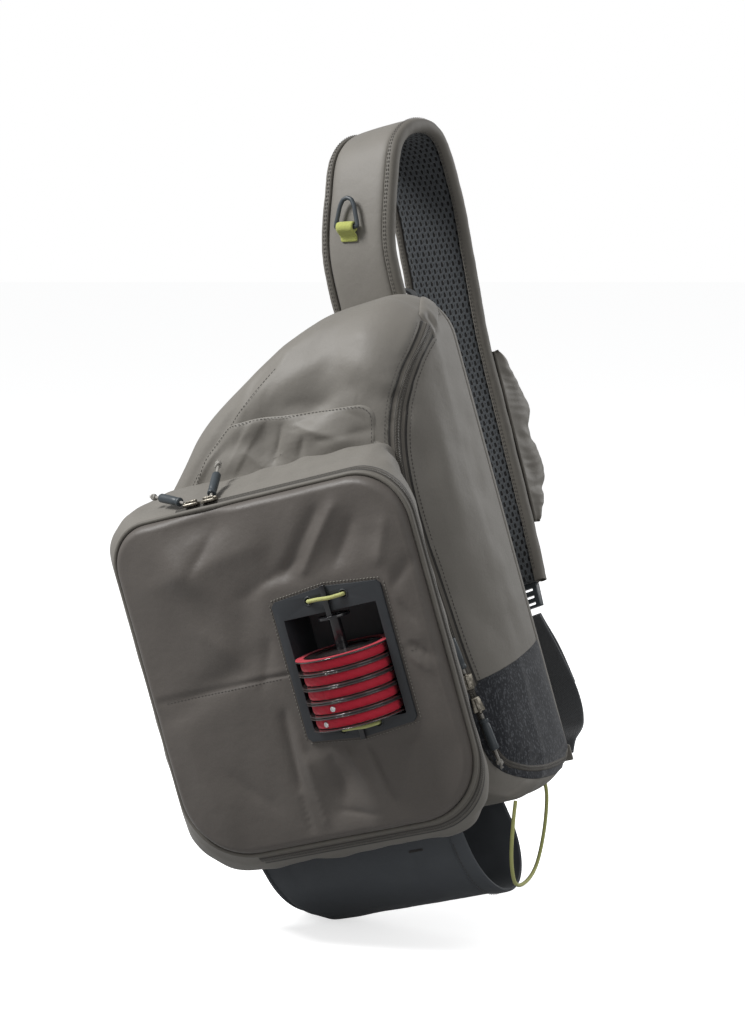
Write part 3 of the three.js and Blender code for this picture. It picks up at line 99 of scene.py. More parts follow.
@dataclass(frozen=True)
class Route:
    """A smooth centripetal curve through points."""

    knots: np.ndarray

    def point(self, t: float) -> np.ndarray:
        """Returns the point at a parameter that takes each span in equal time.

        Args:
            t: From 0 at the first knot to 1 at the last.

        Returns:
            The point.
        """
        k = self.knots
        spans = len(k) - 1
        at = min(max(t, 0.0), 1.0) * spans
        i = min(int(at), spans - 1)
        w = at - i
        p1, p2 = k[i], k[i + 1]
        p0 = k[i - 1] if i > 0 else 2 * k[0] - k[1]
        p3 = k[i + 2] if i + 2 <= spans else 2 * k[-1] - k[-2]
        d0, d1, d2 = (max(float(np.dot(b - a, b - a)) ** 0.25, 1e-4)
                      for a, b in ((p0, p1), (p1, p2), (p2, p3)))
        m1 = ((p1 - p0) / d0 - (p2 - p0) / (d0 + d1) + (p2 - p1) / d1) * d1
        m2 = ((p2 - p1) / d1 - (p3 - p1) / (d1 + d2) + (p3 - p2) / d2) * d1
        return (p1 + m1 * w + (-3 * p1 + 3 * p2 - 2 * m1 - m2) * w ** 2
                + (2 * p1 - 2 * p2 + m1 + m2) * w ** 3)

    def dense(self, count: int = 400) -> np.ndarray:
        """Returns many points along the curve."""
        return np.array([self.point(i / count) for i in range(count + 1)])

    def evenly(self, count: int, start: float = 0.0, end: float = 1.0) -> np.ndarray:
        """Returns points at equal distances along the curve.

        Args:
            count: Number of points.
            start: Share of the length at which the first lies.
            end: Share of the length at which the last lies.

        Returns:
            The points, one per row.
        """
        line = self.dense()
        run = np.concatenate([[0.0], np.cumsum(np.linalg.norm(np.diff(line, axis=0), axis=1))])
        want = np.linspace(start, end, count) * run[-1]
        return np.stack([np.interp(want, run, line[:, c]) for c in range(line.shape[1])], axis=1)


@dataclass(frozen=True)
class Corner:
    """A rounded corner of an outline in the XZ plane, and the side that follows it."""

    x: float
    z: float
    radius: float
    roll: float
    arc: int
    steps: int


def rounded(corners: Sequence[Corner], insets: Sequence[float], heights: Sequence[float]) -> np.ndarray:
    """Returns a closed outline moved inwards by a distance for each of its sides.

    Args:
        corners: The corners, anticlockwise from the lower left.
        insets: How far each side moves inwards.
        heights: The y value of each side.

    Returns:
        Rows of x, y and z.
    """
    count = len(corners)
    at = np.array([[c.x, c.z] for c in corners])
    run = unit(np.roll(at, -1, axis=0) - at)
    out = np.stack([run[:, 1], -run[:, 0]], axis=1)
    moved = []
    for i in range(count):
        p = at[i] - out[i - 1] * insets[i - 1]
        q = at[i] - out[i] * insets[i]
        gap = q - p
        cross = run[i - 1][0] * run[i][1] - run[i - 1][1] * run[i][0]
        moved.append(p + run[i - 1] * (gap[0] * run[i][1] - gap[1] * run[i][0]) / cross)
    ends = []
    for i, corner in enumerate(corners):
        turn = math.acos(float(np.clip(np.dot(run[i - 1], run[i]), -1, 1)))
        shortest = min(np.linalg.norm(moved[i] - moved[(i + 1) % count]),
                       np.linalg.norm(moved[i] - moved[i - 1]))
        radius = max(corner.radius - max(insets[i - 1], insets[i], 0), 3.0)
        reach = min(radius * math.tan(turn / 2), shortest * 0.45)
        ends.append((turn, reach, reach / math.tan(turn / 2)))
    rows = []
    for i, corner in enumerate(corners):
        turn, reach, radius = ends[i]
        start = moved[i] - run[i - 1] * reach
        hub = start + np.array([-run[i - 1][1], run[i - 1][0]]) * radius
        for k in range(corner.arc + 1):
            a = turn * k / corner.arc
            d = start - hub
            x = hub[0] + d[0] * math.cos(a) - d[1] * math.sin(a)
            z = hub[1] + d[0] * math.sin(a) + d[1] * math.cos(a)
            rows.append((x, mix(heights[i - 1], heights[i], k / corner.arc), z))
        first = moved[i] + run[i] * reach
        last = moved[(i + 1) % count] - run[i] * ends[(i + 1) % count][1]
        for k in range(1, corner.steps):
            p = mix(first, last, k / corner.steps)
            rows.append((p[0], heights[i], p[1]))
    return np.array(rows)


@dataclass(frozen=True)
class Fold:
    """A soft crease or dent of a panel, in shares of the panel's size."""

    across: float
    up: float
    turn: float
    long: float
    wide: float
    deep: float

    def depth(self, across: Any, up: Any, aspect: float) -> Any:
        """Returns the depth of the fold at places on its panel."""
        a = math.radians(self.turn)
        dx = (across - self.across) / 2
        dz = (up - self.up) * aspect
        along = (dx * math.cos(a) + dz * math.sin(a)) / self.long
        aside = (dz * math.cos(a) - dx * math.sin(a)) / self.wide
        return self.deep * np.exp(-along * along - aside * aside)


@dataclass(frozen=True)
class Crease:
    """A fold that runs between two places on the cloth, in the bag's millimetres."""

    start: tuple[float, float, float]
    end: tuple[float, float, float]
    wide: float
    deep: float
    force: float = 1.2

    def depth(self, points: np.ndarray) -> np.ndarray:
        """Returns the depth of the fold at points, inwards positive."""
        a, b = np.array(self.start), np.array(self.end)
        run = b - a
        share = np.clip(((points - a) @ run) / float(run @ run), 0.0, 1.0)
        off = points - a - share[..., None] * run
        near = np.sqrt(np.sum(off * off, axis=-1) / self.wide ** 2 + 0.03) - 0.17
        return self.deep * self.force * np.exp(-1.7 * near) * (0.55 + 0.45 * np.sin(math.pi * share) ** 0.5)


def ripple(points: np.ndarray, size: float, seed: float, stretch: Point = (1, 1, 1)) -> np.ndarray:
    """Returns smooth noise from -1 to 1 at points, the same in every run.

    Args:
        points: Points in millimetres.
        size: Distance over which the noise changes.
        seed: Picks one pattern of noise.
        stretch: How much the pattern is drawn out along each axis.

    Returns:
        One value per point, in the shape of the points without their last axis.
    """
    flat = points.reshape(-1, 3) / (size * np.asarray(stretch, float)) + seed
    values = np.array([noise.noise(Vector(p)) for p in flat])
    return values.reshape(points.shape[:-1])


def grid_normals(grid: Grid, loop: bool) -> Grid:
    """Returns the unit normals of a grid of points."""
    if loop:
        across = np.roll(grid, -1, axis=1) - np.roll(grid, 1, axis=1)
    else:
        across = np.gradient(grid, axis=1)
    return unit(np.cross(np.gradient(grid, axis=0), across))


# Modelling


class Bench:
    """Makes pieces with Blender's modelling operators and keeps them in the frame."""

    def __init__(self) -> None:
        """Starts with nothing made."""
        self.made: list[bpy.types.Object] = []

    @staticmethod
    def clear() -> None:
        """Deselects everything."""
        if bpy.context.object and bpy.context.object.mode != "OBJECT":
            bpy.ops.object.mode_set(mode="OBJECT")
        bpy.ops.object.select_all(action="DESELECT")

    def pick(self, piece: bpy.types.Object) -> bpy.types.Object:
        """Selects one piece alone and makes it active."""
        self.clear()
        piece.select_set(True)
        bpy.context.view_layer.objects.active = piece
        return piece

    def named(self, name: str) -> bpy.types.Object:
        """Names the piece that was just added and returns it."""
        piece = bpy.context.object
        piece.name = piece.data.name = name
        return piece

    def settle(self, piece: bpy.types.Object) -> bpy.types.Object:
        """Moves a piece's place into its mesh."""
        self.pick(piece)
        bpy.ops.object.transform_apply(location=True, rotation=True, scale=True)
        return piece

    def sheet(self, name: str, grid: Grid, loop: bool = False, outward: Point | None = None,
              size: tuple[float, float] = (1.0, 1.0), close: bool = False) -> bpy.types.Object:
        """Makes a sheet from a grid primitive whose points are set out in rows.

        Args:
            name: Name of the piece.
            grid: Points in the bag's millimetres, rows by columns by three.
            loop: Whether the last column joins the first.
            outward: A point on the hidden side of the sheet, to turn its faces away from.
            size: Width and length in metres that the UV map spans.
            close: Whether the last row closes at one point.

        Returns:
            The new piece.
        """
        if loop:
            grid = np.concatenate([grid, grid[:, :1]], axis=1)
        rows, columns = grid.shape[:2]
        self.clear()
        bpy.ops.mesh.primitive_grid_add(x_subdivisions=columns - 1, y_subdivisions=rows - 1, size=1)
        piece = self.named(name)
        mesh = piece.data
        if len(mesh.vertices) != rows * columns:
            raise ValueError(f"{name}: grid of {len(mesh.vertices)} points for {rows} by {columns}")
        mesh.vertices.foreach_set("co", in_frame(grid).astype(np.float32).ravel())
        layer = mesh.uv_layers.active.data
        flat = np.empty(len(layer) * 2, np.float32)
        layer.foreach_get("uv", flat)
        flat = flat.reshape(-1, 2) * np.array(size, np.float32)
        layer.foreach_set("uv", flat.ravel())
        mesh.update()
        if outward is not None:
            middle = in_frame(grid[rows // 2, columns // 3])
            side = self.normal_at(mesh, middle)
            if side.dot(Vector(middle - in_frame(outward))) < 0:
                mesh.flip_normals()
        if loop or close:
            self.pick(piece)
            bpy.ops.object.mode_set(mode="EDIT")
            bpy.ops.mesh.select_all(action="SELECT")
            bpy.ops.mesh.remove_doubles(threshold=1e-5)
            bpy.ops.object.mode_set(mode="OBJECT")
        self.smooth(piece)
        return piece

    @staticmethod
    def normal_at(mesh: bpy.types.Mesh, place: np.ndarray) -> Vector:
        """Returns the normal of the face whose middle is nearest a place."""
        centres = np.empty(len(mesh.polygons) * 3, np.float32)
        mesh.polygons.foreach_get("center", centres)
        near = int(np.argmin(np.linalg.norm(centres.reshape(-1, 3) - place, axis=1)))
        return mesh.polygons[near].normal.copy()

    def smooth(self, piece: bpy.types.Object, angle: float | None = None) -> None:
        """Shades a piece smooth, or smooth only where its faces meet below an angle."""
        self.pick(piece)
        if angle is None:
            bpy.ops.object.shade_smooth()
        else:
            bpy.ops.object.shade_smooth_by_angle(angle=math.radians(angle))

    def apply(self, piece: bpy.types.Object, kind: str, **values: Any) -> None:
        """Adds a modifier with its values to a piece and applies it."""
        self.pick(piece)
        modifier = piece.modifiers.new(kind.lower(), kind)
        for key, value in values.items():
            setattr(modifier, key, value)
        bpy.ops.object.modifier_apply(modifier=modifier.name)

    def thicken(self, piece: bpy.types.Object, wall: float, edge: bool = True) -> None:
        """Gives a sheet a wall, inwards from its face, in millimetres."""
        self.apply(piece, "SOLIDIFY", thickness=wall / 1000, offset=-1.0, use_rim=edge,
                   use_even_offset=False)

    def cylinder(self, name: str, radius: float, low: float, high: float,
                 sides: int = 48) -> bpy.types.Object:
        """Adds an upright cylinder about the Z axis, in metres from the frame's origin."""
        self.clear()
        bpy.ops.mesh.primitive_cylinder_add(
            vertices=sides, radius=radius / 1000, depth=(high - low) / 1000,
            location=(0, 0, (low + high) / 2000))
        return self.settle(self.named(name))

    def block(self, name: str, low: Point, high: Point) -> bpy.types.Object:
        """Adds a block between two corners given in millimetres about the frame's origin."""
        self.clear()
        middle = [(a + b) / 2000 for a, b in zip(low, high)]
        bpy.ops.mesh.primitive_cube_add(size=1, location=middle)
        piece = self.named(name)
        piece.scale = [(b - a) / 1000 for a, b in zip(low, high)]
        return self.settle(piece)

    def choose(self, piece: bpy.types.Object, wanted: Callable[[bpy.types.MeshPolygon], bool]) -> int:
        """Selects the faces that a test accepts and returns how many there are."""
        self.pick(piece)
        bpy.ops.object.mode_set(mode="EDIT")
        bpy.ops.mesh.select_mode(type="FACE")
        bpy.ops.mesh.select_all(action="DESELECT")
        bpy.ops.object.mode_set(mode="OBJECT")
        count = 0
        for face in piece.data.polygons:
            face.select = bool(wanted(face))
            count += face.select
        return count

    def edit(self, piece: bpy.types.Object, *steps: Callable[[], Any]) -> None:
        """Runs operators on a piece's selected faces in edit mode."""
        bpy.context.view_layer.objects.active = piece
        bpy.ops.object.mode_set(mode="EDIT")
        for step in steps:
            step()
        bpy.ops.object.mode_set(mode="OBJECT")

    def place(self, piece: bpy.types.Object, origin: Point,
              axes: np.ndarray | None = None) -> bpy.types.Object:
        """Moves a piece that was made about the origin to its place on the bag.

        Args:
            piece: The piece.
            origin: Where its own origin goes, in the bag's millimetres.
            axes: Its own X, Y and Z as rows, or nothing for the frame's.

        Returns:
            The piece, with its place in its mesh.
        """
        turn = np.eye(4)
        if axes is not None:
            turn[:3, :3] = np.asarray(axes).T
        turn[:3, 3] = in_frame(origin)
        piece.data.transform(Matrix(turn.tolist()))
        piece.data.update()
        return piece

    def copy(self, piece: bpy.types.Object, name: str) -> bpy.types.Object:
        """Returns a copy of a piece with a mesh of its own."""
        other = piece.copy()
        other.data = piece.data.copy()
        other.name = other.data.name = name
        bpy.context.scene.collection.objects.link(other)
        return other

    def from_node(self, node: str, name: str) -> bpy.types.Object:
        """Returns a merged copy of a node's solid."""
        piece = self.copy(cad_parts[node], name)
        self.pick(piece)
        bpy.ops.object.mode_set(mode="EDIT")
        bpy.ops.mesh.select_all(action="SELECT")
        bpy.ops.mesh.remove_doubles(threshold=2e-6)
        bpy.ops.object.mode_set(mode="OBJECT")
        return piece

    def join(self, name: str, pieces: Sequence[bpy.types.Object]) -> bpy.types.Object:
        """Joins pieces into the first of them."""
        self.clear()
        for piece in pieces:
            piece.select_set(True)
        bpy.context.view_layer.objects.active = pieces[0]
        if len(pieces) > 1:
            bpy.ops.object.join()
        return self.named(name)

    def tube(self, name: str, points: Grid, diameter: float, loop: bool = False,
             resolution: int = 5, caps: bool = True) -> bpy.types.Object:
        """Makes a round tube along points, from a curve that is made a mesh.

        Args:
            name: Name of the piece.
            points: Points in the bag's millimetres.
            diameter: Diameter in millimetres.
            loop: Whether the tube closes on itself.
            resolution: Bevel resolution of the curve.
            caps: Whether the ends are closed.

        Returns:
            The mesh piece.
        """
        piece = self.wire(name, points, diameter, loop, resolution, caps)
        self.pick(piece)
        bpy.ops.object.convert(target="MESH")
        return self.named(name)

    def wire(self, name: str, points: Grid, diameter: float, loop: bool = False,
             resolution: int = 5, caps: bool = True) -> bpy.types.Object:
        """Makes a curve of one spline with a round section along points."""
        curve = bpy.data.curves.new(name, "CURVE")
        curve.dimensions = "3D"
        curve.bevel_depth = diameter / 2000
        curve.bevel_resolution = resolution
        curve.use_fill_caps = caps and not loop
        spline = curve.splines.new("POLY")
        spline.points.add(len(points) - 1)
        flat = np.concatenate([in_frame(points), np.ones((len(points), 1))], axis=1)
        spline.points.foreach_set("co", flat.astype(np.float32).ravel())
        spline.use_cyclic_u = loop
        spline.use_smooth = True
        piece = bpy.data.objects.new(name, curve)
        bpy.context.scene.collection.objects.link(piece)
        return piece

    def fit(self, piece: bpy.types.Object, material: bpy.types.Material, slot: str,
            nodes: Iterable[str] = (), body: str = BAG) -> bpy.types.Object:
        """Dresses a piece, names its slot and body, and lets it stand for nodes."""
        piece.data.materials.clear()
        piece.data.materials.append(material)
        if hasattr(piece.data, "polygons"):
            piece.data.polygons.foreach_set("material_index", [0] * len(piece.data.polygons))
        if nodes:
            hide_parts(*nodes)
        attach(piece, body)
        self.made.append(piece)
        LOG.info("made %s", piece.name)
        return piece

    def dashes(self, name: str, starts: Grid, ends: Grid, lift: Grid, thick: float) -> bpy.types.Object:
        """Makes short raised stitches, each a spindle of twelve faces.

        Args:
            name: Name of the piece.
            starts: Where each stitch goes in, in the bag's millimetres.
            ends: Where each comes out.
            lift: Unit directions out of the cloth.
            thick: Thickness of the thread in millimetres.

        Returns:
            The piece that holds them all.
        """
        along = unit(ends - starts)
        aside = unit(np.cross(along, lift))
        points, faces = [], []
        for a, b, s, n in zip(starts, ends, aside, lift):
            base = len(points)
            for share, swell in ((0.0, 0.25), (0.28, 1.0), (0.72, 1.0), (1.0, 0.25)):
                middle = mix(a, b, share) + n * thick * 0.35 * (swell - 0.6)
                for side, rise in ((-1, 0), (0, 1), (1, 0)):
                    points.append(middle + s * side * thick * 0.5 * swell + n * rise * thick * 0.6 * swell)
                points.append(middle - n * thick * 0.3 * swell)
            for k in range(3):
                for j in range(4):
                    p, q = base + 4 * k + j, base + 4 * k + (j + 1) % 4
                    faces.append((p, q, q + 4, p + 4))
            faces.append((base + 3, base + 2, base + 1, base))
            faces.append((base + 12, base + 13, base + 14, base + 15))
        mesh = bpy.data.meshes.new(name)
        mesh.from_pydata(in_frame(np.array(points)).tolist(), [], faces)
        mesh.update()
        piece = bpy.data.objects.new(name, mesh)
        bpy.context.scene.collection.objects.link(piece)
        self.edit_normals(piece)
        self.smooth(piece, 50)
        return piece

    def edit_normals(self, piece: bpy.types.Object) -> None:
        """Turns the faces of closed bodies outwards."""
        self.pick(piece)
        bpy.ops.object.mode_set(mode="EDIT")
        bpy.ops.mesh.select_all(action="SELECT")
        bpy.ops.mesh.normals_make_consistent(inside=False)
        bpy.ops.object.mode_set(mode="OBJECT")

    def seam_stitches(self, name: str, line: Grid, lift: Grid, pitch: float, length: float,
                      thick: float) -> bpy.types.Object:
        """Makes a row of running stitches along a line on the cloth."""
        run = np.concatenate([[0.0], np.cumsum(np.linalg.norm(np.diff(line, axis=0), axis=1))])
        starts = np.arange(pitch, run[-1] - pitch, pitch)

        def at(values: Grid, where: np.ndarray) -> Grid:
            """Returns values read off along the line."""
            return np.stack([np.interp(where, run, values[:, c]) for c in range(3)], axis=1)

        return self.dashes(name, at(line, starts), at(line, starts + length), unit(at(lift, starts)), thick)


class Ground:
    """A made surface that other pieces are laid on."""

    def __init__(self, *pieces: bpy.types.Object) -> None:
        """Keeps a search tree of the pieces' faces."""
        points: list[Vector] = []
        faces: list[tuple[int, ...]] = []
        for piece in pieces:
            base = len(points)
            points.extend(v.co.copy() for v in piece.data.vertices)
            faces.extend(tuple(base + i for i in p.vertices) for p in piece.data.polygons)
        self.tree = BVHTree.FromPolygons(points, faces)

    def lay(self, places: Grid, outward: Grid, lift: Any = 0.0, reach: float = 30.0) -> Grid:
        """Returns places moved onto the surface along their outward directions.

        Args:
            places: Points in the bag's millimetres.
            outward: Directions out of the surface.
            lift: Height above the surface.
            reach: How far outside each place the search starts.

        Returns:
            The points on the surface, or as given where nothing is met.
        """
        shape = places.shape
        flat = places.reshape(-1, 3)
        out = unit(np.broadcast_to(outward, shape).reshape(-1, 3))
        rise = np.broadcast_to(lift, shape[:-1]).reshape(-1)
        done = flat.copy()
        for i, (p, n) in enumerate(zip(flat, out)):
            hit = self.tree.ray_cast(Vector(in_frame(p + n * reach)), Vector(-n), reach * 3 / 1000)
            if hit[0] is not None:
                done[i] = in_bag(np.array(hit[0]))
            done[i] += n * rise[i]
        return done.reshape(shape)


# Finishes


class Value:
    """A socket that carries numbers, on which Python's operators work."""

    def __init__(self, shader: "Shader", socket: bpy.types.NodeSocket) -> None:
        """Wraps a socket of a shader's tree."""
        self.shader = shader
        self.socket = socket

    def math(self, operation: str, *others: Any, first: Any = None) -> "Value":
        """Returns the result of a Math node.

        Args:
            operation: The node's operation.
            others: What follows the first value.
            first: A value that goes first instead of this one, which then goes second.

        Returns:
            The node's result.
        """
        terms = [self, *others] if first is None else [first, self, *others]
        settings = {"operation": operation}
        return self.shader.value("ShaderNodeMath", settings, dict(enumerate(terms)))

    def __add__(self, other: Any) -> "Value":
        """Adds."""
        return self.math("ADD", other)

    __radd__ = __add__

    def __sub__(self, other: Any) -> "Value":
        """Takes away."""
        return self.math("SUBTRACT", other)

    def __rsub__(self, other: Any) -> "Value":
        """Takes this away from a number."""
        return self.math("SUBTRACT", first=other)

    def __mul__(self, other: Any) -> "Value":
        """Multiplies."""
        return self.math("MULTIPLY", other)

    __rmul__ = __mul__

    def __truediv__(self, other: Any) -> "Value":
        """Divides."""
        return self.math("DIVIDE", other)

    def __rtruediv__(self, other: Any) -> "Value":
        """Divides a number by this."""
        return self.math("DIVIDE", first=other)

    def __neg__(self) -> "Value":
        """Changes the sign."""
        return self.math("MULTIPLY", -1.0)

    def __abs__(self) -> "Value":
        """Drops the sign."""
        return self.math("ABSOLUTE")

    def __pow__(self, other: Any) -> "Value":
        """Raises to a power."""
        return self.math("POWER", other)

    def sine(self) -> "Value":
        """Returns the sine."""
        return self.math("SINE")

    def above(self, limit: Any) -> "Value":
        """Returns 1 where this is over a limit and 0 elsewhere."""
        return self.math("GREATER_THAN", limit)

    def ease(self, low: float, high: float) -> "Value":
        """Returns a smooth rise from 0 at one value to 1 at another."""
        return self.shader.value(
            "ShaderNodeMapRange", {"interpolation_type": "SMOOTHSTEP"},
            {"Value": self, "From Min": low, "From Max": high})


class Shader:
    """A material under construction round one Principled shader."""

    def __init__(self, name: str) -> None:
        """Starts an empty material with its shader and output."""
        self.material = bpy.data.materials.new(name)
        self.material.use_nodes = True
        self.tree = self.material.node_tree
        self.tree.nodes.clear()
        self.output = self.tree.nodes.new("ShaderNodeOutputMaterial")
        self.surface = self.tree.nodes.new("ShaderNodeBsdfPrincipled")
        self.tree.links.new(self.surface.outputs["BSDF"], self.output.inputs["Surface"])

    def node(self, kind: str, settings: dict[str, Any], inputs: dict[Any, Any]) -> bpy.types.Node:
        """Adds a node.

        Args:
            kind: The node's type.
            settings: Its own settings, set before its sockets.
            inputs: Values or links for its sockets, by name or number.

        Returns:
            The node.
        """
        made = self.tree.nodes.new(kind)
        for key, value in settings.items():
            if key == "stops":
                ramp = made.color_ramp
                while len(ramp.elements) < len(value):
                    ramp.elements.new(0.5)
                for element, (place, colour) in zip(ramp.elements, value):
                    element.position = place
                    element.color = (*colour, 1.0)
            else:
                setattr(made, key, value)
        for key, value in inputs.items():
            self.feed(made.inputs[key], value)
        return made

    def feed(self, socket: bpy.types.NodeSocket, value: Any) -> None:
        """Links or sets one socket."""
        if isinstance(value, Value):
            value = value.socket
        if isinstance(value, bpy.types.NodeSocket):
            self.tree.links.new(value, socket)
        elif isinstance(value, (tuple, list)) and len(value) == 3 and socket.type == "RGBA":
            socket.default_value = (*value, 1.0)
        else:
            socket.default_value = value

    def value(self, kind: str, settings: dict[str, Any], inputs: dict[Any, Any], output: Any = 0) -> Value:
        """Adds a node and returns one of its outputs as a value."""
        return Value(self, self.node(kind, settings, inputs).outputs[output])

    def object_point(self, turn: float = 0.0) -> tuple[Value, Value, Value]:
        """Returns the object coordinates in millimetres, turned about Y by some degrees."""
        place = self.node("ShaderNodeTexCoord", {}, {}).outputs["Object"]
        mapped = self.node("ShaderNodeMapping", {}, {
            "Vector": place, "Rotation": (0.0, math.radians(turn), 0.0),
            "Scale": (1000.0, 1000.0, 1000.0)})
        split = self.node("ShaderNodeSeparateXYZ", {}, {0: mapped.outputs[0]})
        return tuple(Value(self, s) for s in split.outputs)

    def map_point(self) -> tuple[Value, Value]:
        """Returns the UV map's coordinates in millimetres."""
        place = self.node("ShaderNodeTexCoord", {}, {}).outputs["UV"]
        split = self.node("ShaderNodeSeparateXYZ", {}, {0: place})
        return Value(self, split.outputs[0]) * 1000.0, Value(self, split.outputs[1]) * 1000.0

    def cloth_point(self) -> tuple[Value, Value]:
        """Returns two coordinates in millimetres that lie in the cloth whichever way it faces."""
        x, y, z = self.object_point()
        normal = self.node("ShaderNodeNewGeometry", {}, {}).outputs["True Normal"]
        split = self.node("ShaderNodeSeparateXYZ", {}, {0: normal})
        sideways = abs(Value(self, split.outputs[0])).above(0.7)
        upwards = abs(Value(self, split.outputs[2])).above(0.75)
        return x * (1 - sideways) + y * sideways, z * (1 - upwards) + y * upwards

    def noise(self, size: float, detail: float = 2.0, rough: float = 0.5,
              stretch: Point = (1.0, 1.0, 1.0)) -> Value:
        """Returns noise on the object coordinates.

        Args:
            size: Distance in millimetres over which it changes.
            detail: Number of finer layers.
            rough: Strength of the finer layers.
            stretch: How much it is drawn out along each axis.

        Returns:
            The noise, from 0 to 1.
        """
        place = self.node("ShaderNodeTexCoord", {}, {}).outputs["Object"]
        scale = tuple(1000.0 / size / s for s in stretch)
        mapped = self.node("ShaderNodeMapping", {}, {"Vector": place, "Scale": scale})
        return self.value("ShaderNodeTexNoise", {}, {
            "Vector": mapped.outputs[0], "Scale": 1.0, "Detail": detail, "Roughness": rough})

    def blend(self, factor: Any, first: Any, second: Any) -> bpy.types.NodeSocket:
        """Returns a mix of two colours."""
        made = self.node("ShaderNodeMix", {"data_type": "RGBA"}, {0: factor, 6: first, 7: second})
        return made.outputs[2]

    def bump(self, height: Value, distance: float, strength: float = 1.0,
             under: bpy.types.NodeSocket | None = None) -> bpy.types.NodeSocket:
        """Returns a normal raised by a height.

        Args:
            height: The height, from 0 to 1.
            distance: What a height of one stands for, in millimetres.
            strength: Share of the effect.
            under: A bumped normal that this one lies on.

        Returns:
            The normal.
        """
        inputs: dict[Any, Any] = {"Height": height, "Distance": distance / 1000, "Strength": strength}
        if under is not None:
            inputs["Normal"] = under
        return self.node("ShaderNodeBump", {}, inputs).outputs[0]

    def set(self, **sockets: Any) -> None:
        """Sets or links the surface's sockets, with spaces in their names as underscores."""
        for name, value in sockets.items():
            self.feed(self.surface.inputs[name.replace("_", " ")], value)


@dataclass(frozen=True)
class Cloth:
    """Laminated woven cloth with a soft sheen."""

    colour: Point
    rough: float = 0.62
    pitch: float = 0.75
    weave: float = 0.05
    sheen: float = 0.25
    crumple: float = 0.35
    fade: float = 0.2

    def make(self, name: str) -> bpy.types.Material:
        """Returns the material."""
        s = Shader(name)
        u, v = s.cloth_point()
        turn = 2 * math.pi / self.pitch
        weave = (u * turn).sine() * (v * turn).sine() * 0.5 + 0.5
        fine = s.noise(1.1, 3.0, 0.6)
        wide = s.noise(60.0, 3.0, 0.55)
        patch = s.noise(14.0, 3.0, 0.6)
        dark = tuple(c * (1 - self.fade) for c in self.colour)
        pale = tuple(min(c * (1 + self.fade), 1) for c in self.colour)
        tint = s.blend(wide * 0.4 + patch * 0.2 + fine * 0.4, dark, pale)
        thread = s.blend(weave * 0.35, tint, tuple(c * 0.72 for c in self.colour))
        rumple = s.bump(patch, self.crumple)
        s.set(Base_Color=thread, Roughness=(wide - 0.5) * 0.16 + (fine - 0.5) * 0.1 + self.rough,
              Normal=s.bump(weave * 0.7 + fine * 0.3, self.weave, 0.8, rumple),
              Sheen_Weight=self.sheen, Sheen_Roughness=0.45, Specular_IOR_Level=0.42)
        return s.material


@dataclass(frozen=True)
class Felt:
    """Heathered felt with pale fibres."""

    colour: Point
    fibre: Point

    def make(self, name: str) -> bpy.types.Material:
        """Returns the material."""
        s = Shader(name)
        fine = s.noise(1.7, 3.0, 0.7)
        long = s.noise(1.2, 2.0, 0.6, (1.0, 1.0, 3.0))
        wide = s.noise(5.0, 3.0, 0.6)
        fleck = (long * 0.6 + fine * 0.4).ease(0.5, 0.62)
        tint = s.blend(wide, tuple(c * 0.75 for c in self.colour), tuple(c * 1.25 for c in self.colour))
        s.set(Base_Color=s.blend(fleck * 0.75, tint, self.fibre), Roughness=0.96,
              Normal=s.bump(fine * 0.6 + long * 0.4, 0.35), Sheen_Weight=0.2, Sheen_Roughness=0.6,
              Specular_IOR_Level=0.2)
        return s.material


@dataclass(frozen=True)
class SpacerMesh:
    """Open spacer mesh with staggered holes painted dark as shade, laid out on the piece's own map."""

    colour: Point
    pitch: float = 10.0

    def make(self, name: str) -> bpy.types.Material:
        """Returns the material."""
        s = Shader(name)
        u, v = s.map_point()
        a = (u * (2 * math.pi / self.pitch)).sine()
        b = (v * (2 * math.pi / self.pitch)).sine()
        hole = (a * b).ease(0.12, 0.5) + (a * b * -1).ease(0.62, 0.95) * 0.25
        fine = s.noise(0.7, 2.0, 0.6)
        rib = s.blend(fine, tuple(c * 0.8 for c in self.colour), tuple(c * 1.7 for c in self.colour))
        # painted shade: the holes are coloured almost black, as the shade inside them
        s.set(Base_Color=s.blend(hole, rib, tuple(c * 0.06 for c in self.colour)),
              Roughness=hole * 0.2 + 0.7, Normal=s.bump(1 - hole, 1.1, 1.0, s.bump(fine, 0.15)),
              Sheen_Weight=0.15, Specular_IOR_Level=0.35)
        return s.material


@dataclass(frozen=True)
class Webbing:
    """Flat woven webbing with fine ribs across it."""

    colour: Point
    rib: float = 1.5
    row: float = 2.1
    deep: float = 0.22
    rough: float = 0.82

    def make(self, name: str) -> bpy.types.Material:
        """Returns the material."""
        s = Shader(name)
        u, v = s.map_point()
        slant = ((u + v * 0.8) * (2 * math.pi / self.rib)).sine()
        back = ((u - v * 0.8) * (2 * math.pi / self.rib)).sine()
        lane = (v * (2 * math.pi / self.row / 2)).sine().above(0.0)
        weave = (slant * lane + back * (1 - lane)) * 0.5 + 0.5
        fine = s.noise(0.9, 3.0, 0.6)
        low = tuple(c * 0.55 for c in self.colour)
        s.set(Base_Color=s.blend(weave * 0.8 + fine * 0.2, low, tuple(c * 1.3 for c in self.colour)),
              Roughness=fine * 0.12 + (self.rough - 0.06),
              Normal=s.bump(weave * 0.8 + fine * 0.2, self.deep), Sheen_Weight=0.2, Specular_IOR_Level=0.35)
        return s.material


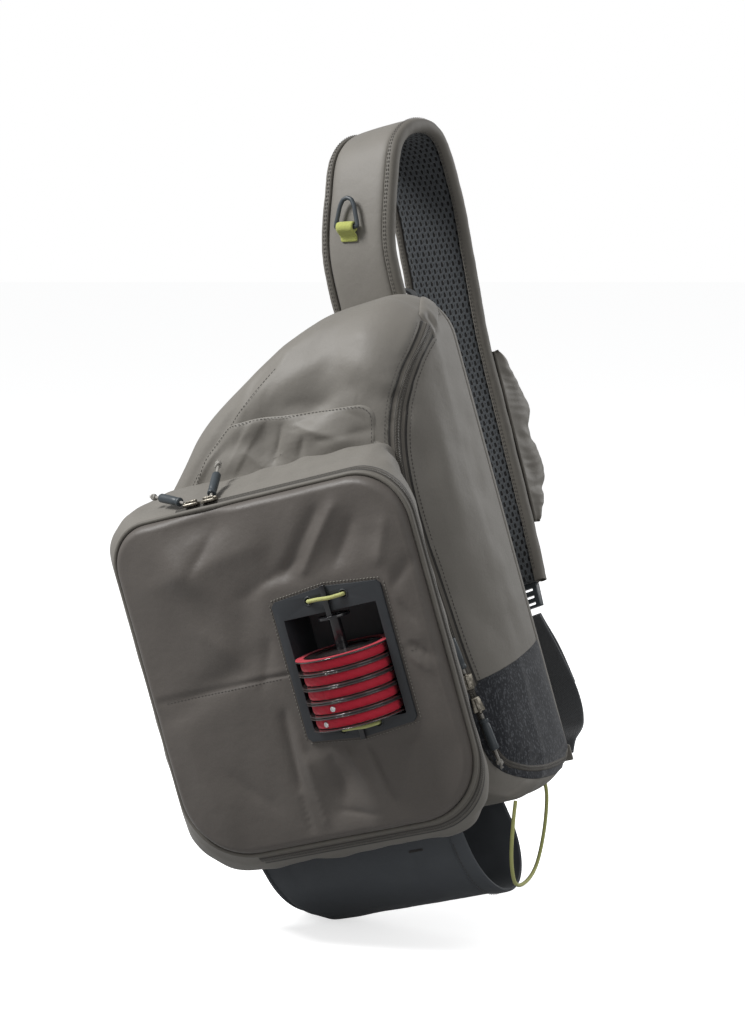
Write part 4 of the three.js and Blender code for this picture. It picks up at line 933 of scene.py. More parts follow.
@dataclass(frozen=True)
class ZipTape:
    """Zip tape with fine ribs by a toothed coil, on the piece's own map, with shade painted in its gaps."""

    colour: Point
    width: float
    coil: float
    tooth: float = 1.5

    def make(self, name: str) -> bpy.types.Material:
        """Returns the material."""
        s = Shader(name)
        u, v = s.map_point()
        aside = abs(v - self.width / 2)
        core = 1 - aside.ease(self.coil / 2 - 0.35, self.coil / 2 + 0.15)
        groove_shade = aside.ease(self.coil / 2 - 0.1, self.coil / 2 + 0.1) * (
            1 - aside.ease(self.coil / 2 + 0.8, self.coil / 2 + 1.2))
        edge_shadow = aside.ease(self.width / 2 - 1.6, self.width / 2 - 0.9)
        teeth = ((u + aside * 0.5) * (2 * math.pi / self.tooth)).sine() * 0.5 + 0.5
        split = 1 - aside.ease(0.25, 0.6)
        ribs = (v * (2 * math.pi / 1.1)).sine() * 0.5 + 0.5
        fine = s.noise(0.9, 3.0, 0.6)
        tape = s.blend(ribs * 0.4 + fine * 0.6, tuple(c * 0.82 for c in self.colour), self.colour)
        # painted shade: dark lines in the grooves beside the coil, and a painted shadow along both edges of
        # the tape
        tape = s.blend(groove_shade * 0.8 + edge_shadow * 0.95, tape, tuple(c * 0.12 for c in self.colour))
        # painted shade: the coil is dark between its teeth and down its middle split, lighter on the teeth
        dark = tuple(c * 0.34 for c in self.colour)
        coil = s.blend(teeth * (1 - split), dark, tuple(c * 1.1 for c in self.colour))
        height = core * teeth * (1 - split * 0.8) + (1 - core) * ribs * 0.12
        s.set(Base_Color=s.blend(core, tape, coil), Roughness=0.62 - core * 0.12,
              Normal=s.bump(height, 0.5, 1.0, s.bump(fine, 0.08)), Specular_IOR_Level=0.4,
              Sheen_Weight=0.1)
        return s.material


@dataclass(frozen=True)
class Cord:
    """Braided cord."""

    colour: Point
    fleck: Point
    pitch: float = 1.6
    deep: float = 0.18

    def make(self, name: str) -> bpy.types.Material:
        """Returns the material."""
        s = Shader(name)
        x, y, z = s.object_point(23.0)
        braid = ((x + z + y * 0.5) * (2 * math.pi / self.pitch)).sine() * (
            (x - z + y * 0.7) * (2 * math.pi / self.pitch)).sine() * 0.5 + 0.5
        fine = s.noise(0.6, 2.0, 0.6)
        tint = s.blend(fine * 0.4 + braid * 0.6, tuple(c * 0.66 for c in self.colour), self.colour)
        s.set(Base_Color=s.blend((fine * braid).ease(0.3, 0.5) * 0.35, tint, self.fleck),
              Roughness=0.8, Normal=s.bump(braid, self.deep), Sheen_Weight=0.2)
        return s.material


@dataclass(frozen=True)
class Plastic:
    """Moulded plastic with a fine grain and a tone that varies a little."""

    colour: Point
    rough: float = 0.42
    grain: float = 0.03
    coat: float = 0.0

    def make(self, name: str) -> bpy.types.Material:
        """Returns the material."""
        s = Shader(name)
        fine = s.noise(0.7, 3.0, 0.6)
        wide = s.noise(22.0, 3.0, 0.6)
        tint = s.blend(wide, tuple(c * 0.85 for c in self.colour), tuple(c * 1.2 for c in self.colour))
        s.set(Base_Color=tint, Roughness=wide * 0.14 + fine * 0.08 + (self.rough - 0.1),
              Normal=s.bump(fine, self.grain), Coat_Weight=self.coat, Coat_Roughness=0.1,
              Specular_IOR_Level=0.5)
        return s.material


@dataclass(frozen=True)
class ClearPlastic:
    """Smoke-tinted clear plastic."""

    colour: Point
    rough: float = 0.06
    through: float = 0.8

    def make(self, name: str) -> bpy.types.Material:
        """Returns the material."""
        s = Shader(name)
        wide = s.noise(12.0, 2.0, 0.5)
        fine = s.noise(1.5, 2.0, 0.5)
        s.set(Base_Color=s.blend(wide * 0.3, self.colour, tuple(c * 0.8 for c in self.colour)),
              Roughness=fine * 0.05 + self.rough, Normal=s.bump(wide, 0.05), IOR=1.49,
              Transmission_Weight=self.through, Specular_IOR_Level=0.9, Coat_Weight=0.8,
              Coat_Roughness=0.05)
        return s.material


@dataclass(frozen=True)
class Metal:
    """Cast or plated metal with wear."""

    colour: Point
    worn: Point
    rough: float = 0.35

    def make(self, name: str) -> bpy.types.Material:
        """Returns the material."""
        s = Shader(name)
        wide = s.noise(4.0, 3.0, 0.6)
        fine = s.noise(0.5, 3.0, 0.6)
        s.set(Base_Color=s.blend(wide.ease(0.4, 0.65), self.colour, self.worn), Metallic=1.0,
              Roughness=wide * 0.2 + fine * 0.1 + (self.rough - 0.14), Normal=s.bump(fine, 0.03))
        return s.material


@dataclass(frozen=True)
class Backdrop:
    """Plain pale floor, lit a little of itself where the camera sees it."""

    colour: Point
    glow: float = 0.66
    unseen: float = 0.4

    def make(self, name: str) -> bpy.types.Material:
        """Returns the material."""
        s = Shader(name)
        seen = s.value("ShaderNodeLightPath", {}, {}, "Is Camera Ray")
        low = tuple(c * self.unseen for c in self.colour)
        s.set(Base_Color=s.blend(seen, low, self.colour), Roughness=0.9, Specular_IOR_Level=0.0,
              Emission_Color=s.blend(seen, (0.0, 0.0, 0.0), (1.0, 1.0, 1.0)), Emission_Strength=self.glow)
        return s.material


class Finish(Enum):
    """The bag's finishes, each with the record's slot that it belongs to."""

    SHELL = ("shell_cloth", Cloth((0.190, 0.178, 0.158), rough=0.56, sheen=0.12, crumple=0.5, weave=0.07))
    FACE = ("face_cloth", Cloth((0.104, 0.092, 0.082), rough=0.5, sheen=0.1, crumple=0.6, weave=0.05))
    BINDING = ("face_cloth", Cloth((0.135, 0.125, 0.108), rough=0.62, sheen=0.1, crumple=0.3))
    STRETCH = ("stretch_cloth",
               Cloth((0.080, 0.088, 0.098), rough=0.66, pitch=0.95, sheen=0.12, weave=0.09, crumple=0.3))
    FELT = ("felt", Felt((0.024, 0.026, 0.031), (0.115, 0.122, 0.135)))
    MESH = ("spacer_mesh", SpacerMesh((0.046, 0.051, 0.056)))
    WEBBING = ("webbing", Webbing((0.080, 0.084, 0.090)))
    LIME_TAPE = ("lime_tape", Webbing((0.47, 0.50, 0.13), rib=1.1, row=1.4))
    MAIN_TAPE = ("zip_tape", ZipTape((0.125, 0.114, 0.098), 14.0, 5.2))
    LIME_CORD = ("lime_cord", Cord((0.56, 0.58, 0.20), (0.75, 0.76, 0.45)))
    PULL_CORD = ("pull_cord", Cord((0.36, 0.345, 0.315), (0.62, 0.60, 0.56)))
    THREAD = ("shell_cloth", Cord((0.070, 0.064, 0.056), (0.12, 0.11, 0.10), 0.5, 0.05))
    DARK_THREAD = ("face_cloth", Cord((0.055, 0.048, 0.042), (0.10, 0.09, 0.08), 0.5, 0.05))
    PALE_THREAD = ("shell_cloth", Cord((0.20, 0.185, 0.16), (0.28, 0.26, 0.23), 0.5, 0.05))
    TRAY = ("tray_plastic", Plastic((0.026, 0.029, 0.033), 0.42))
    SLATE = ("slate_plastic", Plastic((0.045, 0.055, 0.063), 0.40))
    BLACK = ("black_plastic", Plastic((0.010, 0.010, 0.012), 0.25, 0.01, 0.5))
    SMOKE = ("smoke_plastic", ClearPlastic((0.20, 0.15, 0.15)))
    RED = ("red_band", Webbing((0.62, 0.012, 0.040), rib=1.0, row=1.2, deep=0.1, rough=0.6))
    BRASS = ("antique_brass", Metal((0.17, 0.155, 0.13), (0.42, 0.39, 0.33), 0.4))
    CHROME = ("antique_brass", Metal((0.72, 0.72, 0.72), (0.85, 0.85, 0.85), 0.22))

    def material(self) -> bpy.types.Material:
        """Returns the finish's material, made on its first use."""
        name = f"bag_{self.name.lower()}"
        return bpy.data.materials.get(name) or self.value[1].make(name)

    @property
    def slot(self) -> str:
        """The record's slot that the finish belongs to."""
        return self.value[0]


# The main pack


@dataclass
class Pack:
    """The main compartment, with its zip, felt, corner patch and upper pocket."""

    bench: Bench
    width: float = 260.0
    height: float = 389.0
    depth: float = 112.0
    cloth: float = 1.6
    top_thinning: float = 14.0
    fullness: float = 3.0
    crown: float = 6.0
    back_plate: float = 8.0
    gap: float = 0.3
    base: float = 74.0
    tape: float = 14.0
    felt_from: float = 8.5
    front_rows: int = 36
    corners: list[Corner] = field(default_factory=list)
    folds: tuple[Fold, ...] = (
        Fold(0.42, 0.9, 50, 0.14, 0.055, 0.035), Fold(-0.02, 0.8, 80, 0.08, 0.05, 0.045),
        Fold(0.3, 0.78, -20, 0.1, 0.06, -0.04), Fold(0.92, 0.55, 70, 0.16, 0.07, 0.04))
    creases: tuple[Fold, ...] = (
        Fold(0.10, 0.93, 15, 0.16, 0.016, 0.014), Fold(0.36, 0.84, 28, 0.12, 0.018, 0.018),
        Fold(0.50, 0.90, -35, 0.07, 0.016, 0.014), Fold(-0.12, 0.885, 62, 0.08, 0.016, -0.018),
        Fold(0.18, 0.875, -12, 0.1, 0.014, -0.012), Fold(-0.45, 0.76, 40, 0.1, 0.018, 0.016))

    patch_pulls: tuple[Crease, ...] = (
        Crease((14, 0, 394), (0, 0, 369), 5, 2.2), Crease((28, 0, 391), (63, 0, 372), 8, -2.6),
        Crease((43, 0, 376), (84, 0, 374), 6, 1.8), Crease((30, 0, 380), (22, 0, 366), 4, 1.6),
        Crease((70, 0, 392), (82, 0, 380), 5, 1.2), Crease((-20, 0, 380), (-8, 0, 366), 5, -1.6))
    pulls: tuple[Crease, ...] = (
        Crease((81, 22, 439), (113, 23, 418), 8, 2.4), Crease((74, 16, 426), (108, 18, 402), 9, -2.4),
        Crease((75, 11, 410), (103, 15, 388), 7, 2.4), Crease((37, 26, 445), (70, 31, 448), 10, 2.0),
        Crease((-5, 13, 417), (61, 21, 432), 16, -2.2), Crease((113, 20, 357), (107, 15, 277), 8, 4.6),
        Crease((125, 36, 360), (120, 26, 261), 14, -3.4), Crease((99, 11, 277), (119, 27, 280), 4, 2.2),
        Crease((132, 84, 358), (131, 70, 300), 14, 2.2), Crease((132, 61, 267), (133, 69, 193), 20, -2.4),
        Crease((119, 22, 230), (128, 37, 193), 12, 2.6), Crease((96, 12, 340), (110, 22, 372), 7, -2.0),
        Crease((60, 18, 455), (100, 28, 440), 7, -1.6), Crease((-60, 14, 372), (-30, 12, 404), 9, 2.2),
        Crease((20, 12, 408), (52, 12, 400), 5, 1.4), Crease((128, 60, 420), (131, 60, 350), 10, -1.8))

    def __post_init__(self) -> None:
        """Works out the corners of the outline and the route of the zip."""
        rows = ((-1.03, 0.0, 0.18, 0.2, 6, 40), (1.0, 0.0, 0.16, 0.44, 6, 62), (1.0, 1.0, 0.42, 0.46, 14, 8),
                (0.32, 1.0, 0.9, 0.26, 8, 18), (-0.5, 0.85, 0.9, 0.24, 8, 16),
                (-1.03, 0.66, 0.5, 0.22, 9, 40))
        self.corners = [
            Corner(a * self.width / 2, self.base + u * self.height, c * self.depth, r * self.depth, arc,
                   steps)
            for a, u, c, r, arc, steps in rows]
        zip_rows = (
            (0.935, 0.46), (0.892, 0.7), (0.835, 0.865), (0.78, 0.955), (0.72, 1.005), (0.63, 1.03),
            (0.52, 1.025), (0.41, 0.99), (0.29, 0.962), (0.205, 0.925), (0.135, 0.905), (0.085, 0.85),
            (0.055, 0.7), (0.038, 0.5), (0.024, 0.13), (0.02, 0.0))
        self.zip_route = Route(np.array([[u * self.height, w * self.depth] for u, w in zip_rows]))
        self.back_edge = self.depth - self.back_plate - self.gap

    def front_y(self, x: Any, z: Any) -> Any:
        """Returns how far the front lies behind its datum at places across and up it."""
        up = (z - self.base) / self.height
        across = x / (self.width / 2)
        total = self.top_thinning * np.maximum(up, 0) ** 2
        for fold in self.folds + self.creases:
            total = total + fold.depth(across, up, self.height / self.width) * self.depth
        return total

    def outline(self, insets: Sequence[float], heights: Sequence[float], lean: float) -> np.ndarray:
        """Returns one ring of the pack's surface."""
        ring = rounded(self.corners, insets, heights)
        if lean:
            ring[:, 1] += self.front_y(ring[:, 0], ring[:, 2]) * lean
        return ring

    def rings(self) -> Grid:
        """Returns the pack's surface, from its back edge round to the middle of its front."""
        n = len(self.corners)
        rolls = np.array([c.roll for c in self.corners])
        same = np.ones(n)
        rings = [self.outline(same * 0.0, same * self.back_edge, 0.0)]
        for share in (0.06, 0.12, 0.2, 0.3, 0.4, 0.52, 0.64, 0.76, 0.88):
            swell = self.fullness * math.sin(math.pi * share ** 0.9) ** 0.7
            rings.append(self.outline(same * -swell, mix(same * self.back_edge, rolls, share), share ** 1.4))
        steps = 9
        for k in range(steps + 1):
            a = k / steps * math.pi / 2
            inset = rolls - rolls * math.cos(a) - (1 - math.sin(a)) * self.fullness * 0.5 * (k == 0)
            rings.append(self.outline(inset, rolls - rolls * math.sin(a), 1.0))
        edge = rings[-1]
        middle = np.array([14.7, 0.0, self.base + self.height * 0.46])
        for f in np.linspace(0, 1, self.front_rows)[1:]:
            ring = mix(edge, middle, f)
            ring[:, 1] = self.front_y(ring[:, 0], ring[:, 2]) - self.crown * (1 - (1 - f) ** 2)
            rings.append(ring)
        return np.array(rings)

    def right_side(self, run: float, wrap: float, lift: float = 0.0) -> tuple[np.ndarray, np.ndarray]:
        """Returns a place on the right side and the direction out of it.

        Args:
            run: Distance up along the outline.
            wrap: Distance forward from the back edge, round the corner.
            lift: Height above the surface.

        Returns:
            The place and the outward direction.
        """
        low_corner, high_corner = self.corners[1], self.corners[2]
        straight = self.height - high_corner.radius
        angle = min(max(run - straight, 0) / high_corner.radius, math.pi / 2)
        out = np.array([math.cos(angle), 0.0, math.sin(angle)])
        half = self.width / 2
        if run <= straight:
            p = np.array([half, 0.0, self.base + run])
        else:
            p = np.array([half - high_corner.radius, 0.0, self.base + straight]) + out * high_corner.radius
        low = min(max(1 - run / low_corner.radius, 0.0), 1.0)
        p = p - out * low_corner.radius * (1 - math.sqrt(max(1 - low * low, 0.0)))
        side = self.back_edge - low_corner.roll
        share = min(max(wrap / side, 0.0), 1.0)
        normal = out
        if wrap <= side:
            p = p + out * self.fullness * math.sin(math.pi * share) ** 0.8
            p[1] = self.back_edge - wrap
            p[1] += float(self.front_y(p[0], p[2])) * share ** 2
        else:
            turn = min((wrap - side) / low_corner.roll, math.pi / 2)
            p = p - out * low_corner.roll * (1 - math.cos(turn))
            p[1] = low_corner.roll * (1 - math.sin(turn))
            p[1] += float(self.front_y(p[0], p[2]))
            normal = out * math.cos(turn) + np.array([0.0, -math.sin(turn), 0.0])
        return p + normal * lift, normal

    def beside_zip(self, share: float, offset: float) -> np.ndarray:
        """Returns run and wrap at a distance beside the zip, towards the front when positive."""
        p = self.zip_route.point(share)
        t = unit(self.zip_route.point(min(share + 1e-3, 1)) - self.zip_route.point(max(share - 1e-3, 0)))
        return np.array([p[0] - t[1] * offset, p[1] + t[0] * offset])

    def beside_line(self, offset: float, start: float, end: float, count: int) -> tuple[Grid, Grid]:
        """Returns a line beside the zip on the cloth and its outward directions."""
        found = [self.right_side(max(p[0], 1.0), p[1]) for p in (
            self.beside_zip(f, offset) for f in np.linspace(start, end, count))]
        places = np.array([p for p, _ in found])
        lift = np.array([n for _, n in found])
        return self.ground.lay(places, lift, 0.0), lift

    def build(self) -> None:
        """Builds the pack and all that is sewn to it."""
        self.build_shell()
        self.build_zip()
        self.build_felt()
        self.build_corner_patch()
        self.build_upper_pocket()
        self.build_back()
        self.build_stitching()

    def seam_depth(self, grid: Grid) -> Grid:
        """Returns how deep the seams and the zip's bed are pressed into the surface."""
        zip_line = np.array([self.right_side(*self.zip_route.point(f))[0] for f in np.linspace(0, 1, 160)])
        flat = grid.reshape(-1, 3)
        near = np.full(len(flat), 1e9)
        for p in zip_line:
            near = np.minimum(near, np.linalg.norm(flat - p, axis=1))
        bed = 1.5 * (1 - smoothstep(near, 6.5, 9.0)) - 1.1 * np.exp(-((near - 11.0) / 3.0) ** 2)
        roll_line = np.array([[18, 443], [3, 433], [-12, 422], [-24, 412.5], [-36, 403], [-54, 389],
                              [-71, 374],
                              [-88, 352], [-100, 330]], float)
        away = np.full(len(flat), 1e9)
        dense = np.concatenate([mix(a, b, np.linspace(0, 1, 12)[:, None]) for a,
                                b in zip(roll_line, roll_line[1:])])
        for x, z in dense:
            away = np.minimum(away, np.hypot(flat[:, 0] - x, flat[:, 2] - z))
        away = np.where(flat[:, 1] < 45, away, 1e9)
        seam = 1.7 * np.exp(-(away / 2.0) ** 2) - 0.9 * np.exp(-((away - 5.5) / 3.4) ** 2)
        return (bed + seam).reshape(grid.shape[:2])

    def build_shell(self) -> None:
        """Builds the pack's cloth and parts it into the shell and the side panel."""
        grid = self.rings()
        normals = grid_normals(grid, True)
        hub = np.array([0.0, 60.0, 270.0])
        if np.sum(normals[8] * (grid[8] - hub)) < 0:
            normals = -normals
        normals[-1] = (0.0, -1.0, 0.0)
        wave = 1.9 * ripple(grid, 62.0, 3.1, (1, 1, 1.3)) + 0.8 * ripple(grid, 27.0, 8.4, (1.4, 1, 0.8))
        wave = wave + sum(pull.depth(grid) for pull in self.pulls)
        fade = smoothstep(np.arange(len(grid)), 0, 5)[:, None]
        depth = self.seam_depth(grid) + wave * fade
        depth[-1] = depth[-1].mean()
        grid = grid - normals * depth[..., None]
        whole = self.bench.sheet("pack_cloth", grid, loop=True, outward=hub, close=True, size=(1.15, 0.25))
        self.ground = Ground(whole)
        zone = np.array([self.zip_route.point(f) for f in np.linspace(0, 1, 120)])
        zone = np.concatenate([zone, [[-4.0, -12.0], [0.957 * self.height, -12.0]]])
        panel = self.bench.copy(whole, "pack_side_panel")
        centres = in_bag(np.array([p.center[:] for p in whole.data.polygons]))
        inside = np.array([self.in_zone(c, zone) for c in centres])
        for piece, keep in ((whole, ~inside), (panel, inside)):
            self.bench.choose(piece, lambda face: not keep[face.index])
            self.bench.edit(piece, lambda: bpy.ops.mesh.delete(type="FACE"))
            self.bench.apply(piece, "SUBSURF", levels=1, render_levels=1)
            self.bench.thicken(piece, self.cloth)
            self.bench.smooth(piece)
        whole.name = whole.data.name = "pack_shell"
        self.bench.fit(whole, Finish.SHELL.material(), Finish.SHELL.slot, ["main_shell"])
        self.bench.fit(panel, Finish.SHELL.material(), Finish.SHELL.slot, ["side_panel"])

    def in_zone(self, place: np.ndarray, zone: np.ndarray) -> bool:
        """Returns whether a place lies on the side panel, behind the zip."""
        x, y, z = place
        radius = self.corners[2].radius
        straight = self.height - radius
        if x < self.width / 2 - radius - 6:
            return False
        if z - self.base <= straight:
            if x < self.width / 2 - 60:
                return False
            run = z - self.base
            reach = self.width / 2 - x
        else:
            dx, dz = x - (self.width / 2 - radius), z - (self.base + straight)
            run = straight + math.atan2(dz, max(dx, 1e-6)) * radius
            reach = radius - math.hypot(dx, dz)
        y = y - float(self.front_y(x, z)) * smoothstep(-y, -self.back_edge, -self.corners[1].roll * 0.5)
        side = self.back_edge - self.corners[1].roll
        if y >= self.corners[1].roll:
            wrap = self.back_edge - y
        else:
            share = min(max(1 - y / self.corners[1].roll, 0.0), 1.0)
            wrap = side + math.asin(share) * self.corners[1].roll
            if reach > self.corners[1].roll * 0.98:
                wrap = side + self.corners[1].roll * math.pi / 2 + reach - self.corners[1].roll
        inside = False
        for a, b in zip(zone, np.roll(zone, -1, axis=0)):
            if (a[1] > wrap) != (b[1] > wrap) and run < a[0] + (wrap - a[1]) / (b[1] - a[1]) * (b[0] - a[0]):
                inside = not inside
        return inside

    def strip(self, offsets: Sequence[float], lifts: Sequence[float], start: float, end: float,
              count: int) -> Grid:
        """Returns a strip of the zip's ground, one row per offset."""
        rows = []
        for offset, lift in zip(offsets, lifts):
            places, outward = self.beside_line(offset, start, end, count)
            rows.append(places + outward * lift)
        return np.array(rows)

    def build_zip(self) -> None:
        """Builds the main zip: a tape with a raised coil, bedded in the cloth."""
        half = self.tape / 2
        offsets = (-half, -half * 0.7, -3.0, -2.1, -1.0, 0.0, 1.0, 2.1, 3.0, half * 0.7, half)
        lifts = (0.5, 1.0, 1.1, 2.1, 2.6, 2.3, 2.6, 2.1, 1.1, 1.0, 0.5)
        grid = self.strip(offsets, lifts, 0.006, 0.994, 190)
        piece = self.bench.sheet("main_zip_tape", grid, outward=(90.0, 60.0, 270.0), size=(0.455, 0.014))
        self.bench.apply(piece, "SUBSURF", levels=1, render_levels=1)
        self.bench.thicken(piece, 1.0)
        self.bench.fit(piece, Finish.MAIN_TAPE.material(), Finish.MAIN_TAPE.slot, ["main_zip"])

    def build_felt(self) -> None:
        """Builds the felt patch low on the side panel."""
        start = self.felt_from / 15
        rows, columns = 54, 40
        grid = np.empty((rows, columns, 3))
        lift = np.empty((rows, columns, 3))
        for i in range(rows):
            share = i / (rows - 1)
            edge = self.beside_zip(mix(start, 1.0, share), -self.tape / 2 - 0.8)
            back = np.array([mix(0.27, 0.062, share ** 0.9) * self.height, 1.0])
            for j in range(columns):
                q = mix(back, edge, j / (columns - 1))
                grid[i, j], lift[i, j] = self.right_side(max(q[0], 2.0), q[1])
        edge = np.minimum.outer(np.minimum(np.arange(rows), np.arange(rows)[::-1]) * 3.0,
                                np.minimum(np.arange(columns), np.arange(columns)[::-1]) * 2.0)
        rise = 1.5 * (1 - np.exp(-edge / 1.6)) + 0.25 + 0.35 * ripple(grid, 16.0, 5.0)
        piece = self.bench.sheet("felt_panel", self.ground.lay(grid, lift, rise), outward=(60.0, 60.0, 200.0),
                                 size=(0.09, 0.12))
        self.bench.apply(piece, "SUBSURF", levels=1, render_levels=1)
        self.bench.thicken(piece, 1.1)
        self.bench.fit(piece, Finish.FELT.material(), Finish.FELT.slot, ["felt_patch"])

    def build_corner_patch(self) -> None:
        """Builds the doubled cloth patch at the zip's upper end."""
        rows, columns = 12, 34
        grid = np.empty((rows, columns, 3))
        lift = np.empty((rows, columns, 3))
        for i in range(rows):
            for j in range(columns):
                f, g = i / (rows - 1), j / (columns - 1)
                run = mix(mix(0.996, 0.962, f), mix(0.958, 0.905, f), g) * self.height
                grid[i, j], lift[i, j] = self.right_side(run, mix(0.01, 0.5, g) * self.depth)
        edge = np.minimum.outer(np.minimum(np.arange(rows), np.arange(rows)[::-1]) * 1.5,
                                np.minimum(np.arange(columns), np.arange(columns)[::-1]) * 1.5)
        rise = 1.9 * (1 - np.exp(-edge / 1.1)) + 0.2
        laid = self.ground.lay(grid, lift, rise)
        piece = self.bench.sheet("corner_patch", laid, outward=(60.0, 60.0, 400.0), size=(0.06, 0.016))
        self.bench.apply(piece, "SUBSURF", levels=1, render_levels=1)
        self.bench.thicken(piece, 1.0)
        self.bench.fit(piece, Finish.SHELL.material(), Finish.SHELL.slot, ["garage_patch"])

    def build_upper_pocket(self) -> None:
        """Builds the flat pocket above the front pocket, with its slanted fold."""
        corners = np.array([
            (-0.62, 0.72), (0.56, 0.7), (0.64, 0.73), (0.69, 0.79), (0.69, 0.808), (0.63, 0.824),
            (0.22, 0.836), (-0.04, 0.847), (-0.25, 0.847), (-0.46, 0.795)])
        corners = corners * (self.width / 2, self.height) + (0, self.base)
        edge = []
        for a, b in zip(corners, np.roll(corners, -1, axis=0)):
            count = max(int(np.linalg.norm(b - a) / 3), 1)
            edge.extend(mix(a, b, k / count) for k in range(count))
        edge = np.array(edge)
        for _ in range(2):
            edge = (np.roll(edge, 1, axis=0) + 2 * edge + np.roll(edge, -1, axis=0)) / 4
        hub = edge.mean(axis=0)
        shares = np.concatenate([[1.0, 0.992, 0.98, 0.962, 0.94], np.linspace(0.91, 0.03, 30), [0.003]])
        grid = np.zeros((len(shares), len(edge), 3))
        for i, share in enumerate(shares):
            grid[i, :, 0::2] = mix(hub, edge, share)
        inward = (1 - shares)[:, None] * np.linalg.norm(edge - hub, axis=1)[None, :]
        rise = 1.7 * (1 - np.exp(-inward / 1.5)) + 1.2 * (1 - np.exp(-inward / 16.0)) - 0.2
        slant = (grid[..., 0] + 33.0) * 0.72 - (grid[..., 2] - 373.0) * 0.69
        along = (grid[..., 0] + 33.0) * 0.69 + (grid[..., 2] - 373.0) * 0.72
        window = smoothstep(along, -14, 4) * (1 - smoothstep(along, 34, 52))
        rise += window * (1.1 * (smoothstep(slant, -6.5, -4.0) - smoothstep(slant, 3.5, 6.5)))
        rise += 1.5 * ripple(grid, 19.0, 12.0, (1.6, 1, 0.8)) * (1 - np.exp(-inward / 8.0))
        flat = np.stack([grid[..., 0], np.zeros(grid.shape[:2]), grid[..., 2]], axis=-1)
        rise -= sum(pull.depth(flat) for pull in self.patch_pulls)
        laid = self.ground.lay(grid, np.array([0.0, -1.0, 0.0]), rise, 60.0)
        piece = self.bench.sheet("upper_pocket_cloth", laid, loop=True, outward=(20.0, 60.0, 380.0),
                                 size=(0.4, 0.05), close=False)
        self.bench.apply(piece, "SUBSURF", levels=1, render_levels=1)
        self.bench.thicken(piece, 1.0)
        self.bench.fit(piece, Finish.SHELL.material(), Finish.SHELL.slot, ["upper_pocket"])
        self.upper_edge = edge
        self.upper_hub = hub

    def build_back(self) -> None:
        """Builds the padded back panel as a sheet, with softened edges and two channels down its face."""
        same = np.ones(len(self.corners))
        rings = []
        for inset, y in ((0.4, 0.0), (-0.3, 1.2), (-0.4, 3.4), (0.2, 5.6), (2.0, 7.2), (5.0, 7.95),
                         (9.0, 7.9)):
            rings.append(rounded(self.corners, same * inset, same * (self.back_edge + self.gap + y)))
        edge = rings[-1]
        middle = np.array([5.0, self.depth, self.base + self.height * 0.46])
        for f in np.linspace(0, 1, 26)[1:]:
            ring = mix(edge, middle, f)
            channel = (np.exp(-(((ring[:, 0] + 40) / 3.0) ** 2)) + np.exp(-(((ring[:, 0] - 45) / 3.0) ** 2)))
            ring[:, 1] = self.depth - 0.2 - 1.8 * channel * smoothstep(f, 0.05, 0.2)
            rings.append(ring)
        grid = np.array(rings)
        piece = self.bench.sheet("back_pad", grid, loop=True, outward=(0.0, 60.0, 270.0), close=True,
                                 size=(1.2, 0.2))
        self.bench.thicken(piece, 3.0)
        self.bench.fit(piece, Finish.SHELL.material(), Finish.SHELL.slot, ["back_panel"])

    def build_stitching(self) -> None:
        """Builds the rows of stitches beside the zip, round the upper pocket and along the rolled seam."""
        made = []
        for offset, start, end in ((9.6, 0.01, 0.99), (-9.6, 0.01, 0.6)):
            line, lift = self.beside_line(offset, start, end, 400)
            made.append(self.bench.seam_stitches(f"stitch_row_{len(made)}", line, lift, 3.1, 2.2, 0.55))
        ring = mix(self.upper_hub, self.upper_edge, 0.965)
        places = np.zeros((len(ring), 3))
        places[:, 0::2] = ring
        keep = places[:, 2] > 356
        out = np.array([0.0, -1.0, 0.0])
        laid = self.ground.lay(places, out, 1.75, 60.0)
        start = int(np.argmax(keep & ~np.roll(keep, 1)))
        line = np.roll(laid, -start, axis=0)[:int(keep.sum())]
        made.append(self.bench.seam_stitches("stitch_row_upper", line, np.broadcast_to(out, line.shape),
                                             3.1, 2.2, 0.55))
        seam = np.array([[18, 438], [-12, 417], [-36, 398], [-71, 369], [-88, 347]], float)
        route = Route(np.stack([seam[:, 0], np.zeros(len(seam)), seam[:, 1]], axis=1)).evenly(60)
        laid = self.ground.lay(route, out, 0.1, 60.0)
        made.append(self.bench.seam_stitches("stitch_row_roll", laid, np.broadcast_to(out, laid.shape),
                                             3.1, 2.2, 0.5))
        piece = self.bench.join("pack_stitching", made)
        self.bench.fit(piece, Finish.THREAD.material(), Finish.THREAD.slot)


# The front pocket


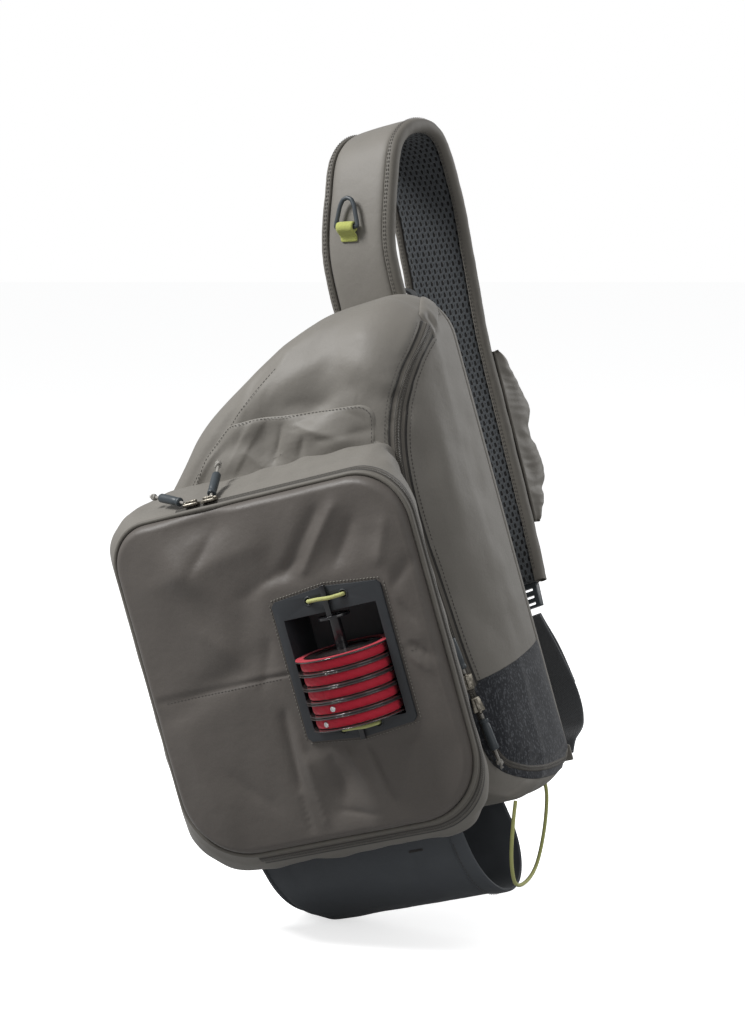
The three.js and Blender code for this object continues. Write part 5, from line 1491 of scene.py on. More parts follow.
@dataclass
class FrontPocket:
    """The deep front pocket: its face, gusset, piping and zip."""

    bench: Bench
    pack: Pack
    width: float = 244.0
    across: float = 2.0
    height: float = 264.0
    depth: float = 66.0
    low: float = 86.0
    crown: float = 7.0
    edge: float = 7.0
    piping: float = 3.6
    cloth: float = 1.5
    face_rows: int = 44
    roll_rows: int = 8
    gusset_rows: int = 46
    gusset_reach: float = 1.24
    seat: float = 0.8
    lip: tuple[float, ...] = (0.012, 0.05, 0.16, 0.34)
    tray_x: float = 49.0
    tray_z: float = 218.0
    tray_width: float = 90.0
    tray_height: float = 116.0
    folds: tuple[Fold, ...] = (
        Fold(0.16, 0.8, 55, 0.2, 0.05, -0.07), Fold(-0.05, 0.72, 50, 0.2, 0.055, 0.07),
        Fold(-0.32, 0.97, 90, 0.06, 0.1, 0.1), Fold(-0.52, 0.84, -50, 0.12, 0.05, -0.05),
        Fold(-0.45, 0.52, 20, 0.3, 0.045, 0.05), Fold(0.35, 0.1, 70, 0.12, 0.05, -0.06),
        Fold(0.12, 0.16, 60, 0.14, 0.05, 0.06))
    creases: tuple[Crease, ...] = (
        Crease((71, 0, 332), (35, 0, 289), 7, -3.6), Crease((57, 0, 332), (19, 0, 290), 9, 3.4),
        Crease((82, 0, 319), (63, 0, 292), 9, 3.0), Crease((33, 0, 299), (-21, 0, 279), 10, 2.4),
        Crease((2, 0, 317), (-93, 0, 302), 22, -3.2), Crease((-29, 0, 334), (-55, 0, 306), 7, 2.6),
        Crease((108, 0, 313), (93, 0, 275), 10, -2.8), Crease((118, 0, 280), (98, 0, 262), 6, 2.6),
        Crease((98, 0, 224), (117, 0, 208), 3.5, 1.9), Crease((97, 0, 213), (113, 0, 200), 3.5, -1.7),
        Crease((-12, 0, 188), (-16, 0, 130), 6, 3.6), Crease((-2, 0, 174), (-2, 0, 127), 8, -2.8),
        Crease((17, 0, 151), (16, 0, 115), 7, 2.8), Crease((31, 0, 156), (43, 0, 120), 7, -3.0),
        Crease((46, 0, 157), (55, 0, 108), 6, 3.6), Crease((-17, 0, 122), (-17, 0, 96), 3.5, 1.9),
        Crease((-3, 0, 123), (-3, 0, 99), 3.5, -1.7), Crease((-99, 0, 200), (-83, 0, 109), 26, -2.8),
        Crease((-6, 0, 245), (-23, 0, 210), 9, 2.2), Crease((95, 0, 164), (67, 0, 114), 14, -2.4),
        Crease((-60, 0, 262), (-30, 0, 228), 14, -1.8), Crease((10, 0, 108), (40, 0, 100), 5, 1.8),
        Crease((-70, 0, 150), (-40, 0, 120), 12, 2.0), Crease((104, 0, 250), (112, 0, 236), 4, 1.6))
    gusset: tuple[tuple[float, ...], ...] = (
        (0.0, 0.0, 0.0, 0.0, 0.0), (0.28, 0.06, 0.2, -0.02, 0.19), (0.56, 0.14, 0.3, -0.12, 0.32),
        (0.82, 0.2, 0.2, -0.27, 0.3), (1.0, 0.23, 0.12, -0.38, 0.2), (1.24, 0.23, 0.1, -0.4, 0.04))

    def __post_init__(self) -> None:
        """Works out the corners of the outline."""
        left, right = self.across - self.width / 2, self.across + self.width / 2
        top = self.low + self.height
        self.top = top
        self.corners = [
            Corner(left, self.low, self.depth * 0.8, 0, 14, 42),
            Corner(right, self.low, self.depth * 0.78, 0, 14, 42),
            Corner(right, top, self.depth * 0.62, 0, 14, 46), Corner(left, top, self.depth * 0.5, 0, 12, 44)]
        self.seam_y = -self.depth + self.edge

    def ring(self, insets: Any, y: float) -> np.ndarray:
        """Returns one ring of the pocket's outline at a depth."""
        values = insets if isinstance(insets, (list, tuple)) else [insets] * 4
        return rounded(self.corners, values, [y] * 4)

    def face_y(self, x: Any, z: Any) -> Any:
        """Returns the depth of the pocket's face at places across and up it."""
        across = (x - self.across) / (self.width / 2)
        up = (z - self.low) / self.height
        crown = (1 - np.minimum(across ** 2, 1)) * (1 - np.minimum((2 * up - 1) ** 2, 1))
        near_x = np.maximum(np.abs(x - self.tray_x) - self.tray_width / 2, 0)
        near_z = np.maximum(np.abs(z - self.tray_z) - self.tray_height / 2, 0)
        near = np.hypot(near_x, near_z)
        away = smoothstep(near, 3, 34)
        fold = sum(f.depth(across, up, self.height / self.width) for f in self.folds) * self.depth
        y = -self.depth + mix(-self.crown, fold - self.crown * crown ** 0.5, away)
        flat = np.stack([x, np.zeros(np.shape(x)), z], axis=-1)
        fine = sum(crease.depth(flat) for crease in self.creases)
        return y + fine * smoothstep(near, 2, 14)

    def build(self) -> None:
        """Builds the pocket and all that is sewn to it."""
        self.build_face()
        self.build_gusset()
        self.build_piping()
        self.build_zip()
        self.build_stitching()

    def build_face(self) -> None:
        """Builds the face with its opening for the tray, its cross seam and its rolled edge."""
        flat = self.ring(self.edge, 0.0)
        hub = np.array([self.tray_x, 0.0, self.tray_z])
        d = flat - hub
        hx, hz = self.tray_width / 2 - 3.5, self.tray_height / 2 - 6.0
        share = 1 / np.maximum(np.abs(d[:, 0]) / hx, np.abs(d[:, 2]) / hz)
        inner = hub + d * share[:, None]
        rows = []
        for f in np.linspace(0, 1, self.face_rows):
            ring = mix(inner, flat, f)
            ring[:, 1] = self.face_y(ring[:, 0], ring[:, 2])
            rows.append(ring)
        last = rows[-1]
        for k in range(1, self.roll_rows + 1):
            a = k / self.roll_rows * math.pi / 2
            ring = self.ring(self.edge * (1 - math.sin(a)), 0.0)
            ring[:, 1] = mix(self.seam_y, last[:, 1], math.cos(a))
            rows.append(ring)
        grid = np.array(rows)
        wave = 1.5 * ripple(grid, 48.0, 21.0, (1, 1, 1.5)) + 0.7 * ripple(grid, 21.0, 33.0, (0.8, 1, 1.5))
        near = np.maximum(np.abs(grid[..., 0] - self.tray_x) - self.tray_width / 2,
                          np.abs(grid[..., 2] - self.tray_z) - self.tray_height / 2)
        calm = smoothstep(near, 1, 12) * smoothstep(np.arange(len(grid))[::-1], 0, 7)[:, None]
        seam_z = 217.0 + 0.006 * (grid[..., 0] - 2.0)
        off = grid[..., 2] - seam_z
        seam = 1.3 * np.exp(-(off / 1.3) ** 2) - 0.5 * np.exp(-((off - 4.0) / 2.5) ** 2)
        hem = smoothstep(np.arange(len(grid))[::-1], 5, 9)[:, None]
        grid[..., 1] += wave * calm + seam * smoothstep(near, 0, 3) * hem
        piece = self.bench.sheet("pocket_front", grid, loop=True, outward=(2.0, 0.0, 218.0), size=(1.0, 0.12))
        self.ground = Ground(piece)
        self.bench.apply(piece, "SUBSURF", levels=1, render_levels=1)
        self.bench.thicken(piece, self.cloth)
        self.bench.fit(piece, Finish.FACE.material(), Finish.FACE.slot, ["pocket_face"])

    def growth(self, back: float, lift: float = 0.0) -> list[float]:
        """Returns the insets of the gusset's ring at a share of the way back."""
        table = np.array(self.gusset)
        shares = table[:, 0]
        grown = []
        for column in (4, 3, 1, 2):
            values = table[:, column]
            slopes = np.gradient(values, shares)
            i = min(max(int(np.searchsorted(shares, back) - 1), 0), len(shares) - 2)
            h = shares[i + 1] - shares[i]
            t = (back - shares[i]) / h
            value = ((2 * t ** 3 - 3 * t ** 2 + 1) * values[i] + (t ** 3 - 2 * t ** 2 + t) * h * slopes[i]
                     + (-2 * t ** 3 + 3 * t ** 2) * values[i + 1] + (t ** 3 - t ** 2) * h * slopes[i + 1])
            grown.append(-value * self.depth - lift)
        return grown

    def gusset_ring(self, back: float, lift: float = 0.0) -> np.ndarray:
        """Returns one ring of the gusset."""
        return self.ring(self.growth(back, lift), mix(self.seam_y + 0.3, 0.0, back))

    def build_gusset(self) -> None:
        """Builds the gusset, which swells between the face and the pack."""
        rows = [self.gusset_ring(back) for back in np.linspace(0, self.gusset_reach, self.gusset_rows)]
        grid = np.array(rows)
        normals = grid_normals(grid, True)
        if np.sum(normals[20] * (grid[20] - np.array([2.0, -30.0, 218.0]))) < 0:
            normals = -normals
        count = grid.shape[1]
        turn = np.arange(count) / count * 2 * math.pi
        share = np.linspace(0, 1, len(grid))[:, None]
        calm = smoothstep(share, 0.24, 0.45) * (1 - smoothstep(share, 0.85, 1.0))
        wave = 2.6 * ripple(grid, 36.0, 41.0, (0.7, 2.2, 0.7)) + 1.2 * ripple(grid, 15.0, 52.0,
                                                                              (0.8, 1.8, 0.8))
        bed = 1.0 * np.exp(-((share * self.gusset_reach - 0.15) / 0.1) ** 4)
        ruck = 1.4 * np.exp(-((share - 0.52) / 0.09) ** 2) * (0.6 + 0.4 * np.sin(turn * 7)[None, :])
        grid = grid - normals * (wave * calm + bed * 0.8 + ruck * 0.6)[..., None]
        ground = self.pack.ground
        for j in range(count):
            for i in range(len(grid) - 1, 24, -1):
                x, y, z = grid[i, j]
                hit = ground.tree.ray_cast(Vector(in_frame((x, -90.0, z))), Vector((0, 1, 0)), 0.25)
                if hit[0] is not None:
                    surface = in_bag(np.array(hit[0]))[1]
                    if y > surface + self.seat:
                        grid[i, j, 1] = surface + self.seat
        hub = grid[-1].mean(axis=0) * (1, 0, 1)
        lip = [mix(grid[-1], hub + grid[-1] * (0, 1, 0), share) for share in self.lip]
        grid = np.concatenate([grid, np.array(lip)])
        piece = self.bench.sheet("pocket_side", grid, loop=True, outward=(2.0, -30.0, 218.0),
                                 size=(1.0, 0.08))
        self.side_ground = Ground(piece)
        self.bench.apply(piece, "SUBSURF", levels=1, render_levels=1)
        self.bench.thicken(piece, self.cloth)
        self.bench.fit(piece, Finish.SHELL.material(), Finish.SHELL.slot, ["pocket_gusset"])

    def build_piping(self) -> None:
        """Builds the piped seam between the face and the gusset."""
        ring = self.ring(-self.piping * 0.36, self.seam_y - 1.2)
        ring[:, 1] += 0.35 * ripple(ring, 25.0, 7.0)
        ring[:, 0::2] += 0.3 * ripple(ring, 31.0, 9.0)[:, None]
        piece = self.bench.tube("pocket_piping_cord", ring, self.piping, loop=True, resolution=4)
        self.bench.smooth(piece)
        self.bench.fit(piece, Finish.BINDING.material(), Finish.BINDING.slot, ["pocket_piping"])

    def zip_columns(self, count: int) -> tuple[Grid, Grid]:
        """Returns the zip's middle line along the gusset and its outward directions."""
        coarse = [
            Corner(c.x, c.z, c.radius, 0, 4, steps) for c, steps in zip(self.corners, (5, 5, 6, 5))]
        ring = rounded(coarse, self.growth(0.15), [mix(self.seam_y + 0.3, 0.0, 0.15)] * 4)[4:28]
        fine = self.gusset_ring(0.15)
        run = np.concatenate([fine, fine, fine[:1]])
        first = int(np.argmin(np.linalg.norm(fine - ring[0], axis=1)))
        last = int(np.argmin(np.linalg.norm(fine - ring[-1], axis=1)))
        if last < first:
            last += len(fine)
        line = run[first:last + 1]
        length = np.concatenate([[0.0], np.cumsum(np.linalg.norm(np.diff(line, axis=0), axis=1))])
        want = np.linspace(0, length[-1], count)
        line = np.stack([np.interp(want, length, line[:, c]) for c in range(3)], axis=1)
        along = unit(np.gradient(line, axis=0))
        outward = unit(np.cross(along, np.array([0.0, 1.0, 0.0])))
        middle = np.array([2.0, line[0, 1], 218.0])
        if np.sum(outward * (line - middle)) < 0:
            outward = -outward
        return line, outward

    def build_zip(self) -> None:
        """Builds the pocket's zip, round its top, right side and base."""
        line, outward = self.zip_columns(260)
        offsets = (-7.0, -5.0, -3.0, -2.1, -1.0, 0.0, 1.0, 2.1, 3.0, 5.0, 7.0)
        lifts = (0.6, 1.3, 1.4, 2.4, 2.9, 2.6, 2.9, 2.4, 1.4, 1.3, 0.6)
        rows = []
        for offset, lift in zip(offsets, lifts):
            moved = line + np.array([0.0, offset, 0.0])
            laid = self.side_ground.lay(moved, outward, 0.0, 14.0)
            rows.append(laid + outward * lift)
        grid = np.array(rows)
        piece = self.bench.sheet("pocket_zip_tape", grid, outward=(2.0, -45.0, 218.0), size=(0.72, 0.014))
        self.bench.apply(piece, "SUBSURF", levels=1, render_levels=1)
        self.bench.thicken(piece, 0.9)
        self.bench.fit(piece, Finish.MAIN_TAPE.material(), Finish.MAIN_TAPE.slot, ["pocket_zip"])

    def build_stitching(self) -> None:
        """Builds the stitches along the cross seam and the running stitches round the tray."""
        out = np.array([0.0, -1.0, 0.0])
        made = []
        for start, end in ((-109.0, -1.5), (99.5, 114.0)):
            xs = np.linspace(start, end, 60)
            line = np.stack([xs, np.zeros(60) - 70, 214.6 + 0.006 * (xs - 2.0)], axis=1)
            laid = self.ground.lay(line, out, 0.05, 40.0)
            made.append(self.bench.seam_stitches(f"seam_row_{len(made)}", laid,
                                                 np.broadcast_to(out, laid.shape),
                                                 3.0, 2.1, 0.5))
        seam = self.bench.join("pocket_stitching", made)
        self.bench.fit(seam, Finish.DARK_THREAD.material(), Finish.DARK_THREAD.slot)
        hx, hz, peak = self.tray_width / 2, self.tray_height / 2, 4.0
        corners = np.array([(-hx, -hz + peak + 1), (0, -hz), (hx, -hz + peak + 1), (hx, hz - peak - 1),
                            (0, hz),
                            (-hx, hz - peak - 1)], float)
        starts, ends = [], []
        for a, b in zip(corners, np.roll(corners, -1, axis=0)):
            length = float(np.linalg.norm(b - a))
            along = (b - a) / length
            aside = np.array([along[1], -along[0]]) * 2.3
            for run in np.arange(0.6, length - 0.8, 2.7):
                starts.append(a + along * run + aside)
                ends.append(a + along * (run + 1.7) + aside)
        starts, ends = np.array(starts), np.array(ends)
        lead, tail = (np.stack([p[:, 0] + self.tray_x, np.full(len(p), -72.0), p[:, 1] + self.tray_z], axis=1)
                      for p in (starts, ends))
        lead, tail = (self.ground.lay(p, out, 0.15, 30.0) for p in (lead, tail))
        piece = self.bench.dashes("tray_edge_stitching", lead, tail, np.broadcast_to(out, lead.shape), 0.9)
        self.bench.fit(piece, Finish.PALE_THREAD.material(), Finish.PALE_THREAD.slot)


# The spool tray


@dataclass
class SpoolTray:
    """The moulded tray with its spindle, spools, bands and elastic cords."""

    bench: Bench
    x: float = 49.0
    z: float = 218.0
    front: float = -75.4
    set_back: float = 5.0
    half_height: float = 58.0
    pitch: float = 10.9
    count: int = 5
    spool_radius: float = 37.0
    flange: float = 1.1
    band_radius: float = 33.0
    spread: float = 29.0
    rim_radius: float = 36.4
    rim_width: float = 6.2
    eyelets: tuple[tuple[int, Point], ...] = ((1, (-0.453, -0.891)), (2, (-0.154, -0.988)))

    def __post_init__(self) -> None:
        """Works out the heights of the stack."""
        self.low = self.z - self.half_height + 13.0
        self.spindle_y = self.front + self.set_back

    def build(self) -> None:
        """Builds the tray and what it holds."""
        self.build_tray()
        self.build_bar()
        self.build_spools()
        self.build_elastics()

    def build_tray(self) -> None:
        """Softens the edges of the tray's own solid and adds its eyelet rims."""
        piece = self.bench.from_node("spool_tray", "tray_moulding")
        self.bench.apply(piece, "BEVEL", width=0.0006, segments=2, limit_method="ANGLE",
                         angle_limit=math.radians(35), use_clamp_overlap=True)
        self.bench.smooth(piece, 40)
        self.bench.fit(piece, Finish.TRAY.material(), Finish.TRAY.slot, ["spool_tray"])
        rims = []
        for z in (self.z - self.half_height + 8.5, self.z + self.half_height - 8.5):
            for side in (-1, 1):
                self.bench.clear()
                bpy.ops.mesh.primitive_torus_add(major_radius=0.0031, minor_radius=0.0006, major_segments=28,
                                                 minor_segments=8, rotation=(math.pi / 2, 0, 0))
                rim = self.bench.settle(self.bench.named(f"eyelet_rim_{len(rims) + 1}"))
                rims.append(self.bench.place(rim, (self.x + side * self.spread / 2, self.front - 0.1, z)))
        rim = self.bench.join("eyelet_rims", rims)
        self.bench.smooth(rim)
        self.bench.fit(rim, Finish.TRAY.material(), Finish.TRAY.slot)

    def build_bar(self) -> None:
        """Builds the bar with its spindle and stop disc."""
        piece = self.bench.from_node("spool_bar", "spindle_bar")
        self.bench.apply(piece, "BEVEL", width=0.0005, segments=3, limit_method="ANGLE",
                         angle_limit=math.radians(40), use_clamp_overlap=True)
        self.bench.smooth(piece, 40)
        self.bench.fit(piece, Finish.BLACK.material(), Finish.BLACK.slot, ["spool_bar"])

    def build_spool(self, name: str) -> bpy.types.Object:
        """Builds one spool about the frame's origin, from a hub and two flanges that are drawn out."""
        half = (self.pitch - 0.5) / 2
        parts = []
        for low, high, sign in ((-half, -half + self.flange, -1), (half - self.flange, half, 1)):
            disc = self.bench.cylinder(f"{name}_flange", self.spool_radius, low, high, 72)
            outer = (low if sign < 0 else high) / 1000
            self.bench.choose(disc, lambda f, at=outer: abs(f.center.z - at) < 1e-5)
            self.bench.edit(
                disc,
                lambda: bpy.ops.mesh.inset(thickness=0.0022, depth=0.0),
                lambda: bpy.ops.mesh.inset(thickness=0.0006, depth=-0.0004),
                lambda: bpy.ops.mesh.inset(thickness=0.0165, depth=0.0),
                lambda: bpy.ops.mesh.inset(thickness=0.0008, depth=0.0004))
            self.bench.apply(disc, "BEVEL", width=0.00035, segments=3, limit_method="ANGLE",
                             angle_limit=math.radians(40))
            parts.append(disc)
        hub = self.bench.cylinder(f"{name}_hub", 11.0, -half + self.flange * 0.5,
                                  half - self.flange * 0.5, 48)
        parts.append(hub)
        spool = self.bench.join(name, parts)
        self.bench.smooth(spool, 35)
        return spool

    def build_band(self, name: str) -> bpy.types.Object:
        """Builds one elastic band about the frame's origin: a ring with turned edges."""
        half = (self.pitch - 0.5) / 2 - self.flange - 0.9
        band = self.bench.cylinder(name, self.band_radius, -half, half, 96)
        self.bench.choose(band, lambda f: abs(f.normal.z) > 0.9)
        self.bench.edit(
            band,
            lambda: bpy.ops.mesh.inset(thickness=0.0016, depth=0.0),
            lambda: bpy.ops.mesh.delete(type="FACE"))
        self.bench.choose(band, lambda f: abs(f.normal.z) < 0.5)
        self.bench.edit(band, lambda: bpy.ops.mesh.subdivide(number_cuts=3))
        for vertex in band.data.vertices:
            share = min(abs(vertex.co.z) / (half / 1000), 1.0)
            radius = math.hypot(vertex.co.x, vertex.co.y)
            turn = math.atan2(vertex.co.y, vertex.co.x)
            if radius > 0.0325:
                swell = 0.00055 * (1 - share ** 2) + 0.00018 * math.sin(turn * 23 + vertex.co.z * 900)
                vertex.co.x *= (radius + swell) / radius
                vertex.co.y *= (radius + swell) / radius
        layer = band.data.uv_layers.active.data
        for loop, uv in zip(band.data.loops, layer):
            co = band.data.vertices[loop.vertex_index].co
            uv.uv = (math.atan2(co.y, co.x) * self.band_radius / 1000, co.z)
        self.bench.smooth(band, 45)
        return band

    def build_line(self, name: str) -> bpy.types.Object:
        """Builds the wound line under a band, as a stack of fine turns about the frame's origin."""
        half = (self.pitch - 0.5) / 2 - self.flange - 0.3
        roll = self.bench.cylinder(name, self.band_radius - 2.6, -half, half, 64)
        self.bench.choose(roll, lambda f: abs(f.normal.z) < 0.5)
        self.bench.edit(roll, lambda: bpy.ops.mesh.subdivide(number_cuts=7, ngon=False))
        for vertex in roll.data.vertices:
            radius = math.hypot(vertex.co.x, vertex.co.y)
            swell = 0.00022 * math.cos(vertex.co.z * 1000 * 2 * math.pi / 1.9)
            vertex.co.x *= (radius + swell) / radius
            vertex.co.y *= (radius + swell) / radius
        self.bench.smooth(roll, 60)
        return roll

    def build_spools(self) -> None:
        """Builds one spool, band and roll of line and copies them up the spindle."""
        spool = self.build_spool("spool_1_reel")
        band = self.build_band("spool_1_band")
        line = self.build_line("spool_1_line")
        for i in range(self.count):
            centre = (self.x, self.spindle_y, self.low + (i + 0.5) * self.pitch)
            body = f"turning_spool_{i + 1}"
            turn = Matrix.Rotation(math.radians(37 * i), 4, "Z")
            for source, finish, nodes in (
                    (spool, Finish.SMOKE, [f"spool_{i + 1}"]), (band, Finish.RED, [f"spool_band_{i + 1}"]),
                    (line, Finish.PULL_CORD, [])):
                kind = source.name.split("_")[-1]
                piece = self.bench.copy(source, f"reel_{i + 1}_{kind}")
                piece.data.transform(turn)
                self.bench.place(piece, centre)
                self.bench.fit(piece, finish.material(), finish.slot, nodes, body)
        for source in (spool, band, line):
            bpy.data.objects.remove(source, do_unlink=True)
        self.build_rim()
        self.build_rivets()

    def build_rim(self) -> None:
        """Builds the red ring that lies on the rim of the top spool."""
        top = (self.pitch - 0.5) / 2
        disc = self.bench.cylinder("reel_5_rim", self.rim_radius, top - 0.1, top + 0.25, 96)
        self.bench.choose(disc, lambda f: abs(f.normal.z) > 0.9)
        self.bench.edit(
            disc,
            lambda: bpy.ops.mesh.inset(thickness=self.rim_width / 1000, depth=0.0),
            lambda: bpy.ops.mesh.delete(type="FACE"))
        self.bench.place(disc, (self.x, self.spindle_y, self.low + (self.count - 0.5) * self.pitch))
        self.bench.smooth(disc, 30)
        self.bench.fit(disc, Finish.RED.material(), Finish.RED.slot, (), f"turning_spool_{self.count}")

    def build_rivets(self) -> None:
        """Builds the small plated eyelets in the two lowest bands."""
        for number, turn in self.eyelets:
            rim = []
            self.bench.clear()
            bpy.ops.mesh.primitive_torus_add(major_radius=0.0017, minor_radius=0.0006, major_segments=28,
                                             minor_segments=10)
            rim.append(self.bench.settle(self.bench.named(f"reel_{number}_eyelet")))
            floor = self.bench.cylinder(f"reel_{number}_floor", 1.5, -0.3, 0.0, 24)
            rim.append(floor)
            piece = self.bench.join(f"reel_{number}_eyelet", rim)
            out = unit(np.array([turn[0], turn[1], 0.0]))
            side = np.array([-out[1], out[0], 0.0])
            centre = np.array([self.x, self.spindle_y, self.low + (number - 0.5) * self.pitch])
            self.bench.place(piece, centre + out * (self.band_radius + 0.7),
                             np.array([side, np.cross(out, side), out]))
            self.bench.smooth(piece, 40)
            self.bench.fit(piece, Finish.CHROME.material(), Finish.CHROME.slot, (), f"turning_spool_{number}")

    def build_elastics(self) -> None:
        """Builds the two elastic cords that hold the bar's ends."""
        for name, z in (("lower", self.z - self.half_height + 8.5),
                        ("upper", self.z + self.half_height - 8.5)):
            s, x, y = self.spread / 2, self.x, self.front
            out = y - 4.5
            knots = np.array([
                (x - s, y + 7, z), (x - s, y + 2, z), (x - s + 0.4, y - 1.2, z),
                (x - s + 4.4, y - 2.6, z + 0.2),
                (x - 4.5, out, z + 0.3), (x, out - 0.2, z), (x + 4.5, out, z - 0.3),
                (x + s - 4.4, y - 2.6, z - 0.2),
                (x + s - 0.4, y - 1.2, z), (x + s, y + 2, z), (x + s, y + 7, z)])
            line = Route(knots).evenly(64)
            piece = self.bench.tube(f"tray_cord_{name}", line, 3.0, resolution=5)
            self.bench.smooth(piece)
            self.bench.fit(piece, Finish.LIME_CORD.material(), Finish.LIME_CORD.slot,
                           [f"tray_elastic_{name}"])


# The bottle sleeve


@dataclass
class BottleSleeve:
    """The stretch-cloth sleeve under the base, with its hem and retention cord."""

    bench: Bench
    pack: Pack
    base: float = 74.0
    bore: float = 90.0
    length: float = 174.0
    left: float = -106.0
    set_back: float = 49.0
    cloth: float = 1.6
    gap: float = 0.3
    end_lean: float = 22.0
    mouth_lean: float = 12.0
    cord: float = 3.0
    stations: tuple[tuple[float, float, float], ...] = (
        (0.0, 0.8, 1.0), (0.05, 0.92, 0.8), (0.14, 0.99, 0.5), (0.3, 1.0, 0.2), (0.65, 1.0, 0.0),
        (0.9, 1.0, -0.6), (1.0, 1.0, -1.0))

    def section(self, drop: float, lift: float, arc: int = 44, run: int = 9) -> np.ndarray:
        """Returns the section of the sleeve at a share of its drop, as rows of y and z."""
        radius = self.bore / 2 + lift
        middle = self.bore / 2 + self.cloth
        top = self.base - self.gap
        points = [(-radius, mix(top, middle, k / run)) for k in range(run)]
        points += [(-radius * math.cos(a), middle - radius * math.sin(a))
                   for a in np.linspace(0, math.pi, arc)]
        points += [(radius, mix(middle, top, k / run)) for k in range(1, run + 1)]
        section = np.array(points)
        section[:, 1] = mix(top, section[:, 1], drop)
        return section

    def station(self, along: float) -> tuple[float, float]:
        """Returns the drop and the lean at a share of the sleeve's length."""
        table = np.array(self.stations)
        at = np.linspace(0, 1, 401)
        drop = np.interp(at, table[:, 0], table[:, 1])
        lean = np.interp(at, table[:, 0], table[:, 2])
        kernel = np.hanning(31)
        kernel /= kernel.sum()
        drop = np.convolve(np.pad(drop, 15, mode="edge"), kernel, "valid")
        lean = np.convolve(np.pad(lean, 15, mode="reflect", reflect_type="odd"), kernel, "valid")
        return float(np.interp(along, at, drop)), float(np.interp(along, at, lean))

    def row(self, along: float, lift: float) -> np.ndarray:
        """Returns the points of the sleeve at a share of its length."""
        drop, lean = self.station(along)
        section = self.section(drop, lift)
        low = 1 - section[:, 1] / self.base
        reach = self.end_lean * lean if lean > 0 else -self.mouth_lean * lean
        x = self.left + along * self.length + low * reach
        return np.stack([x, self.set_back + section[:, 0], section[:, 1]], axis=1)

    def build(self) -> None:
        """Builds the sleeve and its parts."""
        self.build_wall()
        self.build_end()
        self.build_hem()
        self.build_cord()

    def seat(self, grid: Grid) -> Grid:
        """Returns the grid with its upper edges drawn up to the pack above them."""
        tree = self.pack.ground.tree
        grid = grid.copy()
        count = grid.shape[1]
        for i in range(len(grid)):
            for j, inner in ((0, 1), (count - 1, -1)):
                x, y, z = grid[i, j]
                hit = tree.ray_cast(Vector(in_frame((x, y, z - 4.0))), Vector((0, 0, 1)), 0.04)
                if hit[0] is None:
                    continue
                rise = in_bag(np.array(hit[0]))[2] - 0.4 - z
                if abs(rise) < 24:
                    for k in range(8):
                        share = (1 - k / 8) ** 2
                        grid[i, j + inner * k, 2] += rise * share
        return grid

    def build_wall(self) -> None:
        """Builds the sleeve's cloth with its pull folds and the soft dents between them."""
        shares = np.concatenate([np.linspace(0, 0.12, 12)[:-1], np.linspace(0.12, 0.88, 46)[:-1],
                                 np.linspace(0.88, 1.0, 14)])
        grid = np.array([self.row(float(a), self.cloth) for a in shares])
        normals = grid_normals(grid, False)
        middle = np.array([-20.0, self.set_back, 46.0])
        if np.sum(normals[30] * (grid[30] - middle)) < 0:
            normals = -normals
        along = shares[:, None]
        low = 1 - np.clip(grid[..., 2] / self.base, 0, 1)
        calm = smoothstep(along, 0.0, 0.06) * (1 - smoothstep(along, 0.93, 1.0))
        wave = (1.5 * ripple(grid, 34.0, 61.0, (1.6, 0.8, 0.8)) + 0.7
                * ripple(grid, 14.0, 72.0, (1.4, 0.8, 0.8)))
        pull = 1.4 * np.exp(-((along - 0.10 - 0.16 * low) / 0.03) ** 2) * (1 - low)
        pull += 1.0 * np.exp(-((along - 0.24 - 0.20 * low) / 0.03) ** 2) * (1 - low) ** 2
        pull += 1.1 * np.exp(-((along - 0.80 + 0.14 * low) / 0.025) ** 2) * (1 - low)
        grid = grid - normals * ((np.maximum(wave, -0.9) * calm + pull * calm) * smoothstep(1 - low, 0.0, 0.1)
                                 + np.maximum(wave * calm, 0) * 0.6 * low)[..., None]
        grid = self.seat(grid)
        piece = self.bench.sheet("sleeve_cloth", grid, outward=tuple(middle), size=(0.26, 0.18))
        self.ground = Ground(piece)
        self.bench.apply(piece, "SUBSURF", levels=1, render_levels=1)
        self.bench.thicken(piece, 1.4)
        self.bench.fit(piece, Finish.STRETCH.material(), Finish.STRETCH.slot, ["bottle_sleeve"])

    def build_end(self) -> None:
        """Builds the panel that closes the sleeve's left end, a little sunk in its middle."""
        edge = self.row(0.0, -0.2) + np.array([0.8, 0.0, 0.0])
        top = mix(edge[0], edge[-1], 0.5)
        hub = np.array([edge[:, 0].mean() + 2.5, self.set_back, top[2] * 0.62])
        across = np.linspace(0, 1, len(edge))
        rows = []
        for f in np.linspace(0, 1, 18):
            line = mix(edge[0], edge[-1], across[:, None])
            ring = mix(edge, line, f)
            ring[:, 0] += 3.0 * math.sin(math.pi * min(f * 1.2, 1)) * np.sin(math.pi * across)
            rows.append(ring)
        grid = np.array(rows)
        piece = self.bench.sheet("sleeve_end_panel", grid,
                                 outward=(float(hub[0]) + 30, self.set_back, float(hub[2])),
                                 size=(0.24, 0.06))
        self.bench.thicken(piece, 1.3)
        self.bench.fit(piece, Finish.STRETCH.material(), Finish.STRETCH.slot, ["sleeve_end"])
        rim = self.row(0.004, self.cloth + 0.3)
        piece = self.bench.tube("sleeve_end_seam", rim[2:-2], 2.6, resolution=4)
        self.bench.smooth(piece)
        self.bench.fit(piece, Finish.STRETCH.material(), Finish.STRETCH.slot)

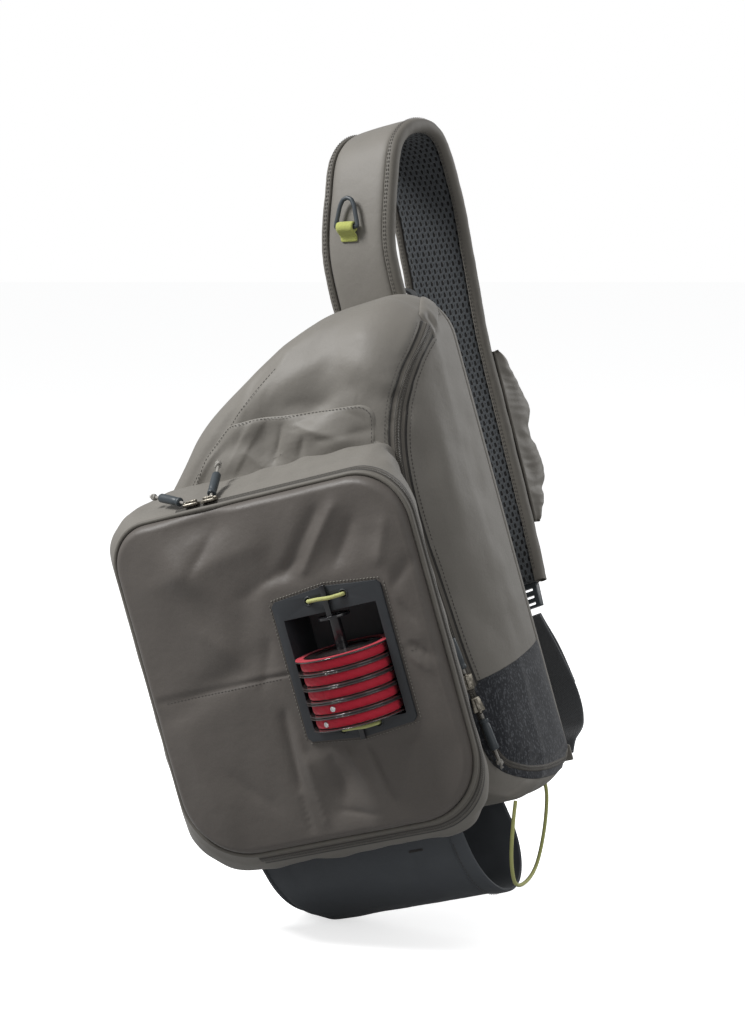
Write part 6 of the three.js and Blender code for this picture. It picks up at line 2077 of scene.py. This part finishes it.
    def build_hem(self) -> None:
        """Builds the turned hem round the sleeve's mouth and its bar of stitching."""
        rows = []
        for along, lift in ((0.935, 0.2), (0.94, 1.0), (0.955, 1.2), (0.985, 1.2), (1.0, 0.9), (1.004, 0.1)):
            rows.append(self.row(along, self.cloth + lift))
        grid = self.seat(np.array(rows))
        piece = self.bench.sheet("sleeve_hem", grid, outward=(-20.0, self.set_back, 46.0), size=(0.26, 0.014))
        self.bench.apply(piece, "SUBSURF", levels=1, render_levels=1)
        self.bench.thicken(piece, 0.8)
        self.bench.fit(piece, Finish.STRETCH.material(), Finish.STRETCH.slot)
        line = self.row(0.945, self.cloth + 1.35)
        out = unit(line - np.array([line[:, 0].mean(), self.set_back, 46.0]) * np.array([0, 1, 1])
                   - np.stack([line[:, 0], np.zeros(len(line)), np.zeros(len(line))], axis=1))
        rows_made = [self.bench.seam_stitches("hem_stitches", line[6:-6], out[6:-6], 3.0, 2.1, 0.5)]
        bar_at = Route(np.array([self.row(a, self.cloth + 1.3)[7] for a in (0.74, 0.80)])).evenly(12)
        up = np.array([0.0, 0.0, 1.0])
        front = np.array([0.0, -1.0, 0.0])
        starts = bar_at + up * 1.2
        ends = bar_at - up * 1.2
        starts, ends = (self.ground.lay(p, front, 0.25, 12.0) for p in (starts, ends))
        rows_made.append(self.bench.dashes("bar_tack", starts, ends, np.broadcast_to(front, starts.shape),
                                           0.7))
        piece = self.bench.join("sleeve_stitching", rows_made)
        self.bench.fit(piece, Finish.DARK_THREAD.material(), Finish.DARK_THREAD.slot)

    def build_cord(self) -> None:
        """Builds the elastic cord that crosses the open side of the sleeve's mouth."""
        x, half, top = 114.4, self.bore * 0.44, self.base - self.gap
        side = [(0, -half * 0.85, top), (-4, -half, top * 0.8), (-14, -half * 0.97, top * 0.42),
                (-22, -half * 0.62, top * 0.12)]
        knots = [(x + a, self.set_back + y, z) for a, y, z in side]
        knots.append((x - 24, self.set_back, 0.04 * top))
        knots += [(x + a, self.set_back - y, z) for a, y, z in reversed(side)]
        line = Route(np.array(knots)).evenly(40)
        piece = self.bench.tube("retention_elastic", line, self.cord, resolution=5)
        self.bench.smooth(piece)
        self.bench.fit(piece, Finish.LIME_CORD.material(), Finish.LIME_CORD.slot, ["retention_cord"])


# The shoulder strap


@dataclass
class ShoulderStrap:
    """The padded strap with its bindings, pocket, buckle, webbing and ring."""

    bench: Bench
    pack: Pack
    width: float = 66.0
    thickness: float = 11.0
    binding: float = 7.5
    gap: float = 0.3
    half_pack: float = 130.0
    back: float = 112.0
    reach: float = 116.0
    top: float = 463.0
    rise: float = 138.0
    strap_low: float = 209.08
    anchor: float = 83.5
    webbing: float = 38.0
    ring_at: float = 0.122
    pocket: tuple[float, float, float] = (0.665, 0.915, 34.0)
    route: tuple[tuple[float, float, float], ...] = (
        (0.54, -0.09, -0.08), (0.56, -0.08, 0.3), (0.635, 0.02, 0.62), (0.69, 0.17, 0.84),
        (0.73, 0.41, 0.905),
        (0.76, 0.68, 0.84), (0.73, 0.86, 0.54), (0.67, 0.94, 0.1), (0.62, 0.96, -0.35), (0.61, 0.94, -0.9),
        (0.63, 0.84, -1.4), (0.67, 0.66, -1.84))
    webbing_route: tuple[tuple[float, float, float], ...] = (
        (0.7, 0.6, 0.198), (0.74, 0.63, 0.42), (0.81, 0.56, 0.7), (0.87, 0.34, 0.88),
        (0.87, 0.125, 0.94), (0.86, 0.057, 1.0))

    def __post_init__(self) -> None:
        """Works out the strap's and the webbing's middle lines and their axes."""
        knots = np.array([(a * self.half_pack, self.back + b * self.reach, self.top + u * self.rise)
                          for a, b, u in self.route])
        self.line = Route(knots).evenly(801)
        low = np.array([(a * self.half_pack, self.back + b * self.reach, mix(self.strap_low, self.anchor, d))
                        for a, b, d in self.webbing_route])
        self.low_line = Route(low).evenly(301)
        self.half = self.thickness / 2
        self.pad_half = self.width / 2 - self.binding - self.gap

    @staticmethod
    def axes(line: np.ndarray, f: float) -> tuple[np.ndarray, np.ndarray, np.ndarray, np.ndarray]:
        """Returns the middle, run, width and outward axes at a share of a line."""
        at = f * (len(line) - 1)
        i = min(int(at), len(line) - 2)
        middle = mix(line[i], line[i + 1], at - i)
        a, b = max(i - 4, 0), min(i + 5, len(line) - 1)
        along = unit(line[b] - line[a])
        width = np.array([1.0, -0.16, 0.0])
        width = unit(width - along * np.dot(width, along))
        return middle, along, width, unit(np.cross(width, along))

    def bar(self, section: Callable[[float], list[tuple[float, float]]], start: float, end: float,
            rows: int, line: np.ndarray | None = None) -> Grid:
        """Returns a grid swept along the strap.

        Args:
            section: Gives the places across and out of the strap at a share of the run.
            start: Share of the line at which the sweep starts.
            end: Share at which it ends.
            rows: Number of rows.
            line: The line, or nothing for the strap's.

        Returns:
            The grid, a row per station.
        """
        line = self.line if line is None else line
        grid = []
        for f in np.linspace(0, 1, rows):
            middle, _, width, out = self.axes(line, mix(start, end, f))
            grid.append([middle + width * w + out * n for w, n in section(float(f))])
        return np.array(grid)

    def build(self) -> None:
        """Builds the strap and all it carries."""
        self.build_pad()
        self.build_bindings()
        self.build_pocket()
        self.build_low_end()
        self.build_grab_loop()
        self.build_ring()

    def build_pad(self) -> None:
        """Builds the padded face of the strap and its spacer-mesh lining."""
        half, n = self.pad_half, self.half

        def over(f: float) -> list[tuple[float, float]]:
            """Returns the crowned section of the face."""
            points = [(w * half, 0.15 + 0.0 * f) for w in (1.0,)]
            for w in np.linspace(1, -1, 25):
                edge = 1 - abs(w) ** 7
                points.append((w * half, n - 2.2 + 2.6 * edge ** 0.7 + 0.25 * math.sin(f * 46) * edge))
            points.append((-half, 0.15))
            return points

        def under(f: float) -> list[tuple[float, float]]:
            """Returns the crowned section of the lining."""
            points = [(-half, -0.15)]
            for w in np.linspace(-1, 1, 25):
                edge = 1 - abs(w) ** 7
                points.append((w * half, -n + 2.0 - 2.3 * edge ** 0.7))
            points.append((half, -0.15))
            return points

        for name, section, finish, node, fill in (("strap_face_pad", over, Finish.SHELL, "strap_pad", 0.8),
                                                  ("strap_lining", under, Finish.MESH, "strap_mesh", 0.8)):
            grid = self.bar(section, 0.0, 1.0, 190)
            grid = grid + (0.5 * ripple(grid, 26.0, 81.0))[..., None] * np.array([0.6, 0.6, 0.6]) * (
                np.abs(grid[..., :1]) > -1)
            middle = self.axes(self.line, 95 / 189)[0]
            piece = self.bench.sheet(name, grid, loop=True, outward=tuple(middle), size=(0.112, 0.581))
            piece.data.update()
            self.bench.pick(piece)
            bpy.ops.object.mode_set(mode="EDIT")
            bpy.ops.mesh.select_mode(type="EDGE")
            bpy.ops.mesh.select_all(action="DESELECT")
            bpy.ops.mesh.select_non_manifold()
            bpy.ops.mesh.fill()
            bpy.ops.object.mode_set(mode="OBJECT")
            self.bench.fit(piece, finish.material(), finish.slot, [node])

    def build_bindings(self) -> None:
        """Builds the folded bindings of the strap's two edges and their stitches."""
        made = []
        n = self.half + 0.5
        for side in Side:
            inner = self.width / 2 - self.binding + 0.1
            outer = self.width / 2

            def wrap(f: float, s: int = side.value) -> list[tuple[float, float]]:
                """Returns the section of a binding, from its upper edge round to its lower."""
                points = [(s * inner, n - 2.0), (s * (inner + 0.3), n - 0.5), (s * (inner + 1.6), n - 0.2),
                          (s * (outer - 4.0), n - 0.4)]
                for a in np.linspace(math.pi * 0.42, -math.pi * 0.42, 9):
                    points.append((s * (outer - 3.4 + 3.4 * math.cos(a)), (n - 0.8) * math.sin(a)))
                points += [(s * (outer - 4.0), -n + 0.4), (s * (inner + 1.6), -n + 0.2),
                           (s * (inner + 0.3), -n + 0.5), (s * inner, -n + 2.0)]
                return points

            grid = self.bar(wrap, 0.0, 1.0, 260)
            pucker = 0.22 * ripple(grid, 5.0, 91.0 + side.value, (1, 1, 1)) + 0.35 * ripple(grid, 17.0, 95.0)
            hub = np.array([self.axes(self.line, f)[0] for f in np.linspace(0, 1, 260)])
            grid = grid + unit(grid - hub[:, None]) * pucker[..., None]
            middle, _, width, _ = self.axes(self.line, 130 / 259)
            inside = middle + width * side.value * (inner + 1.5)
            piece = self.bench.sheet(f"strap_edge_{side.name.lower()}", grid, loop=True,
                                     outward=tuple(inside),
                                     size=(0.028, 0.581))
            self.bench.fit(piece, Finish.BINDING.material(), Finish.BINDING.slot,
                           [f"strap_binding_{side.name.lower()}"])
            for face in (1, -1):
                for aside in (inner + 1.5, inner + 3.0):
                    line, lift = [], []
                    for f in np.linspace(0.01, 0.99, 400):
                        middle, _, width, out = self.axes(self.line, float(f))
                        line.append(middle + width * side.value * aside + out * face * (n - 0.05))
                        lift.append(out * face)
                    made.append(self.bench.seam_stitches(
                        f"edge_stitches_{len(made)}", np.array(line), np.array(lift), 3.2, 2.2, 0.55))
        piece = self.bench.join("strap_stitching", made)
        self.bench.fit(piece, Finish.THREAD.material(), Finish.THREAD.slot)

    def build_pocket(self) -> None:
        """Builds the swollen pocket on the strap's rear face, with its gathers and binding."""
        start, end, swell = self.pocket
        half = self.width / 2 - 1
        anchors = np.array([(-1, 0), (-1.12, 0.5), (-0.96, 0.92), (0, 1), (0.96, 0.92), (1.12, 0.5),
                            (1, 0)], float)
        section = Route(anchors).evenly(47)

        def cover(f: float) -> list[tuple[float, float]]:
            """Returns the section of the cover."""
            hill = max(1 - abs(2 * f - 1) ** 3, 0.0) ** 0.7
            points = []
            for aside, lift in section:
                pleat = 1 + 0.1 * math.sin(f * 17 + aside * 2)
                points.append((aside * half, self.half + self.gap + 1 + swell * hill * pleat * max(lift, 0)))
            return points

        grid = self.bar(cover, start, end, 84)
        normals = grid_normals(grid, False)
        middle, _, _, out = self.axes(self.line, mix(start, end, 0.5))
        hub = middle + out * 10
        if np.sum(normals[42] * (grid[42] - hub)) < 0:
            normals = -normals
        share = np.linspace(0, 1, 84)[:, None]
        turn = np.linspace(-1, 1, 47)[None, :]
        gather = 1.3 * np.sin(share * 58 + 5
                              * ripple(grid, 30.0, 17.0)) * np.exp(-((1 - np.abs(turn)) / 0.35) ** 2)
        wave = 3.0 * ripple(grid, 24.0, 14.0, (1.3, 1.0, 0.7)) + 1.3 * ripple(grid, 10.0, 19.0, (1.3, 1, 0.7))
        calm = smoothstep(share, 0,
                          0.12) * (1 - smoothstep(share, 0.88, 1.0)) * smoothstep(1 - np.abs(turn), 0, 0.12)
        moved = -np.maximum(wave, -1.0) * calm - np.abs(gather) * calm
        grid = grid + normals * moved[..., None]
        piece = self.bench.sheet("strap_pouch", grid, outward=tuple(hub), size=(0.15, 0.11))
        self.bench.apply(piece, "SUBSURF", levels=1, render_levels=1)
        self.bench.thicken(piece, 1.0)
        self.bench.fit(piece, Finish.SHELL.material(), Finish.SHELL.slot, ["strap_pocket"])
        rim = [grid[k, 0] for k in range(84)]
        other = [grid[k, -1] for k in range(84)]
        cords = [self.bench.tube(f"pouch_edge_{i}", np.array(row), 2.6, resolution=3) for i,
                 row in enumerate((rim, other))]
        edge = self.bench.join("pouch_binding", cords)
        self.bench.smooth(edge)
        self.bench.fit(edge, Finish.BINDING.material(), Finish.BINDING.slot)

    def build_low_end(self) -> None:
        """Builds the tab, the buckle, the webbing with its loose tail and the anchor."""
        tab_half, n = self.webbing / 2 + 2, self.half + self.gap

        def tab(f: float) -> list[tuple[float, float]]:
            """Returns the section of the tab that holds the buckle."""
            return [(w * tab_half, n + 1.2 + 0.5 * (1 - abs(w) ** 6)) for w in np.linspace(-1, 1, 13)]

        grid = self.bar(tab, 0.93, 0.998, 16)
        middle, _, _, out = self.axes(self.line, 0.965)
        piece = self.bench.sheet("buckle_holder", grid, outward=tuple(middle - out * 9), size=(0.042, 0.04))
        self.bench.thicken(piece, 1.6)
        self.bench.fit(piece, Finish.SHELL.material(), Finish.SHELL.slot, ["buckle_tab"])

        piece = self.bench.from_node("strap_buckle", "ladder_buckle")
        self.bench.apply(piece, "BEVEL", width=0.0007, segments=3, limit_method="ANGLE",
                         angle_limit=math.radians(35), use_clamp_overlap=True)
        self.bench.smooth(piece, 40)
        self.bench.fit(piece, Finish.SLATE.material(), Finish.SLATE.slot, ["strap_buckle"])

        def flat(f: float) -> list[tuple[float, float]]:
            """Returns the flat section of the webbing."""
            return [(w * self.webbing / 2, 0.9 - 0.15 * abs(w) ** 8) for w in np.linspace(-1, 1, 15)]

        grid = self.bar(flat, 0.0, 1.0, 90, self.low_line)
        middle, _, _, out = self.axes(self.low_line, 0.5)
        piece = self.bench.sheet("strap_webbing", grid, outward=tuple(middle - out * 9), size=(0.038, 0.13))
        self.bench.thicken(piece, 1.8)
        self.bench.fit(piece, Finish.WEBBING.material(), Finish.WEBBING.slot, ["webbing"])

        def tail(f: float) -> list[tuple[float, float]]:
            """Returns the flat section of the webbing's loose tail."""
            stand = 3.1 + 1.6 * math.sin(math.pi * min(f, 1.0)) ** 2
            return [(w * (self.webbing / 2 - 0.4), stand - 0.15 * abs(w) ** 8)
                    for w in np.linspace(-1, 1, 15)]

        grid = self.bar(tail, 0.0, 0.46, 44, self.low_line)
        middle, _, _, out = self.axes(self.low_line, 0.23)
        piece = self.bench.sheet("webbing_tail", grid, outward=tuple(middle - out * 9), size=(0.037, 0.06))
        self.bench.thicken(piece, 1.7)
        self.bench.fit(piece, Finish.WEBBING.material(), Finish.WEBBING.slot)

        piece = self.bench.from_node("anchor_tab", "webbing_anchor")
        self.bench.apply(piece, "BEVEL", width=0.0005, segments=2, limit_method="ANGLE",
                         angle_limit=math.radians(40))
        self.bench.smooth(piece, 40)
        self.bench.fit(piece, Finish.SHELL.material(), Finish.SHELL.slot, ["anchor_tab"])

    def build_grab_loop(self) -> None:
        """Builds the small hanging loop behind the top of the pack."""
        y, half, top = self.back + self.gap + 5, self.half_pack, self.top
        knots = np.array([(half * 0.58, y, top - 22), (half * 0.59, y + 1, top - 4),
                          (half * 0.68, y + 2, top + 6),
                          (half * 0.78, y + 1, top + 1), (half * 0.8, y, top - 20)])
        line = Route(knots).evenly(60)
        rows = []
        for i, p in enumerate(line):
            t = unit(line[min(i + 1, 59)] - line[max(i - 1, 0)])
            out = unit(np.cross(np.array([0.0, 1.0, 0.0]), t))
            rows.append([p + np.array([0.0, w, 0.0]) + out * 0.9 for w in np.linspace(-5, 5, 7)])
        grid = np.array(rows)
        middle = line[30] - np.array([0.0, 0.0, 12.0])
        piece = self.bench.sheet("hanging_loop", grid, outward=tuple(middle), size=(0.010, 0.075))
        self.bench.thicken(piece, 1.8)
        self.bench.fit(piece, Finish.WEBBING.material(), Finish.WEBBING.slot, ["grab_loop"])

    def build_ring(self) -> None:
        """Builds the ring on the strap's front run and the rolled tab that it hangs from."""
        middle, along, width, out = self.axes(self.line, self.ring_at)
        seat = middle + out * (self.half + self.gap + 4.5 + 0.4) - width * 4
        corners = [(10.0, 0.0), (9.8, 2.5), (6.6, 16.6), (4.0, 21.4), (0.0, 23.0)]
        path = corners + [(-x, y) for x, y in reversed(corners[:-1])]
        fine = []
        for a, b in zip(path, path[1:] + path[:1]):
            fine += [mix(np.array(a), np.array(b), k / 6) for k in range(6)]
        points = np.array([seat + width * p[0] + along * p[1] for p in fine])
        for _ in range(2):
            points = 0.5 * points + 0.25 * (np.roll(points, 1, axis=0) + np.roll(points, -1, axis=0))
        ring = self.bench.tube("hinged_ring", points, 3.4, loop=True, resolution=5)
        self.bench.smooth(ring)
        self.bench.fit(ring, Finish.SLATE.material(), Finish.SLATE.slot, ["accessory_ring"], "ring")
        half = 10 - 1.7 - 0.8
        roll = []
        for k in range(40):
            a = k / 40 * 2 * math.pi
            roll.append([seat + width * w * half + (along * math.cos(a) + out * math.sin(a)) * (
                4.4 - 0.35 * abs(w) ** 6) for w in np.linspace(-1, 1, 11)])
        tape = np.array(roll).transpose(1, 0, 2)
        piece = self.bench.sheet("ring_tab_roll", tape, loop=True, outward=tuple(seat), size=(0.028, 0.015))
        self.bench.thicken(piece, 1.8)
        foot_rows = []
        for y, n in ((-2.5, 3.4), (-4.6, 1.2), (-6.0, -2.2), (-8.5, -3.6), (-11.0, -3.9)):
            foot_rows.append([seat + width * w * half + along * y + out * n for w in np.linspace(-1, 1, 9)])
        foot = self.bench.sheet("ring_tab_foot", np.array(foot_rows),
                                outward=tuple(seat - out * 12 + along * 4),
                                size=(0.015, 0.014))
        self.bench.apply(foot, "SUBSURF", levels=1, render_levels=1)
        self.bench.thicken(foot, 1.4)
        tab = self.bench.join("ring_tape", [piece, foot])
        self.bench.fit(tab, Finish.LIME_TAPE.material(), Finish.LIME_TAPE.slot, ["ring_tab"], self.tab_body())

    @staticmethod
    def tab_body() -> str:
        """Returns the body that the rolled tab moves with."""
        return BAG


# Zip pulls


@dataclass(frozen=True)
class PullRoute:
    """One zip pull: its slider's axes and the points that its cord follows."""

    name: str
    along: tuple[float, float, float]
    normal: tuple[float, float, float]
    points: tuple[tuple[float, float, float], ...]
    tape: float = 14.0


PULLS = (
    PullRoute("main_upper", (-0.06, 0.03, 0.998), (0.50, -0.86, 0.0),
              ((106.82, 3.37, 178.87), (106.12, 1.56, 190.77), (104.92, 0.62, 202.67),
               (103.17, -0.13, 217.55))),
    PullRoute("main_lower", (0.09, 0.04, -0.995), (0.54, -0.84, 0.0),
              ((110.46, 5.06, 145.95), (112.2, 4.34, 134.0), (113.4, 4.46, 122.05), (114.62, 5.03, 107.11))),
    PullRoute("pocket_left", (-1.0, 0.0, 0.0), (0.0, 0.1, 0.99),
              ((-56.79, -47.9, 357.82), (-66.19, -42.9, 361.22), (-78.19, -35.9, 364.32),
               (-89.19, -28.9, 366.32))),
    PullRoute("pocket_right", (1.0, 0.0, 0.0), (0.0, 0.1, 0.99),
              ((-34.84, -45.2, 357.42), (-36.34, -32.9, 363.22), (-37.34, -20.9, 370.32),
               (-38.34, -10.9, 377.32))))


@dataclass
class ZipPulls:
    """The four sliders with their knotted cords and moulded sleeves."""

    bench: Bench
    cord: float = 2.2
    tube: float = 7.0
    tube_length: float = 25.0
    lead: float = 4.0

    def build(self) -> None:
        """Builds the pulls one after another, cords first."""
        for pull in PULLS:
            self.build_cord(pull)
            self.build_slider(pull)

    def build_cord(self, pull: PullRoute) -> None:
        """Builds a pull's cord with its knot and frayed end, and the sleeve on it."""
        knots = np.array(pull.points)
        line = Route(knots).evenly(28)
        length = float(np.sum(np.linalg.norm(np.diff(line, axis=0), axis=1)))
        run = unit(line[-1] - line[-4])
        cord = self.bench.tube(f"{pull.name}_pull_cord", line, self.cord, resolution=3)
        self.bench.smooth(cord)
        self.bench.fit(cord, Finish.PULL_CORD.material(), Finish.PULL_CORD.slot, [f"{pull.name}_cord"])
        parts = []
        side = unit(np.cross(run, np.array([0.3, 0.2, 1.0])))
        other = np.cross(run, side)
        turns = []
        for k in range(34):
            a = k / 33 * 2 * math.pi * 2.0
            turns.append(line[-1] + run * (-2.0 + 4.0 * k / 33 + 0.8 * math.sin(a * 1.5)) + (
                side * math.cos(a) + other * math.sin(a)) * 1.7)
        parts.append(self.bench.tube(f"{pull.name}_wrap", np.array(turns), self.cord * 0.9, resolution=3))
        for k in range(7):
            a = k / 7 * 2 * math.pi
            spread = side * math.cos(a) + other * math.sin(a)
            strand = Route(np.array([line[-1] + run * 1.5 + spread * 0.3, line[-1] + run * 3.6 + spread * 0.7,
                                     line[-1] + run * (5.0 + 0.5 * math.sin(k * 2.1)) + spread
                                     * 1.3])).evenly(5)
            parts.append(self.bench.tube(f"{pull.name}_strand_{k}", strand, 0.55, resolution=1))
        knot = self.bench.join(f"{pull.name}_knot", parts)
        self.bench.smooth(knot)
        self.bench.fit(knot, Finish.PULL_CORD.material(), Finish.PULL_CORD.slot)
        sleeve = self.build_sleeve(pull, line, length)

    def build_sleeve(self, pull: PullRoute, line: np.ndarray, length: float) -> bpy.types.Object:
        """Builds the moulded sleeve on a pull's cord, waisted and with rounded ends."""
        start, end = self.lead / length, min((self.lead + self.tube_length) / length, 1.0)
        axis = np.array([np.interp(np.linspace(start, end, 40) * (len(line) - 1), np.arange(len(line)),
                                   line[:, c])
                         for c in range(3)]).T
        first, last = axis[0], axis[-1]
        run = unit(last - first)
        side = unit(np.cross(run, np.array([0.3, 0.2, 1.0])))
        other = np.cross(run, side)
        bore = self.cord / 2 + 0.15
        profile = [(bore, 0.0), (2.6, 0.0), (3.2, 0.25), (3.5, 0.9), (3.45, 2.6), (2.9, 3.4), (2.85, 4.0),
                   (3.3, 5.0), (3.42, 9.0), (3.48, 16.0), (3.5, 20.5), (3.5, 24.0), (3.2, 24.75),
                   (2.6, 25.0), (bore, 25.0)]
        grid = []
        for radius, at in profile:
            centre = mix(first, last, at / 25.0)
            grid.append([centre + (side * math.cos(a) + other * math.sin(a)) * radius
                         for a in np.arange(28) / 28 * 2 * math.pi])
        piece = self.bench.sheet(f"{pull.name}_pull_sleeve", np.array(grid), loop=True,
                                 outward=tuple(mix(first, last, 0.3)), size=(0.022, 0.032))
        self.bench.fit(piece, Finish.SLATE.material(), Finish.SLATE.slot, [f"{pull.name}_tube"])
        return piece

    def build_slider(self, pull: PullRoute) -> None:
        """Builds a slider about the origin, X across the tape, Y along it and Z out, and seats it."""
        half = pull.tape * 0.34
        body = self.bench.block(f"{pull.name}_body", (-half, -6.0, 0.0), (half, 6.0, 2.5))
        for vertex in body.data.vertices:
            if vertex.co.y < 0:
                vertex.co.x *= 0.72
        bridge = self.bench.block(f"{pull.name}_bridge", (-1.4, -4.5, 2.2), (1.4, 4.5, 4.2))
        self.bench.choose(bridge, lambda f: f.normal.z > 0.9)
        self.bench.edit(bridge, lambda: bpy.ops.mesh.inset(thickness=0.0004, depth=0.0003))
        ear = self.bench.block(f"{pull.name}_ear", (-1.0, 3.6, 2.0), (1.0, 7.0, 3.6))
        parts = [body, bridge, ear]
        for part, width in zip(parts, (0.0009, 0.0006, 0.0005)):
            self.bench.apply(part, "BEVEL", width=width, segments=3, limit_method="ANGLE",
                             angle_limit=math.radians(30), use_clamp_overlap=True)
        piece = self.bench.join(f"{pull.name}_zip_slider", parts)
        self.bench.smooth(piece, 35)
        along = unit(np.array(pull.along))
        normal = np.array(pull.normal)
        normal = unit(normal - along * np.dot(normal, along))
        across = np.cross(along, normal)
        low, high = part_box(f"{pull.name}_slider")
        centre = in_bag((np.array(low) + np.array(high)) / 2)
        self.bench.place(piece, centre - normal * 2.1, np.array([across, along, normal]))
        self.bench.fit(piece, Finish.BRASS.material(), Finish.BRASS.slot, [f"{pull.name}_slider"])


# The camera, the floor and the light


@dataclass
class Stage:
    """The pale floor and backdrop, the lamps and the camera that the photograph was taken with."""

    bench: Bench
    azimuth: float = 25.0
    elevation: float = 5.0
    distance: float = 2.5
    roll: float = -15.5
    lens: float = 114.1
    shift: tuple[float, float] = (0.0622, 0.0298)
    aim: tuple[float, float, float] = (0.0, 27.0, 300.0)
    ambient: float = 0.34

    def build_camera(self) -> None:
        """Places the camera, leaning as the photograph does."""
        a, e = math.radians(self.azimuth), math.radians(self.elevation)
        sight = np.array([-math.sin(a) * math.cos(e), math.cos(a) * math.cos(e), -math.sin(e)])
        target = in_frame(self.aim)
        data = bpy.data.cameras.new("camera")
        data.lens = self.lens
        data.sensor_width = 36.0
        data.sensor_fit = "AUTO"
        data.shift_x, data.shift_y = self.shift
        camera = bpy.data.objects.new("camera", data)
        bpy.context.scene.collection.objects.link(camera)
        turn = Vector(sight.tolist()).to_track_quat("-Z", "Y")
        turn = turn @ Quaternion((0, 0, 1), math.radians(self.roll))
        camera.rotation_mode = "QUATERNION"
        camera.rotation_quaternion = turn
        camera.location = Vector((target - sight * self.distance).tolist())
        bpy.context.scene.camera = camera
        self.turn = turn
        self.target = Vector(target.tolist())

    def build_floor(self) -> None:
        """Builds a wide floor that is level in the camera's picture, under the bag's lowest corner."""
        up = self.turn @ Vector((0, 1, 0))
        back = self.turn @ Vector((0, 0, -1))
        back = (back - up * back.dot(up)).normalized()
        up = (up * math.cos(math.radians(7)) - (self.turn @ Vector((0, 0, -1)))
              * math.sin(math.radians(7))).normalized()
        lowest = min(float((self.places(piece) @ np.array(up)).min()) for piece in self.bench.made)
        side = up.cross(back).normalized()
        front = side.cross(up).normalized()
        self.bench.clear()
        bpy.ops.mesh.primitive_plane_add(size=24)
        floor = self.bench.named("studio_floor")
        matrix = Matrix((side, -front, up)).transposed().to_4x4()
        matrix.translation = self.target - up * (self.target.dot(up) - lowest + 0.001)
        floor.data.transform(matrix)
        floor.data.materials.append(Backdrop((0.92, 0.925, 0.93)).make("studio_white"))
        self.up = up

    @staticmethod
    def places(piece: bpy.types.Object) -> np.ndarray:
        """Returns the places of a piece's points, one per row."""
        flat = np.empty(len(piece.data.vertices) * 3, np.float32)
        piece.data.vertices.foreach_get("co", flat)
        return flat.reshape(-1, 3)

    def build_light(self) -> None:
        """Lights the bag softly from the upper left, with an even white surround."""
        world = bpy.data.worlds.new("surround")
        world.use_nodes = True
        tree = world.node_tree
        background = tree.nodes["Background"]
        background.inputs["Color"].default_value = (1.0, 1.0, 1.0, 1.0)
        seen = tree.nodes.new("ShaderNodeLightPath")
        strength = tree.nodes.new("ShaderNodeMath")
        strength.operation = "MULTIPLY_ADD"
        strength.inputs[1].default_value = 1.0 - self.ambient
        strength.inputs[2].default_value = self.ambient
        tree.links.new(seen.outputs["Is Camera Ray"], strength.inputs[0])
        tree.links.new(strength.outputs[0], background.inputs["Strength"])
        bpy.context.scene.view_settings.view_transform = "Standard"
        bpy.context.scene.world = world
        right = self.turn @ Vector((1, 0, 0))
        up = self.turn @ Vector((0, 1, 0))
        toward = self.turn @ Vector((0, 0, 1))
        for name, place, size, power in (
                ("key_lamp", (-1.6, 1.7, 0.55), 0.8, 66.0), ("fill_lamp", (1.3, 0.6, 1.8), 1.4, 8.0),
                ("rim_lamp", (1.4, 0.8, -0.8), 1.0, 10.0)):
            data = bpy.data.lights.new(name, "AREA")
            data.shape = "SQUARE"
            data.size = size
            data.energy = power
            lamp = bpy.data.objects.new(name, data)
            bpy.context.scene.collection.objects.link(lamp)
            lamp.location = self.target + right * place[0] + up * place[1] + toward * place[2]
            lamp.rotation_mode = "QUATERNION"
            lamp.rotation_quaternion = (self.target - lamp.location).to_track_quat("-Z", "Y")


def main() -> None:
    """Builds the bag and its stage."""
    logging.basicConfig(level=logging.INFO, format="%(name)s: %(message)s")
    bench = Bench()
    stage = Stage(bench)
    stage.build_camera()
    pulls = ZipPulls(bench)
    pulls.build()
    pack = Pack(bench)
    pack.build()
    pocket = FrontPocket(bench, pack)
    pocket.build()
    SpoolTray(bench).build()
    BottleSleeve(bench, pack).build()
    ShoulderStrap(bench, pack).build()
    stage.build_floor()
    stage.build_light()
    LOG.info("%d pieces", len(bench.made))


if __name__ == "__main__":
    main()
